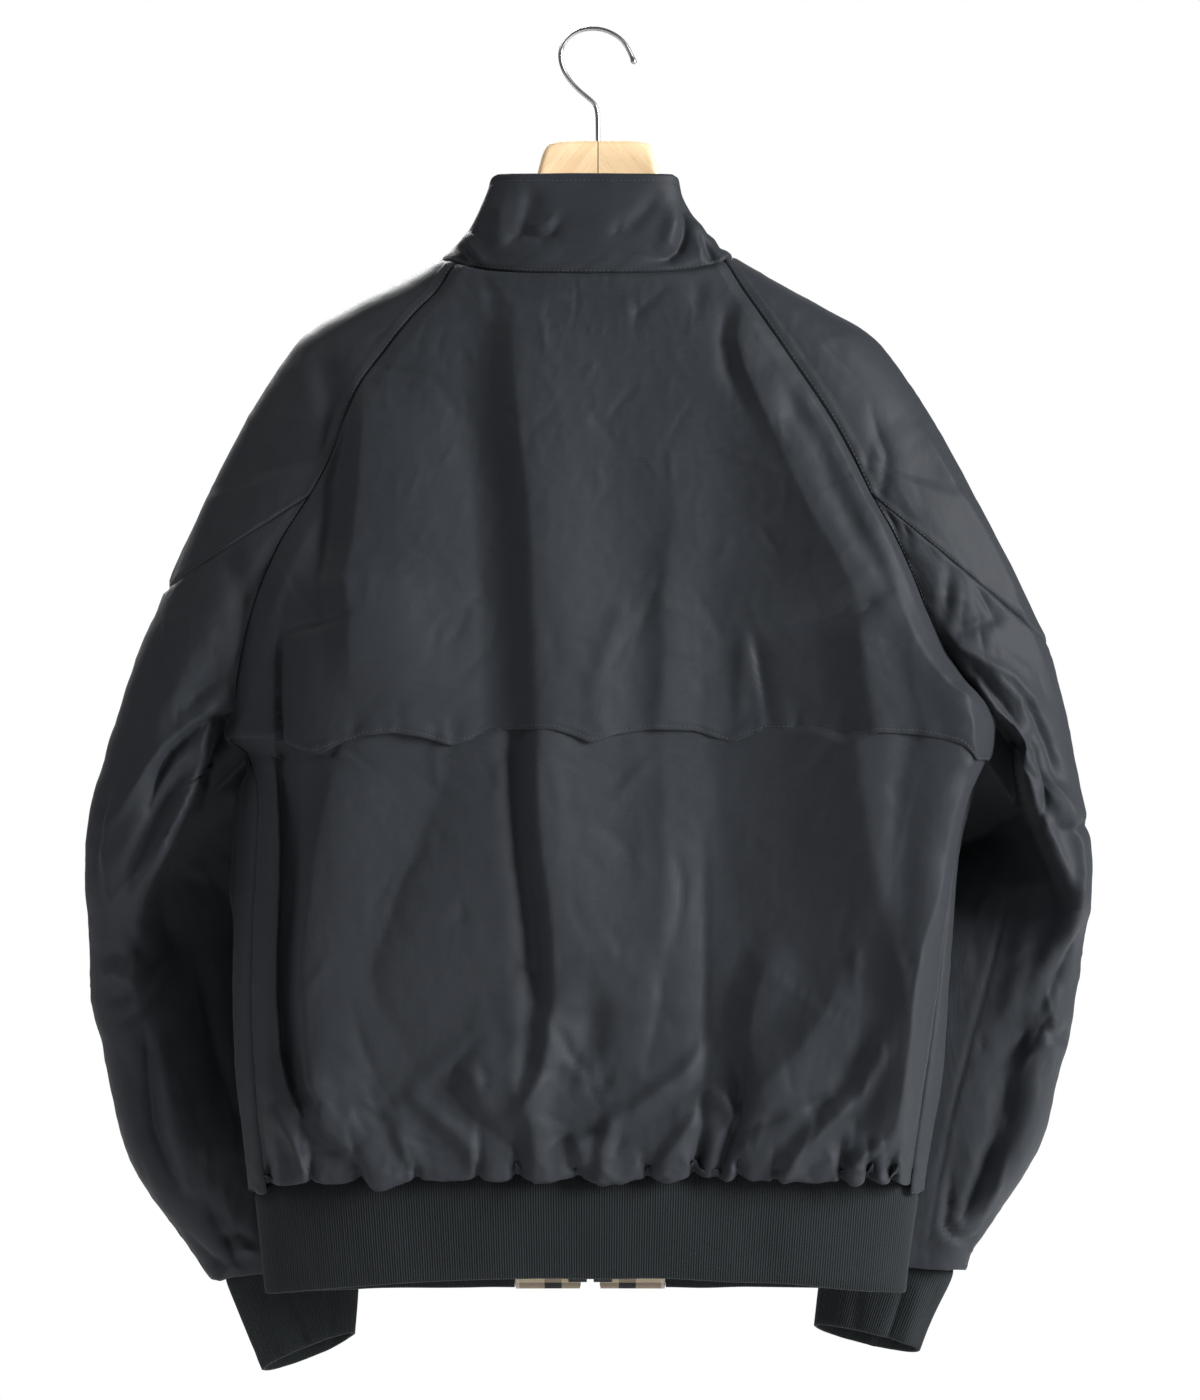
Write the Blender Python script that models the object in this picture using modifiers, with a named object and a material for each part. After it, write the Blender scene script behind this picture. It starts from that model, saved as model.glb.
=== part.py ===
"""Harrington jacket, zipped up and empty, hanging on a contoured wooden hanger with a wire hook.

World axes: X to the wearer's left, Y to the wearer's back, Z up, metres.  The origin is the inside top of the hook.
The tables below are in millimetres in the hanging frame:
    u   from the hook's line to the wearer's right (world -X)
    d   from the hanger's plane to the wearer's back (world +Y)
    z   up, zero at the inside top of the hook
A row number v counts down the garment: 0 is the neck seam, 14 the underarm, 23 the lower edge.
"""

import math

import bmesh
import bpy
import numpy as np

MM = 0.001

# ---------------------------------------------------------------- driving sizes, mm
CLOTH = 1.6            # shell cloth wall
FLAP = 1.4             # yoke flap wall
COLLAR_WALL = 2.6      # two layers and interlining
RIB_WALL = 2.6         # doubled rib knit
GAP = 0.46             # clearance left between sewn pieces
CENTRE_U = -5.0        # centre line of the body
UNDERARM_ROW = 14
HEM_ROW = 23
CROSS_ROW = 7          # row of the seam across the upper sleeve
SLEEVE_END_ROW = 24
FRONT_OPENING = 6.5    # half of the strip between the front edges, where the zip lies
TAB_WIDTH = 44.0       # cloth tab beside the zip, below the fronts
HEM_LEFT, HEM_RIGHT = 214.8, 209.8     # half widths of the hem rib's upper edge
HOOK_WIRE = 2.8
PULL_LENGTH = 20.0

# ---------------------------------------------------------------- tables
# body rows: depth of the middle of the back and front, height of the middle of the back and front
BODY = """
v    back  front  z_back  z_front
0    42    46     -157.5  -199
1    45    49     -172    -211
2    48    51     -190    -223
3    51    53     -211    -237
4    53    54     -231    -251
5    55    55     -252    -267
6    56    56     -275    -285
7    57    57     -298    -304
8    58    58     -324    -327
9    59    58     -348    -350
10   60    58     -375    -376
11   60    58     -402    -402
12   60    58     -424    -424
13   60    58     -446    -446
14   60    58     -465    -465
15   60    58     -492    -492
16   60    57     -531    -531
17   59    56     -572    -572
18   57    54     -620    -620
19   55    51     -665    -665
20   53    49     -703    -703
21   51    47     -724    -726
22   47    43     -737    -741
23   41    39     -732    -736
"""
# raglan seams: place of the back seam on each side and its depth; the front seam has its own place near the neck
RAGLAN = """
v    ul      zl      el    ur     zr      er    front_in  front_drop  ef
0    -90     -150    24    80     -148.5  24    6         13          26
1    -101    -167    32    91.5   -167    32    4         9           33
2    -118.5  -185.5  38    106    -188    38    3         6           38
3    -135.5  -207.5  42    121.5  -210.5  42    2         3           41
4    -150    -226.5  44    137    -233    44    0         0           43
5    -160.5  -249    45    150.5  -254    45    0         0           44
6    -169.5  -274.5  45.5  162.5  -276    45.5  0         0           45
7    -182.5  -298    45.5  173.5  -298    45.5  0         0           45
8    -200.5  -326    44    187    -321.5  45    0         0           44
9    -212.5  -351.5  41    198    -345    43    0         0           41
10   -222    -380    36    208.5  -371    40    0         0           36
11   -228.5  -412    30    219    -393.5  36    0         0           30
12   -231.5  -435    22    233.5  -415.5  28    0         0           22
13   -236    -450.5  12    252    -443.5  14    0         0           12
14   -223    -464.6  4     246    -464.5  4     0         0           4
"""
# body below the underarm: widest reach on each side, side seam on each side, height at the sides
SIDES = """
v    wide_l  wide_r  seam_l  seam_r  z_side
14   -224    246.6   -223    246     -464.6
15   -229    239.4   -216.3  234.2   -492
16   -230    230.4   -217.6  225.9   -531
17   -232    227.2   -220.2  221.4   -572
18   -233    224     -220.8  215.7   -620
19   -232    220.8   -218.9  209.3   -665
20   -227.5  214.4   -215.7  203.5   -705
21   -225    210.5   -213.1  201     -728
22   -223.5  208.5   -211.2  199.7   -743
23   -221    206     -209    197     -738
"""
# sleeve rows: outer edge T, then below the underarm the inner edge B, and half thickness h, slant k of the widest line
SLEEVE_L = """
v    tu      tz      td    bu      bz      bd    h     k
0    -100.5  -146.5  0     0       0       0     0     0
1    -124    -159.5  0     0       0       0     0     0
2    -154    -174.5  0     0       0       0     0     0
3    -187    -195    -1    0       0       0     0     0
4    -211    -226    -2    0       0       0     0     0
5    -230    -258.5  -3    0       0       0     0     0
6    -251    -300    -4    0       0       0     46    0
7    -275    -356.5  -6    0       0       0     46.5  0
8    -292    -393    -8    0       0       0     46.5  0
9    -304.5  -428    -10   0       0       0     46    0
10   -316    -464.5  -13   0       0       0     45    0
11   -324.5  -492    -16   0       0       0     44    0
12   -329    -521    -19   0       0       0     43    0
13   -329.5  -546.5  -23   0       0       0     42    0
14   -327.5  -572    -27   -223    -464.6  0     41    0
15   -327.5  -596    -31   -227    -492    -32   40    0
16   -327    -619    -35   -214    -531    -57   38    0
17   -320.5  -649    -41   -201    -572    -72   36    0.08
18   -312.5  -686    -47   -192.5  -620    -80   34    0.10
19   -305.5  -716    -52   -187    -665    -84   32    0.10
20   -292.5  -743.5  -57   -181    -710    -86   31    0.08
21   -275    -768.5  -61   -172    -748    -87   30    0.05
22   -259    -791    -63   -158    -776    -88   28    0
23   -250    -803    -64   -147    -791    -90   25    0
24   -243.5  -799    -66   -154    -787    -88   19.5  0
"""
SLEEVE_R = """
v    tu      tz      td    bu      bz      bd    h     k
0    86.5    -144.5  0     0       0       0     0     0
1    116.5   -162    0     0       0       0     0     0
2    146     -178    0     0       0       0     0     0
3    175.5   -196    -1    0       0       0     0     0
4    199.5   -226    -2    0       0       0     0     0
5    219.5   -258    -3    0       0       0     0     0
6    245     -305    -4    0       0       0     46    0
7    287.5   -391    -7    0       0       0     46.5  0
8    295     -415.5  -9    0       0       0     46.5  0
9    301     -441    -11   0       0       0     46    0
10   306     -468    -14   0       0       0     45    0
11   311     -492    -17   0       0       0     44    0
12   315     -511.5  -20   0       0       0     43    0
13   316     -534    -24   0       0       0     42    0
14   316     -562.5  -28   246     -464.5  0     41    0
15   313     -591.5  -32   247     -492    -32   40    0
16   308.5   -617    -36   226     -531    -57   38    0
17   304     -646    -41   207     -572    -73   36    0.08
18   294     -676.5  -47   198     -620    -81   34    0.10
19   286     -710    -52   192     -665    -85   32    0.10
20   274     -736.5  -57   187     -710    -87   31    0.08
21   257.5   -762    -61   180     -748    -88   30    0.05
22   243     -786    -63   165     -775    -89   28    0
23   238     -798    -64   138     -789    -90   25    0
24   232.5   -795    -66   145     -786    -88   19.5  0
"""
# cuffs: rows down the rib-knit tube, t the outer edge, b the inner edge, rise of the back over the front at the mouth
CUFF_L = """
row  tu      tz      td    bu      bz      bd    h     rise
0    -242.3  -801    -66   -155.5  -789    -88   18    0
1    -233    -826    -68   -156.5  -815    -88   18.5  1
2    -218    -862    -70   -158.5  -841    -87   18    5
"""
CUFF_R = """
row  tu      tz      td    bu      bz      bd    h     rise
0    231.2   -797    -66   146.6   -788    -88   18    0
1    221.5   -820    -68   143.5   -812    -88   18.5  1
2    209.5   -850    -70   140.8   -835.5  -87   18    5
"""
# lower edge of the yoke flap, from the wearer's left to the right: five points between shallow arcs
SCALLOP = """
u       z
-240    -452
-215    -452.5
-187    -456.5
-174.5  -460
-162.5  -454.5
-145.5  -450
-128    -448.5
-111.5  -451
-92     -457
-77.5   -452
-56     -446.5
-29     -446.5
-15.5   -450.5
-4      -455.5
9       -450.5
33      -446.5
61      -447.5
72.5    -451
84.5    -455.5
93.5    -452
107     -447.5
134.5   -447.5
144.5   -450.5
155.5   -455.5
166     -451
175.5   -448.5
200     -449.5
226     -453
237.5   -458
256     -464.5
"""
# gathers of the body into the hem rib: edges of the puffs along the back
PUFFS = (-212, -184, -152, -116, -77, -52, -12, 32, 61, 90, 113, 156, 173, 189, 202)
# largest folds of the back: height (negative is a trough), half width, then the line it follows (u, z)
FOLDS = (
    ("long trough left of the middle", -7, 17, ((-57, -190), (-72, -240), (-65, -290), (-62, -345), (-55, -400), (-52, -440))),
    ("trough beside the left raglan", -8, 15, ((-150, -240), (-162, -290), (-170, -335), (-180, -365))),
    ("buckle crease at the left", -5, 9, ((-198, -345), (-178, -358), (-157, -377))),
    ("trough under the buckle", -7, 12, ((-202, -388), (-199, -425), (-199, -450))),
    ("trough from the right neck", -7, 14, ((88, -180), (82, -205), (88, -230), (100, -280), (112, -325))),
    ("pointed hollow at the right", -8, 18, ((105, -300), (132, -345), (152, -372))),
    ("ridge to the right underarm", 6, 12, ((86, -212), (126, -268), (148, -302), (170, -350), (206, -390))),
    ("hollow below the right point", -6, 16, ((150, -390), (148, -440))),
    ("lower left side trough", -10, 13, ((-196, -465), (-192, -510), (-198, -545), (-197, -600), (-195, -650), (-190, -690))),
    ("narrow trough below the yoke", -9, 9, ((-42, -456), (-48, -490), (-46, -530), (-40, -575), (-36, -610))),
    ("diagonal hollow", -6, 20, ((-106, -485), (-132, -560), (-148, -598), (-136, -630), (-75, -690))),
    ("wide hollow at the right", -8, 36, ((110, -505), (112, -545), (104, -580))),
    ("ridge along the right side", 7, 13, ((232, -482), (212, -540), (195, -595), (190, -650))),
    ("hollow inside the right arc", -7, 15, ((143, -600), (108, -645), (94, -685))),
    ("arc ridge at the right", 6, 12, ((120, -590), (100, -630), (90, -670))),
    ("trough at the lower right", -6, 12, ((174, -645), (160, -680), (114, -728))),
)
# hanger arms: half width sections from the middle out, heights of the upper and lower edge, half thickness
ARMS = """
u     top    bottom  half
0.3   -70.5  -132    10
20    -70.5  -134    10.5
31    -71.5  -136    11
34.5  -75    -138    11.5
38    -88    -140    12
42    -105   -143    12
50    -124   -148    12.5
66    -140   -157    13
86    -156   -171    13
105   -166   -184    13
130   -179   -200    14
155   -192.5 -212    15
175   -206   -222    15
186   -216   -228    12
"""
# hook wire, bottom to tip
HOOK = ((0, -96), (0, -84), (0, -72), (-0.1, -60), (-0.4, -52), (-1.6, -47.2), (-5, -44), (-12.2, -38), (-17.3, -32.6),
        (-21.3, -26.5), (-23.6, -20.3), (-24.2, -14.5), (-22.6, -8.6), (-17.6, -2.9), (-11, 0.6), (-5, 1.5), (0, 1.4),
        (4.5, 0.5), (11.5, -2.8), (16.6, -7.2), (21.4, -15.6), (23.6, -21.4))

COLOURS = {                                     # base colour, roughness, metallic
    "shell": ((0.030, 0.034, 0.038), 0.62, 0.0),
    "rib": ((0.026, 0.030, 0.031), 0.85, 0.0),
    "lining": ((0.50, 0.42, 0.31), 0.75, 0.0),
    "zip_metal": ((0.60, 0.58, 0.54), 0.35, 1.0),
    "zip_tape": ((0.020, 0.022, 0.025), 0.80, 0.0),
    "beech": ((0.80, 0.58, 0.35), 0.45, 0.0),
    "chrome": ((0.75, 0.76, 0.78), 0.18, 1.0),
}


# ---------------------------------------------------------------- reading tables
def table(text):
    rows = [r.split() for r in text.strip().splitlines()]
    cols = list(zip(*[[float(c) for c in r] for r in rows[1:]]))
    return {name: np.array(c) for name, c in zip(rows[0], cols)}


def smooth(xs, ys, x):
    """Monotone cubic through the table's points."""
    xs, ys, x = np.asarray(xs, float), np.asarray(ys, float), np.asarray(x, float)
    h = np.diff(xs)
    s = np.diff(ys) / h
    m = np.zeros_like(ys)
    same = s[1:] * s[:-1] > 0
    w1, w2 = 2 * h[1:] + h[:-1], h[1:] + 2 * h[:-1]
    with np.errstate(divide="ignore", invalid="ignore"):
        inner = (w1 + w2) / (w1 / s[:-1] + w2 / s[1:])
    m[1:-1] = np.where(same, inner, 0.0)
    m[0], m[-1] = s[0], s[-1]
    i = np.clip(np.searchsorted(xs, x) - 1, 0, len(h) - 1)
    t = np.clip((x - xs[i]) / h[i], 0.0, 1.0)
    a, b = ys[i], ys[i + 1]
    return (a * (1 + 2 * t) * (1 - t) ** 2 + h[i] * m[i] * t * (1 - t) ** 2
            + b * t * t * (3 - 2 * t) + h[i] * m[i + 1] * t * t * (t - 1))


BODY_T, RAGLAN_T, SIDES_T = table(BODY), table(RAGLAN), table(SIDES)
SLEEVE_T = {"l": table(SLEEVE_L), "r": table(SLEEVE_R)}
CUFF_T = {"l": table(CUFF_L), "r": table(CUFF_R)}
SCALLOP_T, ARMS_T = table(SCALLOP), table(ARMS)


# ---------------------------------------------------------------- surfaces of the garment, mm (u, d, z)
def body_rows():
    """Half widths of the body's level sections, so that each seam lies at its own depth."""
    v = BODY_T["v"]
    squareness = 2.2 + 0.4 * np.minimum(v, 14) / 14
    rows = {"v": v, "n": squareness}
    for side, sign in (("l", -1), ("r", 1)):
        seam, wide, zed, front = [], [], [], []
        for i, row in enumerate(v):
            if row <= UNDERARM_ROW:
                edge = (RAGLAN_T["u" + side][i] - CENTRE_U) * sign
                e, ef = RAGLAN_T["e" + side][i], RAGLAN_T["ef"][i]
                n = squareness[i]
                wide.append(edge / (1 - (e / BODY_T["back"][i]) ** n) ** (1 / n))
                seam.append(edge)
                zed.append(RAGLAN_T["z" + side][i])
                fedge = edge - RAGLAN_T["front_in"][i]
                front.append((fedge, fedge / (1 - (ef / BODY_T["front"][i]) ** n) ** (1 / n)))
            else:
                j = int(row - UNDERARM_ROW)
                wide.append((SIDES_T["wide_" + side][j] - CENTRE_U) * sign)
                seam.append((SIDES_T["seam_" + side][j] - CENTRE_U) * sign)
                zed.append(SIDES_T["z_side"][j])
                front.append((seam[-1], wide[-1]))
        rows[side] = {"wide": np.array(wide), "seam": np.array(seam), "z": np.array(zed),
                      "fseam": np.array([f[0] for f in front]), "fwide": np.array([f[1] for f in front])}
    return rows


ROWS = body_rows()


def polyline_field(u, z, line):
    """Distance from each point to a line, and the share of the line's length where it is nearest."""
    pts = np.array(line, float)
    seg = np.diff(pts, axis=0)
    length = np.hypot(seg[:, 0], seg[:, 1])
    start = np.concatenate([[0], np.cumsum(length)])
    best, along = np.full(u.shape, 1e9), np.zeros(u.shape)
    for k in range(len(seg)):
        t = np.clip(((u - pts[k, 0]) * seg[k, 0] + (z - pts[k, 1]) * seg[k, 1]) / length[k] ** 2, 0, 1)
        dist = np.hypot(u - pts[k, 0] - t * seg[k, 0], z - pts[k, 1] - t * seg[k, 1])
        near = dist < best
        best = np.where(near, dist, best)
        along = np.where(near, (start[k] + t * length[k]) / start[-1], along)
    return best, along


def folds(u, z):
    total = np.zeros(np.shape(u))
    for _name, height, half, line in FOLDS:
        dist, along = polyline_field(u, z, line)
        total += height * np.exp(-(dist / half) ** 2) * np.sqrt(np.clip(np.sin(np.pi * np.clip(along, 0.04, 0.96)), 0, 1))
    return total


def puffs(v, u, edges, height):
    """Rounded puffs between gathers, growing towards the lower edge."""
    grow = np.clip((v - 19.3) / 2.4, 0, 1) * np.where(v > 22.01, np.clip(23 - v, 0, 1), 1)
    inside = np.clip(np.interp(u, edges, np.arange(len(edges))), 0, len(edges) - 1)
    return height * grow * (np.abs(np.sin(np.pi * inside)) ** 0.7 - 0.45) * ((u > edges[0]) & (u < edges[-1]))


def back_surface(v, xi):
    """xi from -1 at the wearer's left seam to 1 at the right seam."""
    v, xi = np.broadcast_arrays(np.asarray(v, float), np.asarray(xi, float))
    n, b = smooth(ROWS["v"], ROWS["n"], v), smooth(ROWS["v"], BODY_T["back"], v)
    zc = smooth(ROWS["v"], BODY_T["z_back"], v)
    left = xi < 0

    def pick(key):
        return np.where(left, smooth(ROWS["v"], ROWS["l"][key], v), smooth(ROWS["v"], ROWS["r"][key], v))

    wide, seam, ze = pick("wide"), pick("seam"), pick("z")
    x = np.sin(np.abs(xi) * np.arcsin(np.clip(seam / wide, 0, 0.9999)))
    u = CENTRE_U + np.sign(xi) * x * wide
    z = zc + (ze - zc) * np.abs(xi) ** 3
    full = np.clip(1 - x ** n, 0, 1) ** (1 / n)
    soft = np.clip((v - 0.2) / 2.0, 0, 1) * np.clip((23 - v) / 2.5, 0, 1) * np.clip(full * 2.2 - 0.2, 0, 1)
    d = b * full + folds(u, z) * soft + puffs(v, u, PUFFS, 5.0)
    return np.stack([u, d, z], -1)


def front_surface(side, v, eta):
    """eta from 0 at the raglan or side seam to 1 at the front edge."""
    v, eta = np.broadcast_arrays(np.asarray(v, float), np.asarray(eta, float))
    sign = -1 if side == "l" else 1
    r = ROWS[side]
    n, b, f = (smooth(ROWS["v"], q, v) for q in (ROWS["n"], BODY_T["back"], BODY_T["front"]))
    low = v > UNDERARM_ROW
    wide = np.where(low, smooth(ROWS["v"], r["wide"], v), smooth(ROWS["v"], r["fwide"], v))
    seam = np.where(low, smooth(ROWS["v"], r["seam"], v), smooth(ROWS["v"], r["fseam"], v))
    at = np.arcsin(np.clip(seam / wide, 0, 0.9999))
    first = np.where(low, at, np.pi - at)
    last = np.pi - np.arcsin(FRONT_OPENING / wide)
    a = first + (last - first) * eta
    x = np.sin(a)
    full = np.clip(1 - np.abs(x) ** n, 0, 1) ** (1 / n)
    d = np.where(np.cos(a) > 0, b * full, -f * full)
    u = CENTRE_U + sign * x * wide
    zc = smooth(ROWS["v"], BODY_T["z_front"], v)
    placket = np.clip((62 - np.abs(u - CENTRE_U)) / 12, 0, 1) * (v > 20) * low
    placket = placket * placket * (3 - 2 * placket)
    zc = zc * (1 - placket) + placket * np.interp(v, (20, 23), (-703, -736))
    d = d * (1 - placket) + placket * np.interp(v, (20, 23), (-49, -39)) * full
    drop = np.interp(v, RAGLAN_T["v"], RAGLAN_T["front_drop"])
    ze = smooth(ROWS["v"], r["z"], v) - drop
    z = zc + (ze - zc) * (1 - eta) ** 3
    d = d - puffs(v, np.where(d < 0, u, 999), np.linspace(CENTRE_U - 205, CENTRE_U + 205, 16), 3.5)
    # the low rows share the side seam with the back
    edge = back_surface(v, float(sign))
    here = low & (eta < 1e-6)
    return np.where(here[..., None], edge, np.stack([u, d, z], -1))


def ring(back_in, front_in, outer, h, k, s):
    """Section of a sleeve: s from 0 at the inner back over the outer edge at 0.5 to 1 at the inner front."""
    mid = (back_in + front_in) / 2
    axis = outer - mid
    size = np.linalg.norm(axis, axis=-1, keepdims=True)
    unit = axis / size
    deep = np.array([0.0, 1.0, 0.0]) - unit * unit[..., 1:2]
    deep /= np.linalg.norm(deep, axis=-1, keepdims=True)
    rear = s <= 0.5
    near = np.where(rear[..., None], back_in, front_in)
    w = np.abs(((near - mid) * deep).sum(-1))
    hh = np.maximum(h, w + 1e-6)
    last = np.pi - np.arcsin(np.clip(w / hh, 0, 1))
    last = np.where(h <= w, np.pi / 2, last)
    phi = last * np.where(rear, 1 - 2 * s, 2 * s - 1)
    p = 1 - (1 - np.cos(phi)) / (1 - np.cos(last))
    p = p + k * np.sin(phi) ** 2 * (1 - (w / hh) ** 2)
    q = hh * np.sin(phi) * np.where(rear, 1, -1)
    rest = near - (mid + deep * (w * np.where(rear, 1, -1))[..., None])
    return mid + axis * p[..., None] + deep * q[..., None] + rest * np.clip(1 - p, 0, 1)[..., None]


def sleeve_surface(side, v, s):
    v, s = np.broadcast_arrays(np.asarray(v, float), np.asarray(s, float))
    t = SLEEVE_T[side]
    sign = -1.0 if side == "l" else 1.0
    outer = np.stack([smooth(t["v"], t[c], v) for c in ("tu", "td", "tz")], -1)
    h, k = smooth(t["v"], t["h"], v), smooth(t["v"], t["k"], v)
    up = np.minimum(v, UNDERARM_ROW)
    open_back, open_front = back_surface(up, sign), front_surface(side, up, 0.0)
    low = v >= UNDERARM_ROW
    keep = t["v"] >= UNDERARM_ROW
    inner = np.stack([smooth(t["v"][keep], t[c][keep], np.maximum(v, UNDERARM_ROW)) for c in ("bu", "bd", "bz")], -1)
    under = (open_back + open_front) / 2
    inner = np.where((v == UNDERARM_ROW)[..., None], under, inner)
    back_in = np.where(low[..., None], inner, open_back)
    front_in = np.where(low[..., None], inner, open_front)
    return ring(back_in, front_in, outer, h, k, s)


def cuff_surface(side, row, s):
    t = CUFF_T[side]
    row, s = np.broadcast_arrays(np.asarray(row, float), np.asarray(s, float))
    outer = np.stack([smooth(t["row"], t[c], row) for c in ("tu", "td", "tz")], -1)
    inner = np.stack([smooth(t["row"], t[c], row) for c in ("bu", "bd", "bz")], -1)
    h = smooth(t["row"], t["h"], row)
    p = ring(inner, inner, outer, h, np.zeros_like(h), s)
    p[..., 2] += smooth(t["row"], t["rise"], row) * np.sin(2 * np.pi * s)
    return p


def hem_surface(v, turn):
    """Rib round the hem. v 0 top to 1 lower edge; turn 0 at the middle of the back, -1 and 1 at the middle of the front,
    through the wearer's left for minus."""
    v, turn = np.broadcast_arrays(np.asarray(v, float), np.asarray(turn, float))
    a = np.abs(turn) * np.pi
    n = 2.6
    left, right = HEM_LEFT - 7.5 * v, HEM_RIGHT - 7.5 * v
    x = np.sin(a)
    full = np.clip(1 - np.abs(x) ** n, 0, 1) ** (1 / n)
    u = CENTRE_U + np.where(turn < 0, -left, right) * x
    d = np.where(np.cos(a) > 0, 40.0 - 0.8 * v, -(38.4 - 0.2 * v)) * full
    top = np.where(np.cos(a) > 0, -732 - 6 * np.abs(x) ** 3, -736 - 2 * np.abs(x) ** 3)
    low = np.where(np.cos(a) > 0, -795 - 12 * np.abs(x) ** 2.2, -806 - 1 * np.abs(x) ** 2)
    return np.stack([u, d, top + (low - top) * v], -1)


# ---------------------------------------------------------------- solids
def unit(a):
    return a / np.maximum(np.linalg.norm(a, axis=-1, keepdims=True), 1e-12)


def normals(p, inside, weld_row=None):
    """Outward unit normals of a grid of points; rows from weld_row down close on themselves."""
    dr = np.gradient(p, axis=0)
    dc = np.gradient(p, axis=1)
    if weld_row is not None:
        across = (p[weld_row:, 1] - p[weld_row:, -2]) / 2
        dc[weld_row:, 0] = across
        dc[weld_row:, -1] = across
    n = unit(np.cross(dr, dc))
    if ((p - inside) * n).sum() < 0:
        n = -n
    return n


def world(p):
    return np.stack([-p[..., 0], p[..., 1], p[..., 2]], -1) * MM


def tuck(p, sides, side_rows=None):
    """Draws the named edges of a grid in by half the seam clearance; side_rows is how many rows of the sides move."""
    q = p.copy()
    step = GAP / 2
    rows = slice(0, side_rows)
    for name in sides:
        if name == "first_row":
            q[0] += unit(p[1] - p[0]) * step
        elif name == "last_row":
            q[-1] += unit(p[-2] - p[-1]) * step
        elif name == "first_col":
            q[rows, 0] += unit(p[rows, 1] - p[rows, 0]) * step
        elif name == "last_col":
            q[rows, -1] += unit(p[rows, -2] - p[rows, -1]) * step
    return q


def solid(name, p, n, wall, weld_row=None):
    """Closed wall from the outer points p and their normals n, in mm."""
    rows, cols = p.shape[:2]
    ids = np.arange(rows * cols).reshape(rows, cols)
    if weld_row is not None:
        ids[weld_row:, -1] = ids[weld_row:, 0]
    outer = world(p).reshape(-1, 3)
    inner = world(p - n * wall).reshape(-1, 3)
    total = len(outer)
    a, b, c, e = ids[:-1, :-1], ids[:-1, 1:], ids[1:, 1:], ids[1:, :-1]
    tris = np.concatenate([np.stack([a, b, c], -1).reshape(-1, 3), np.stack([a, c, e], -1).reshape(-1, 3)])
    tris = tris[(tris[:, 0] != tris[:, 1]) & (tris[:, 1] != tris[:, 2]) & (tris[:, 2] != tris[:, 0])]
    nw = world(n) / MM
    face = np.cross(outer[tris[:, 1]] - outer[tris[:, 0]], outer[tris[:, 2]] - outer[tris[:, 0]])
    if (face * nw.reshape(-1, 3)[tris[:, 0]]).sum() < 0:
        tris = tris[:, ::-1]
    directed = {(int(x), int(y)) for t in tris for x, y in ((t[0], t[1]), (t[1], t[2]), (t[2], t[0]))}
    rim = [(x, y) for x, y in directed if (y, x) not in directed]
    faces = [tuple(int(i) for i in t) for t in tris] + [tuple(int(i) + total for i in t[::-1]) for t in tris]
    for x, y in sorted(rim):
        faces.append((y, x, x + total))
        faces.append((y, x + total, y + total))
    used = sorted({i for f in faces for i in f})
    new = {old: i for i, old in enumerate(used)}
    pts = np.concatenate([outer, inner])[used]
    mesh = bpy.data.meshes.new(name)
    mesh.from_pydata([tuple(q) for q in pts], [], [tuple(new[i] for i in f) for f in faces])
    mesh.update()
    return add(name, mesh)


def add(name, mesh_or_object, smooth_angle=40):
    if isinstance(mesh_or_object, bpy.types.Mesh):
        obj = bpy.data.objects.new(name, mesh_or_object)
        PART.objects.link(obj)
    else:
        obj = mesh_or_object
    if obj.type == "MESH":
        obj.data.shade_smooth()
        obj.data.set_sharp_from_angle(angle=math.radians(smooth_angle))
    return obj


def paint(obj, key):
    colour, rough, metal = COLOURS[key]
    mat = bpy.data.materials.new(obj.name + "_" + key)
    mat.use_nodes = True
    bsdf = mat.node_tree.nodes["Principled BSDF"]
    bsdf.inputs["Base Color"].default_value = (*colour, 1)
    bsdf.inputs["Roughness"].default_value = rough
    bsdf.inputs["Metallic"].default_value = metal
    obj.data.materials.clear()
    obj.data.materials.append(mat)


def box_mesh(name, low, high, bevel=0.0, segments=2):
    """Box between two corners in world millimetres."""
    bm = bmesh.new()
    bmesh.ops.create_cube(bm, size=1.0)
    low, high = np.array(low) * MM, np.array(high) * MM
    bmesh.ops.scale(bm, vec=tuple(high - low), verts=bm.verts)
    bmesh.ops.translate(bm, vec=tuple((high + low) / 2), verts=bm.verts)
    mesh = bpy.data.meshes.new(name)
    bm.to_mesh(mesh)
    bm.free()
    obj = add(name, mesh)
    if bevel:
        m = obj.modifiers.new("edge", "BEVEL")
        m.width = bevel * MM
        m.segments = segments
        m.limit_method = "ANGLE"
    return obj


def cutter(obj):
    PART.objects.unlink(obj)
    CUTTERS.objects.link(obj)
    obj.hide_render = True
    obj.display_type = "WIRE"
    return obj


def boolean(target, other, operation):
    m = target.modifiers.new(operation.lower(), "BOOLEAN")
    m.operation = operation
    m.solver = "EXACT"
    m.object = other
    return target


# ---------------------------------------------------------------- start
for obj in list(bpy.data.objects):
    bpy.data.objects.remove(obj, do_unlink=True)
PART = bpy.data.collections.new("harrington_jacket_on_hanger")
CUTTERS = bpy.data.collections.new("cutters")
bpy.context.scene.collection.children.link(PART)
bpy.context.scene.collection.children.link(CUTTERS)

# ---------------------------------------------------------------- grids of the panels
BODY_V = np.array([0, 1, 2, 3.5, 5, 7, 8.5, 10, 12, 13, 14, 15, 17, 18.5, 20, 21, 22, 23], float)
FRONT_ETA = np.array([0, 0.07, 0.15, 0.24, 0.33, 0.44, 0.58, 0.72, 0.86, 1.0])
CAP_V = BODY_V[BODY_V <= CROSS_ROW]
ARM_V = np.array([7, 8.5, 10, 12, 13, 14, 15, 16, 17.5, 19, 20.5, 22, 23, 24], float)
SLEEVE_S = np.linspace(0, 1, 17)
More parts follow.
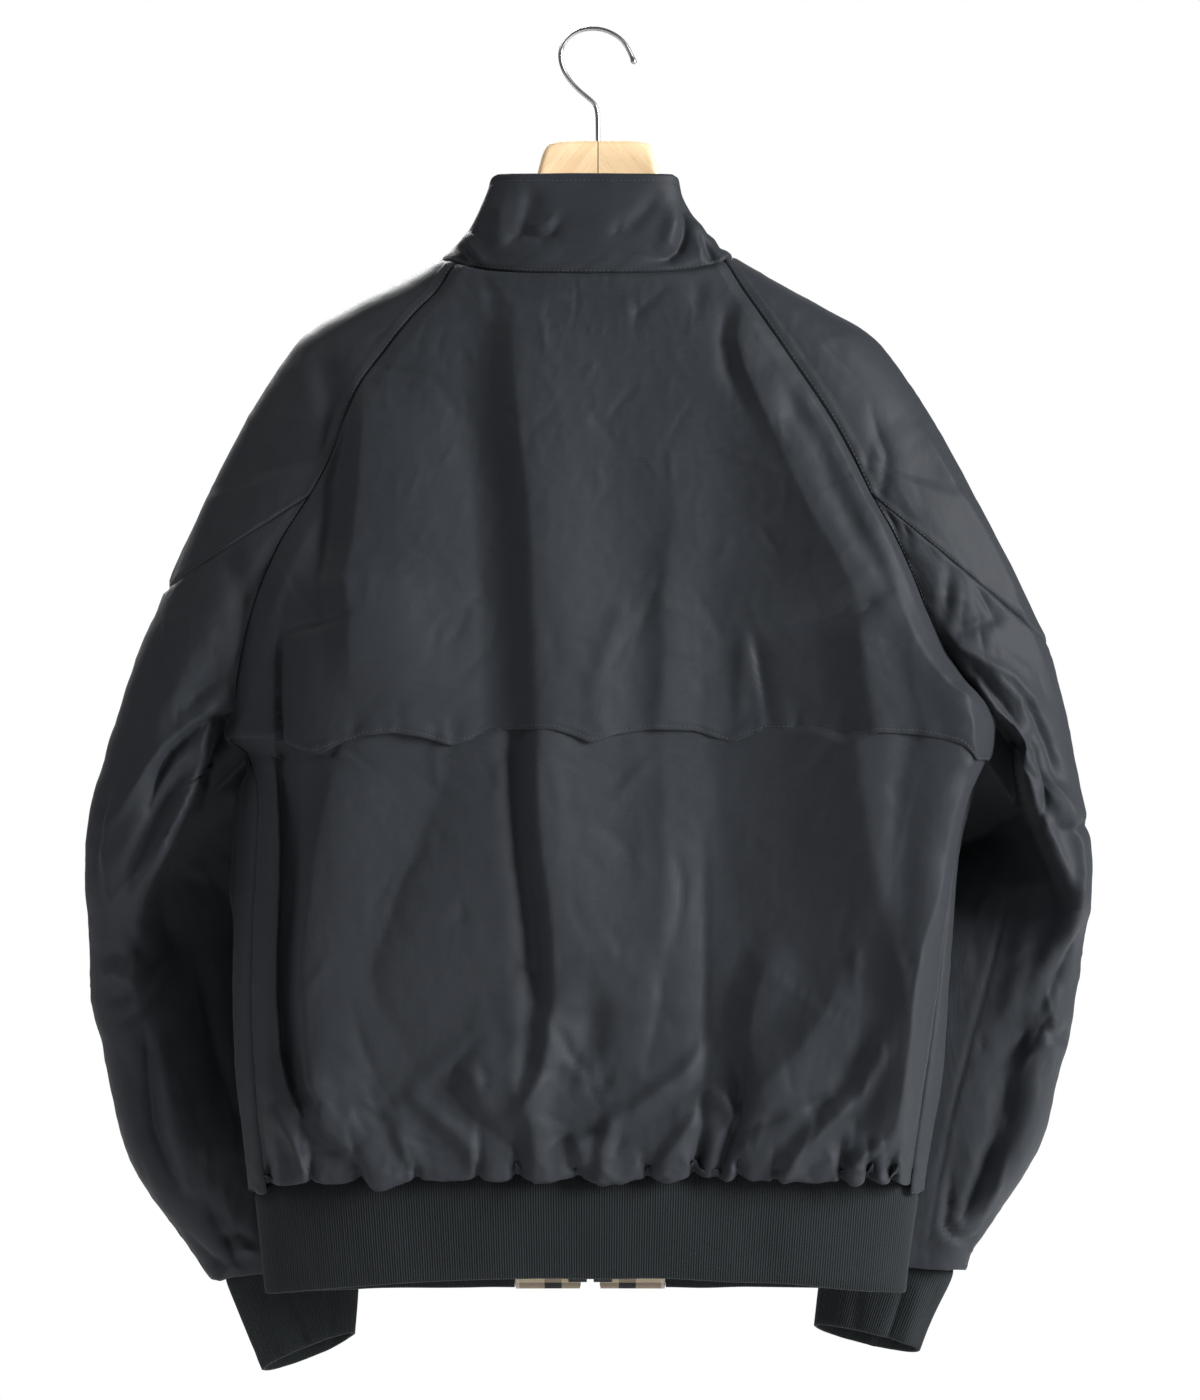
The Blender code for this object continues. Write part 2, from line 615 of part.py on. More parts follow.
# columns of the back: at the yoke's points and between them above, at the puffs' edges and middles at the hem
YOKE_U = (-216, -195, -174.5, -158, -140, -122, -106, -92, -77, -58, -40, -20, -4, 12, 30, 48, 66, 84.5, 98, 113, 128, 142,
          155.5, 170, 188, 208, 228)
BACK_COLS = len(YOKE_U) + 1
probe_xi = np.linspace(-1, 1, 401)
even = np.concatenate([[-1], np.interp(YOKE_U, back_surface(13.0, probe_xi)[:, 0], probe_xi), [1]])
knots = np.interp(np.arange(BACK_COLS + 1) / 2.0, np.arange(len(PUFFS)), PUFFS)
hem_x = (knots - CENTRE_U) / np.where(knots < CENTRE_U, 218.0, 213.0)
hem_end = np.where(knots < CENTRE_U, abs(hem_x[0]), abs(hem_x[-1]))
hem_xi = np.arcsin(np.clip(hem_x / hem_end * 0.955, -1, 1)) / np.arcsin(0.955)
hem_xi[0], hem_xi[-1] = -1, 1
mix = np.clip((BODY_V - 15) / 5, 0, 1)[:, None]
back_xi = even[None, :] * (1 - mix) + hem_xi[None, :] * mix
grids = {"back": back_surface(BODY_V[:, None], back_xi)}
for side in "lr":
    grids["front_" + side] = front_surface(side, BODY_V[:, None], FRONT_ETA[None, :])
    grids["cap_" + side] = sleeve_surface(side, CAP_V[:, None], SLEEVE_S[None, :])
    grids["arm_" + side] = sleeve_surface(side, ARM_V[:, None], SLEEVE_S[None, :])
weld = int(np.where(ARM_V == UNDERARM_ROW)[0][0])

norm = {}
middle = np.stack([np.full(BODY_V.shape, CENTRE_U), np.zeros(BODY_V.shape), np.full(BODY_V.shape, -400.0)], -1)
core = grids["back"].mean(axis=1, keepdims=True) * np.array([1, 0, 1])
norm["back"] = normals(grids["back"], core)
for side in "lr":
    norm["front_" + side] = normals(grids["front_" + side], grids["front_" + side].mean(axis=1, keepdims=True) * np.array([0.3, 0, 1]))
    for kind in ("cap_", "arm_"):
        g = grids[kind + side]
        norm[kind + side] = normals(g, g.mean(axis=1, keepdims=True) - np.array([0, 0, 8.0]), weld if kind == "arm_" else None)


def share(pairs):
    """Gives the grids that meet at a seam one direction there."""
    total = unit(sum(norm[g][i] for g, i in pairs))
    for g, i in pairs:
        norm[g][i] = total


for side, end in (("l", 0), ("r", -1)):
    for r, row in enumerate(BODY_V):
        if row > UNDERARM_ROW:                                    # side seam
            share([("back", (r, end)), ("front_" + side, (r, 0))])
        elif row != CROSS_ROW and row < UNDERARM_ROW:             # raglan seams
            piece, grid_v = ("cap_" + side, CAP_V) if row < CROSS_ROW else ("arm_" + side, ARM_V)
            k = int(np.where(grid_v == row)[0][0])
            share([("back", (r, end)), (piece, (k, 0))])
            share([("front_" + side, (r, 0)), (piece, (k, -1))])
    r = int(np.where(BODY_V == CROSS_ROW)[0][0])
    for j in range(1, len(SLEEVE_S) - 1):                         # seam across the sleeve
        share([("cap_" + side, (-1, j)), ("arm_" + side, (0, j))])
    share([("back", (r, end)), ("cap_" + side, (-1, 0)), ("arm_" + side, (0, 0))])
    share([("front_" + side, (r, 0)), ("cap_" + side, (-1, -1)), ("arm_" + side, (0, -1))])

# ---------------------------------------------------------------- collar grid stands on the neck seam
neck_parts = [("front_l", grids["front_l"][0, ::-1], norm["front_l"][0, ::-1]),
              ("cap_l", grids["cap_l"][0, ::-1][1:], norm["cap_l"][0, ::-1][1:]),
              ("back", grids["back"][0, 1:], norm["back"][0, 1:]),
              ("cap_r", grids["cap_r"][0, 1:], norm["cap_r"][0, 1:]),
              ("front_r", grids["front_r"][0, 1:], norm["front_r"][0, 1:])]
neck = np.concatenate([p[1] for p in neck_parts])
neck_n = np.concatenate([p[2] for p in neck_parts])
step = np.linalg.norm(np.diff(neck, axis=0), axis=1)
share_at = np.concatenate([[0], np.cumsum(step)]) / step.sum()


def collar_top(turn):
    """turn 0 at the wearer's left front end, 0.5 at the back, 1 at the right front end."""
    a = -np.pi / 2 - 2 * np.pi * (0.012 + 0.976 * turn)
    n = 2.5
    cu = -8.0 + 3 * np.cos(a / 2) * 0
    c, s = np.cos(a), np.sin(a)
    u = cu + 62.5 * np.sign(c) * np.abs(c) ** (2 / n)
    d = -9 + 47 * np.sign(s) * np.abs(s) ** (2 / n)
    z = -94.7 - 50 * np.clip((38 - d) / 94, 0, 1) ** 1.25
    return np.stack([u, d, z], -1)


top = collar_top(share_at)
heights = np.array([0.0, 0.3, 0.65, 1.0])
collar = neck[None] + (top - neck)[None] * heights[:, None, None]
collar_n = normals(collar, collar.mean(axis=1, keepdims=True))
shared = unit(collar_n[0] + neck_n)
collar_n[0] = shared
at = 0
for name, pts, _n in neck_parts:
    count = len(pts)
    seg = shared[at:at + count]
    if name == "front_l":
        norm["front_l"][0, ::-1] = seg
    elif name == "cap_l":
        norm["cap_l"][0, ::-1][1:] = seg
        norm["cap_l"][0, -1] = norm["front_l"][0, 0]
    elif name == "back":
        norm["back"][0, 1:] = seg
        norm["back"][0, 0] = norm["cap_l"][0, 0]
    elif name == "cap_r":
        norm["cap_r"][0, 1:] = seg
        norm["cap_r"][0, 0] = norm["back"][0, -1]
    else:
        norm["front_r"][0, 1:] = seg
        norm["front_r"][0, 0] = norm["cap_r"][0, -1]
    at += count

# ---------------------------------------------------------------- cloth pieces
paint(solid("back", tuck(grids["back"], ["first_row", "last_row", "first_col", "last_col"]), norm["back"], CLOTH), "shell")
for side, word in (("l", "left"), ("r", "right")):
    g = tuck(grids["front_" + side], ["first_row", "last_row", "first_col"])
    paint(solid("front_" + word, g, norm["front_" + side], CLOTH), "shell")
    g = tuck(grids["cap_" + side], ["first_row", "last_row", "first_col", "last_col"])
    paint(solid("sleeve_cap_" + word, g, norm["cap_" + side], CLOTH), "shell")
    g = tuck(grids["arm_" + side], ["first_row", "last_row", "first_col", "last_col"], weld)
    away = unit(grids["arm_" + side][weld + 1, 0] - grids["arm_" + side][weld, 0])
    g[weld, 0] = g[weld, -1] = grids["arm_" + side][weld, 0] + away * GAP
    paint(solid("sleeve_" + word, g, norm["arm_" + side], CLOTH, weld), "shell")

g = tuck(collar, ["first_row"])
paint(solid("collar", g, collar_n, COLLAR_WALL), "shell")

# yoke flap: the back's points moved out, ending in the scalloped edge
r12, r13, r14 = (int(np.where(BODY_V == row)[0][0]) for row in (12, 13, 14))
yoke = np.concatenate([grids["back"][:r12 + 1], grids["back"][:2]])
yn = np.concatenate([norm["back"][:r12 + 1], norm["back"][:2]])
yoke_v = np.concatenate([BODY_V[:r12 + 1], [12.6, 13.4]])
below, below_n = (x[[r12, r13, r14]] for x in (grids["back"], norm["back"]))
for j in range(BACK_COLS + 1):
    at_z = np.interp(below[1, j, 0], SCALLOP_T["u"], SCALLOP_T["z"])
    end = max(float(np.interp(-at_z, -below[:, j, 2], (0, 1, 2))), 0.45)
    for row, f in ((-2, 1.0 if end > 1.05 else 0.6 * end), (-1, end)):
        k = int(min(f, 1.999))
        part = f - k
        yoke[row, j] = below[k, j] * (1 - part) + below[k + 1, j] * part
        yn[row, j] = unit(below_n[k, j] * (1 - part) + below_n[k + 1, j] * part)
yoke[0] += unit(yoke[1] - yoke[0]) * 1.0
inset = np.interp(yoke_v, (0, 8, 12, 14), (0.8, 1.2, 5.5, 7.0))[:, None]
for col, nxt in ((0, 1), (-1, -2)):
    yoke[:, col] += unit(yoke[:, nxt] - yoke[:, col]) * inset
lift = np.interp(yoke_v, (0, 4, 14), (0.45, 0.6, 1.3))[:, None, None]      # stands off more where it hangs free
lift = np.repeat(lift, BACK_COLS + 1, axis=1)
lift[-3:, [0, -1]] += 1.9
paint(solid("yoke_flap", yoke + yn * (lift + FLAP), yn, FLAP), "shell")

# cuffs
CUFF_ROWS = np.array([0, 1, 2.0])
for side, word in (("l", "left"), ("r", "right")):
    g = cuff_surface(side, CUFF_ROWS[:, None], np.linspace(0, 1, 19)[None, :])
    n = normals(g, g.mean(axis=1, keepdims=True), 0)
    g[0] += unit(g[1] - g[0]) * GAP
    paint(solid("cuff_" + word, g, n, 2.4, 0), "rib")

# hem rib between the two cloth tabs
tab_turn = {}
for side, sign in (("l", -1), ("r", 1)):
    wide = HEM_LEFT if side == "l" else HEM_RIGHT
    tab_turn[side] = 1 - math.asin((FRONT_OPENING + TAB_WIDTH) / wide) / math.pi
turns = np.concatenate([-np.linspace(tab_turn["l"], 0, 23)[:-1], np.linspace(0, tab_turn["r"], 23)])
g = hem_surface(np.array([0, 0.5, 1.0])[:, None], turns[None, :])
g[0, :, 2] -= 1.2
n = normals(g, g.mean(axis=1, keepdims=True))
paint(solid("hem_rib", g, n, RIB_WALL), "rib")
for side, word, sign in (("l", "left", -1), ("r", "right", 1)):
    wide = HEM_LEFT if side == "l" else HEM_RIGHT
    last = 1 - math.asin(FRONT_OPENING / wide) / math.pi
    inset = 0.0006
    turns = sign * np.linspace(tab_turn[side] + inset, last, 4)
    g = hem_surface(np.array([0, 0.5, 1.0])[:, None], turns[None, :])
    g[0, :, 2] -= 1.2
    n = normals(g, g.mean(axis=1, keepdims=True) + np.array([0, 30.0, 0]))
    paint(solid("hem_tab_" + word, g, n, CLOTH), "shell")
    f = g - n * (CLOTH + GAP)
    f[0, :, 2] -= 1.0
    f[-1, :, 2] -= 1.5
    f = f + (f.mean(axis=1, keepdims=True) - f) * 0.02
    paint(solid("tab_lining_" + word, f, n, 0.9), "lining")

# ---------------------------------------------------------------- zip up the middle of the front
zip_v = np.concatenate([[0.15], BODY_V[1:]])
edge = front_surface("l", zip_v, 1.0)
line_z = np.concatenate([edge[:, 2], [-745.0, -775.0, -803.0]])
line_d = np.concatenate([edge[:, 1], [-36.8, -36.6, -36.6]])       # behind the tabs' lining below the fronts
line_d[len(edge) - 2:len(edge)] = -38.5, -36.8


def zip_strip(name, first, last, rear, wall, material, top_cut=0):
    us = CENTRE_U + np.array([first, last])
    zz, dd = line_z[top_cut:], line_d[top_cut:]
    p = np.stack([np.stack([np.full(zz.shape, u), dd + rear, zz], -1) for u in us], 1)
    n = normals(p, p + np.array([0, 50.0, 0]))
    paint(solid(name, p, n, wall), material)


tape_rear = CLOTH + 0.8
zip_strip("zip_tape_left", -14.0, -2.2, tape_rear, 0.8, "zip_tape")
zip_strip("zip_tape_right", 2.2, 14.0, tape_rear, 0.8, "zip_tape")
zip_strip("zip_chain", -2.9, 2.9, -0.4, 2.0, "zip_metal", 1)

slider_z = float(line_z[1]) + 1.2
slider_d = float(line_d[1])
X0 = -CENTRE_U
front_plate = box_mesh("zip_slider", (X0 - 4.6, slider_d - 3.5, slider_z - 8), (X0 + 4.6, slider_d - 2.0, slider_z + 5), 0.5)
rear_plate = cutter(box_mesh("slider_rear", (X0 - 4.6, slider_d + 4.6, slider_z - 8), (X0 + 4.6, slider_d + 5.8, slider_z + 1.6), 0.4))
wedge = cutter(box_mesh("slider_wedge", (X0 - 1.7, slider_d - 2.6, slider_z + 0.4), (X0 + 1.7, slider_d + 5.2, slider_z + 1.3)))
bail = cutter(box_mesh("slider_bail", (X0 - 0.8, slider_d - 7.4, slider_z - 3.6), (X0 + 0.8, slider_d - 3.0, slider_z + 2.6), 0.3))
bail_hole = cutter(box_mesh("slider_bail_hole", (X0 - 3, slider_d - 6.5, slider_z - 2.4), (X0 + 3, slider_d - 3.75, slider_z + 1.4)))
for other in (rear_plate, wedge, bail):
    boolean(front_plate, other, "UNION")
boolean(front_plate, bail_hole, "DIFFERENCE")
paint(front_plate, "zip_metal")

# pull tab: a bar through the bail, two legs and a plate, hanging; its origin is on the bar
PIVOT = (X0, slider_d - 5.35, slider_z - 1.0)


def around_pivot(obj):
    """Puts the object's origin on the bar."""
    shift = np.array(PIVOT) * MM
    for vert in obj.data.vertices:
        vert.co.x -= shift[0]
        vert.co.y -= shift[1]
        vert.co.z -= shift[2]
    obj.location = tuple(shift)
    return obj


px, py, pz = PIVOT
pull = box_mesh("zip_pull_tab", (px - 2.6, py - 0.55, pz - PULL_LENGTH), (px + 2.6, py + 0.55, pz - 4.6), 0.35)
leg_l = cutter(box_mesh("pull_leg_a", (px - 2.3, py - 0.5, pz - 5.4), (px - 1.2, py + 0.5, pz + 0.5)))
leg_r = cutter(box_mesh("pull_leg_b", (px + 1.2, py - 0.5, pz - 5.4), (px + 2.3, py + 0.5, pz + 0.5)))
bar = cutter(box_mesh("pull_bar", (px - 2.1, py - 0.45, pz - 0.45), (px + 2.1, py + 0.45, pz + 0.45)))
eye = cutter(box_mesh("pull_slot", (px - 1.1, py - 2, pz - PULL_LENGTH + 2.6), (px + 1.1, py + 2, pz - PULL_LENGTH + 7.0)))
for other in (leg_l, leg_r, bar):
    boolean(pull, other, "UNION")
boolean(pull, eye, "DIFFERENCE")
around_pivot(pull)
paint(pull, "zip_metal")

# ---------------------------------------------------------------- hanger
SECTION = 16


def arm(name, sign):
    """Rounded sections lofted from the mitre in the middle to the shoulder end."""
    rows = []
    for i in range(len(ARMS_T["u"])):
        hi, lo, half = ARMS_T["top"][i], ARMS_T["bottom"][i], ARMS_T["half"][i]
        cz, hz = (hi + lo) / 2, (hi - lo) / 2
        pts = []
        for k in range(SECTION):
            a = 2 * math.pi * (k + 0.5) / SECTION
            c, s = math.cos(a), math.sin(a)
            pw = 0.45 if i < 6 else 0.6
            pts.append((sign * ARMS_T["u"][i], half * math.copysign(abs(c) ** pw, c), cz + hz * math.copysign(abs(s) ** pw, s)))
        rows.append(pts)
    pts = world(np.array(rows))
    count = len(rows)
    verts = [tuple(q) for q in pts.reshape(-1, 3)]
    faces = []
    for i in range(count - 1):
        for k in range(SECTION):
            j = (k + 1) % SECTION
            faces.append((i * SECTION + k, i * SECTION + j, (i + 1) * SECTION + j, (i + 1) * SECTION + k))
    faces.append(tuple(range(SECTION))[::-1])
    faces.append(tuple((count - 1) * SECTION + k for k in range(SECTION)))
    mesh = bpy.data.meshes.new(name)
    mesh.from_pydata(verts, [], faces)
    bm = bmesh.new()
    bm.from_mesh(mesh)
    bmesh.ops.recalc_face_normals(bm, faces=bm.faces)
    bm.to_mesh(mesh)
    bm.free()
    return add(name, mesh, 50)


bore = bmesh.new()
bmesh.ops.create_cone(bore, cap_ends=True, segments=16, radius1=(HOOK_WIRE / 2 + 0.35) * MM, radius2=(HOOK_WIRE / 2 + 0.35) * MM, depth=32 * MM)
bmesh.ops.translate(bore, vec=(0, 0, -82.0 * MM), verts=bore.verts)
bore_mesh = bpy.data.meshes.new("hook_bore")
bore.to_mesh(bore_mesh)
bore.free()
bore_obj = cutter(add("hook_bore", bore_mesh))
for word, sign in (("left", -1), ("right", 1)):
    wood = arm("hanger_arm_" + word, sign)
    boolean(wood, bore_obj, "DIFFERENCE")
    paint(wood, "beech")

# hook: one wire bent through the named points, read from a smooth curve
knots = np.array(HOOK, float)
chord = np.concatenate([[0], np.cumsum(np.linalg.norm(np.diff(knots, axis=0), axis=1))])
total = chord[-1]
samples = np.linspace(0, total, 40)


def catmull(t):
    i = int(np.clip(np.searchsorted(chord, t) - 1, 0, len(knots) - 2))
    p1, p2 = knots[i], knots[i + 1]
    p0 = knots[i - 1] if i else 2 * p1 - p2
    p3 = knots[i + 2] if i + 2 < len(knots) else 2 * p2 - p1
    h = chord[i + 1] - chord[i]
    f = (t - chord[i]) / h
    m1 = (p2 - p0) / (h + (chord[i] - chord[i - 1] if i else h)) * h
    m2 = (p3 - p1) / (h + (chord[i + 2] - chord[i + 1] if i + 2 < len(knots) else h)) * h
    return (p1 * (1 + 2 * f) * (1 - f) ** 2 + m1 * f * (1 - f) ** 2 + p2 * f * f * (3 - 2 * f) + m2 * f * f * (f - 1))


wire = bpy.data.curves.new("hanger_hook", "CURVE")
wire.dimensions = "3D"
wire.bevel_depth = HOOK_WIRE / 2 * MM
wire.bevel_resolution = 2
wire.use_fill_caps = True
spline = wire.splines.new("POLY")
spline.points.add(len(samples) - 1)
for point, t in zip(spline.points, samples):
    u, z = catmull(t)
    point.co = (-u * MM, 0, z * MM, 1)
hook = bpy.data.objects.new("hanger_hook", wire)
PART.objects.link(hook)
paint(hook, "chrome")
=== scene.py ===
"""Harrington jacket on a wooden hanger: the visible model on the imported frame.

The tables are the part's own, in millimetres in the hanging frame: u to the wearer's right (world -X), d to the wearer's
back (world +Y), z up, zero at the inside top of the hook.  A row v counts down the garment: 0 neck seam, 14 underarm,
23 hem.  Creases are written as lines in the frame of the view from behind, 0.64 mm to one unit.
"""

import math

import bmesh
import bpy
import numpy as np
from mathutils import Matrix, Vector

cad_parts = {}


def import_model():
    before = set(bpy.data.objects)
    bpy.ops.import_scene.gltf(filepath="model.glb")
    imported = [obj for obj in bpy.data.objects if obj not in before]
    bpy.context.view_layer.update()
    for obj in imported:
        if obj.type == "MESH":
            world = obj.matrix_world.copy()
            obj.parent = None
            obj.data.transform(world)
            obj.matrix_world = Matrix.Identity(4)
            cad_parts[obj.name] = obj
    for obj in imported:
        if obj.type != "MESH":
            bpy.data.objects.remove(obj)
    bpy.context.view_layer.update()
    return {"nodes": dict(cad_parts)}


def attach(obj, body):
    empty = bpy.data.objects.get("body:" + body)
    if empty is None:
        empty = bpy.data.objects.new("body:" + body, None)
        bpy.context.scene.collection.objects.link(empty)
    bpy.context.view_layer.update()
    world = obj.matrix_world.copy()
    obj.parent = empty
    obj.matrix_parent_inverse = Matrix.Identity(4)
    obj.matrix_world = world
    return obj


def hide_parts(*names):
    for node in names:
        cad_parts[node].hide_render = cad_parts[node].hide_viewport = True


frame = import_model()


MM = 0.001
CLOTH = 1.6
WALL = 0.9             # drawn thickness of the shell cloth with its facing, mm
CENTRE_U = -5.0        # centre line of the body
UNDERARM_ROW = 14
FRONT_OPENING = 6.5
TAB_WIDTH = 44.0
HEM_LEFT, HEM_RIGHT = 214.8, 209.8
HOOK_WIRE = 2.8
RIB_PITCH = 0.0016     # m to one rib of the knit
SHELL_COLOUR = (0.0178, 0.0204, 0.0246)
RIB_COLOUR = (0.0138, 0.0166, 0.0182)
FLOOR_Z = -1.05
AMBIENT = 0.13
# name, place, aim, size m, watts, colour
LIGHTS = (
    ("key", (-4.06, 1.84, 0.7), (0, 0, -0.45), (1.6, 2.2), 512.0),
    ("fill", (3.0, 1.0, 2.5), (0, 0, -0.45), (1.5, 2.4), 64.0),
    ("front", (1.0, -3.6, 1.9), (0, 0, -0.45), (1.4, 1.8), 215.0),
)


# ---------------------------------------------------------------- tables
# body rows: depth of the middle of the back and front, height of the middle of the back and front
BODY = """
v    back  front  z_back  z_front
0    42    46     -157.5  -199
1    45    49     -172    -211
2    48    51     -190    -223
3    51    53     -211    -237
4    53    54     -231    -251
5    55    55     -252    -267
6    56    56     -275    -285
7    57    57     -298    -304
8    58    58     -324    -327
9    59    58     -348    -350
10   60    58     -375    -376
11   60    58     -402    -402
12   60    58     -424    -424
13   60    58     -446    -446
14   60    58     -465    -465
15   60    58     -492    -492
16   60    57     -531    -531
17   59    56     -572    -572
18   57    54     -620    -620
19   55    51     -665    -665
20   53    49     -703    -703
21   51    47     -724    -726
22   47    43     -737    -741
23   41    39     -732    -736
"""
# raglan seams: place of the back seam on each side and its depth; the front seam has its own place near the neck
RAGLAN = """
v    ul      zl      el    ur     zr      er    front_in  front_drop  ef
0    -90     -150    24    80     -148.5  24    6         13          26
1    -101    -167    32    91.5   -167    32    4         9           33
2    -118.5  -185.5  38    106    -188    38    3         6           38
3    -135.5  -207.5  42    121.5  -210.5  42    2         3           41
4    -150    -226.5  44    137    -233    44    0         0           43
5    -160.5  -249    45    150.5  -254    45    0         0           44
6    -169.5  -274.5  45.5  162.5  -276    45.5  0         0           45
7    -182.5  -298    45.5  173.5  -298    45.5  0         0           45
8    -200.5  -326    44    187    -321.5  45    0         0           44
9    -212.5  -351.5  41    198    -345    43    0         0           41
10   -222    -380    36    208.5  -371    40    0         0           36
11   -228.5  -412    30    219    -393.5  36    0         0           30
12   -231.5  -435    22    233.5  -415.5  28    0         0           22
13   -236    -450.5  12    252    -443.5  14    0         0           12
14   -223    -464.6  4     246    -464.5  4     0         0           4
"""
# body below the underarm: widest reach on each side, side seam on each side, height at the sides
SIDES = """
v    wide_l  wide_r  seam_l  seam_r  z_side
14   -224    246.6   -223    246     -464.6
15   -229    239.4   -216.3  234.2   -492
16   -230    230.4   -217.6  225.9   -531
17   -232    227.2   -220.2  221.4   -572
18   -233    224     -220.8  215.7   -620
19   -232    220.8   -218.9  209.3   -665
20   -227.5  214.4   -215.7  203.5   -705
21   -225    210.5   -213.1  201     -728
22   -223.5  208.5   -211.2  199.7   -743
23   -221    206     -209    197     -738
"""
# sleeve rows: outer edge T, then below the underarm the inner edge B, and half thickness h, slant k of the widest line
SLEEVE_L = """
v    tu      tz      td    bu      bz      bd    h     k
0    -100.5  -146.5  0     0       0       0     0     0
1    -124    -159.5  0     0       0       0     0     0
2    -154    -174.5  0     0       0       0     0     0
3    -187    -195    -1    0       0       0     0     0
4    -211    -226    -2    0       0       0     0     0
5    -230    -258.5  -3    0       0       0     0     0
6    -251    -300    -4    0       0       0     46    0
7    -275    -356.5  -6    0       0       0     46.5  0
8    -292    -393    -8    0       0       0     46.5  0
9    -304.5  -428    -10   0       0       0     46    0
10   -316    -464.5  -13   0       0       0     45    0
11   -324.5  -492    -16   0       0       0     44    0
12   -329    -521    -19   0       0       0     43    0
13   -329.5  -546.5  -23   0       0       0     42    0
14   -327.5  -572    -27   -223    -464.6  0     41    0
15   -327.5  -596    -31   -227    -492    -32   40    0
16   -327    -619    -35   -214    -531    -57   38    0
17   -320.5  -649    -41   -201    -572    -72   36    0.08
18   -312.5  -686    -47   -192.5  -620    -80   34    0.10
19   -305.5  -716    -52   -187    -665    -84   32    0.10
20   -292.5  -743.5  -57   -181    -710    -86   31    0.08
21   -275    -768.5  -61   -172    -748    -87   30    0.05
22   -259    -791    -63   -158    -776    -88   28    0
23   -250    -803    -64   -147    -791    -90   25    0
24   -243.5  -799    -66   -154    -787    -88   19.5  0
"""
SLEEVE_R = """
v    tu      tz      td    bu      bz      bd    h     k
0    86.5    -144.5  0     0       0       0     0     0
1    116.5   -162    0     0       0       0     0     0
2    146     -178    0     0       0       0     0     0
3    175.5   -196    -1    0       0       0     0     0
4    199.5   -226    -2    0       0       0     0     0
5    219.5   -258    -3    0       0       0     0     0
6    245     -305    -4    0       0       0     46    0
7    287.5   -391    -7    0       0       0     46.5  0
8    295     -415.5  -9    0       0       0     46.5  0
9    301     -441    -11   0       0       0     46    0
10   306     -468    -14   0       0       0     45    0
11   311     -492    -17   0       0       0     44    0
12   315     -511.5  -20   0       0       0     43    0
13   316     -534    -24   0       0       0     42    0
14   316     -562.5  -28   246     -464.5  0     41    0
15   313     -591.5  -32   247     -492    -32   40    0
16   308.5   -617    -36   226     -531    -57   38    0
17   304     -646    -41   207     -572    -73   36    0.08
18   294     -676.5  -47   198     -620    -81   34    0.10
19   286     -710    -52   192     -665    -85   32    0.10
20   274     -736.5  -57   187     -710    -87   31    0.08
21   257.5   -762    -61   180     -748    -88   30    0.05
22   243     -786    -63   165     -775    -89   28    0
23   238     -798    -64   138     -789    -90   25    0
24   232.5   -795    -66   145     -786    -88   19.5  0
"""
# cuffs: rows down the rib-knit tube, t the outer edge, b the inner edge, rise of the back over the front at the mouth
CUFF_L = """
row  tu      tz      td    bu      bz      bd    h     rise
0    -242.3  -801    -66   -155.5  -789    -88   18    0
1    -233    -826    -68   -156.5  -815    -88   18.5  1
2    -218    -862    -70   -158.5  -841    -87   18    5
"""
CUFF_R = """
row  tu      tz      td    bu      bz      bd    h     rise
0    231.2   -797    -66   146.6   -788    -88   18    0
1    221.5   -820    -68   143.5   -812    -88   18.5  1
2    209.5   -850    -70   140.8   -835.5  -87   18    5
"""
# lower edge of the yoke flap, from the wearer's left to the right: five points between shallow arcs
SCALLOP = """
u       z
-240    -452
-215    -452.5
-187    -456.5
-174.5  -460
-162.5  -454.5
-145.5  -450
-128    -448.5
-111.5  -451
-92     -457
-77.5   -452
-56     -446.5
-29     -446.5
-15.5   -450.5
-4      -455.5
9       -450.5
33      -446.5
61      -447.5
72.5    -451
84.5    -455.5
93.5    -452
107     -447.5
134.5   -447.5
144.5   -450.5
155.5   -455.5
166     -451
175.5   -448.5
200     -449.5
226     -453
237.5   -458
256     -464.5
"""
# gathers of the body into the hem rib: edges of the puffs along the back
PUFFS = (-212, -184, -152, -116, -77, -52, -12, 32, 61, 90, 113, 156, 173, 189, 202)
# hanger arms: half width sections from the middle out, heights of the upper and lower edge, half thickness
ARMS = """
u     top    bottom  half
0.3   -70.5  -132    10
20    -70.5  -134    10.5
31    -71.5  -136    11
34.5  -75    -138    11.5
38    -88    -140    12
42    -105   -143    12
50    -124   -148    12.5
66    -140   -157    13
86    -156   -171    13
105   -166   -184    13
130   -179   -200    14
155   -192.5 -212    15
175   -206   -222    15
186   -216   -228    12
"""
# hook wire, bottom to tip
HOOK = ((0, -96), (0, -84), (0, -72), (-0.1, -60), (-0.4, -52), (-1.6, -47.2), (-5, -44), (-12.2, -38), (-17.3, -32.6),
        (-21.3, -26.5), (-23.6, -20.3), (-24.2, -14.5), (-22.6, -8.6), (-17.6, -2.9), (-11, 0.6), (-5, 1.5), (0, 1.4),
        (4.5, 0.5), (11.5, -2.8), (16.6, -7.2), (21.4, -15.6), (23.6, -21.4))



# ---------------------------------------------------------------- reading tables
def table(text):
    rows = [r.split() for r in text.strip().splitlines()]
    cols = list(zip(*[[float(c) for c in r] for r in rows[1:]]))
    return {name: np.array(c) for name, c in zip(rows[0], cols)}


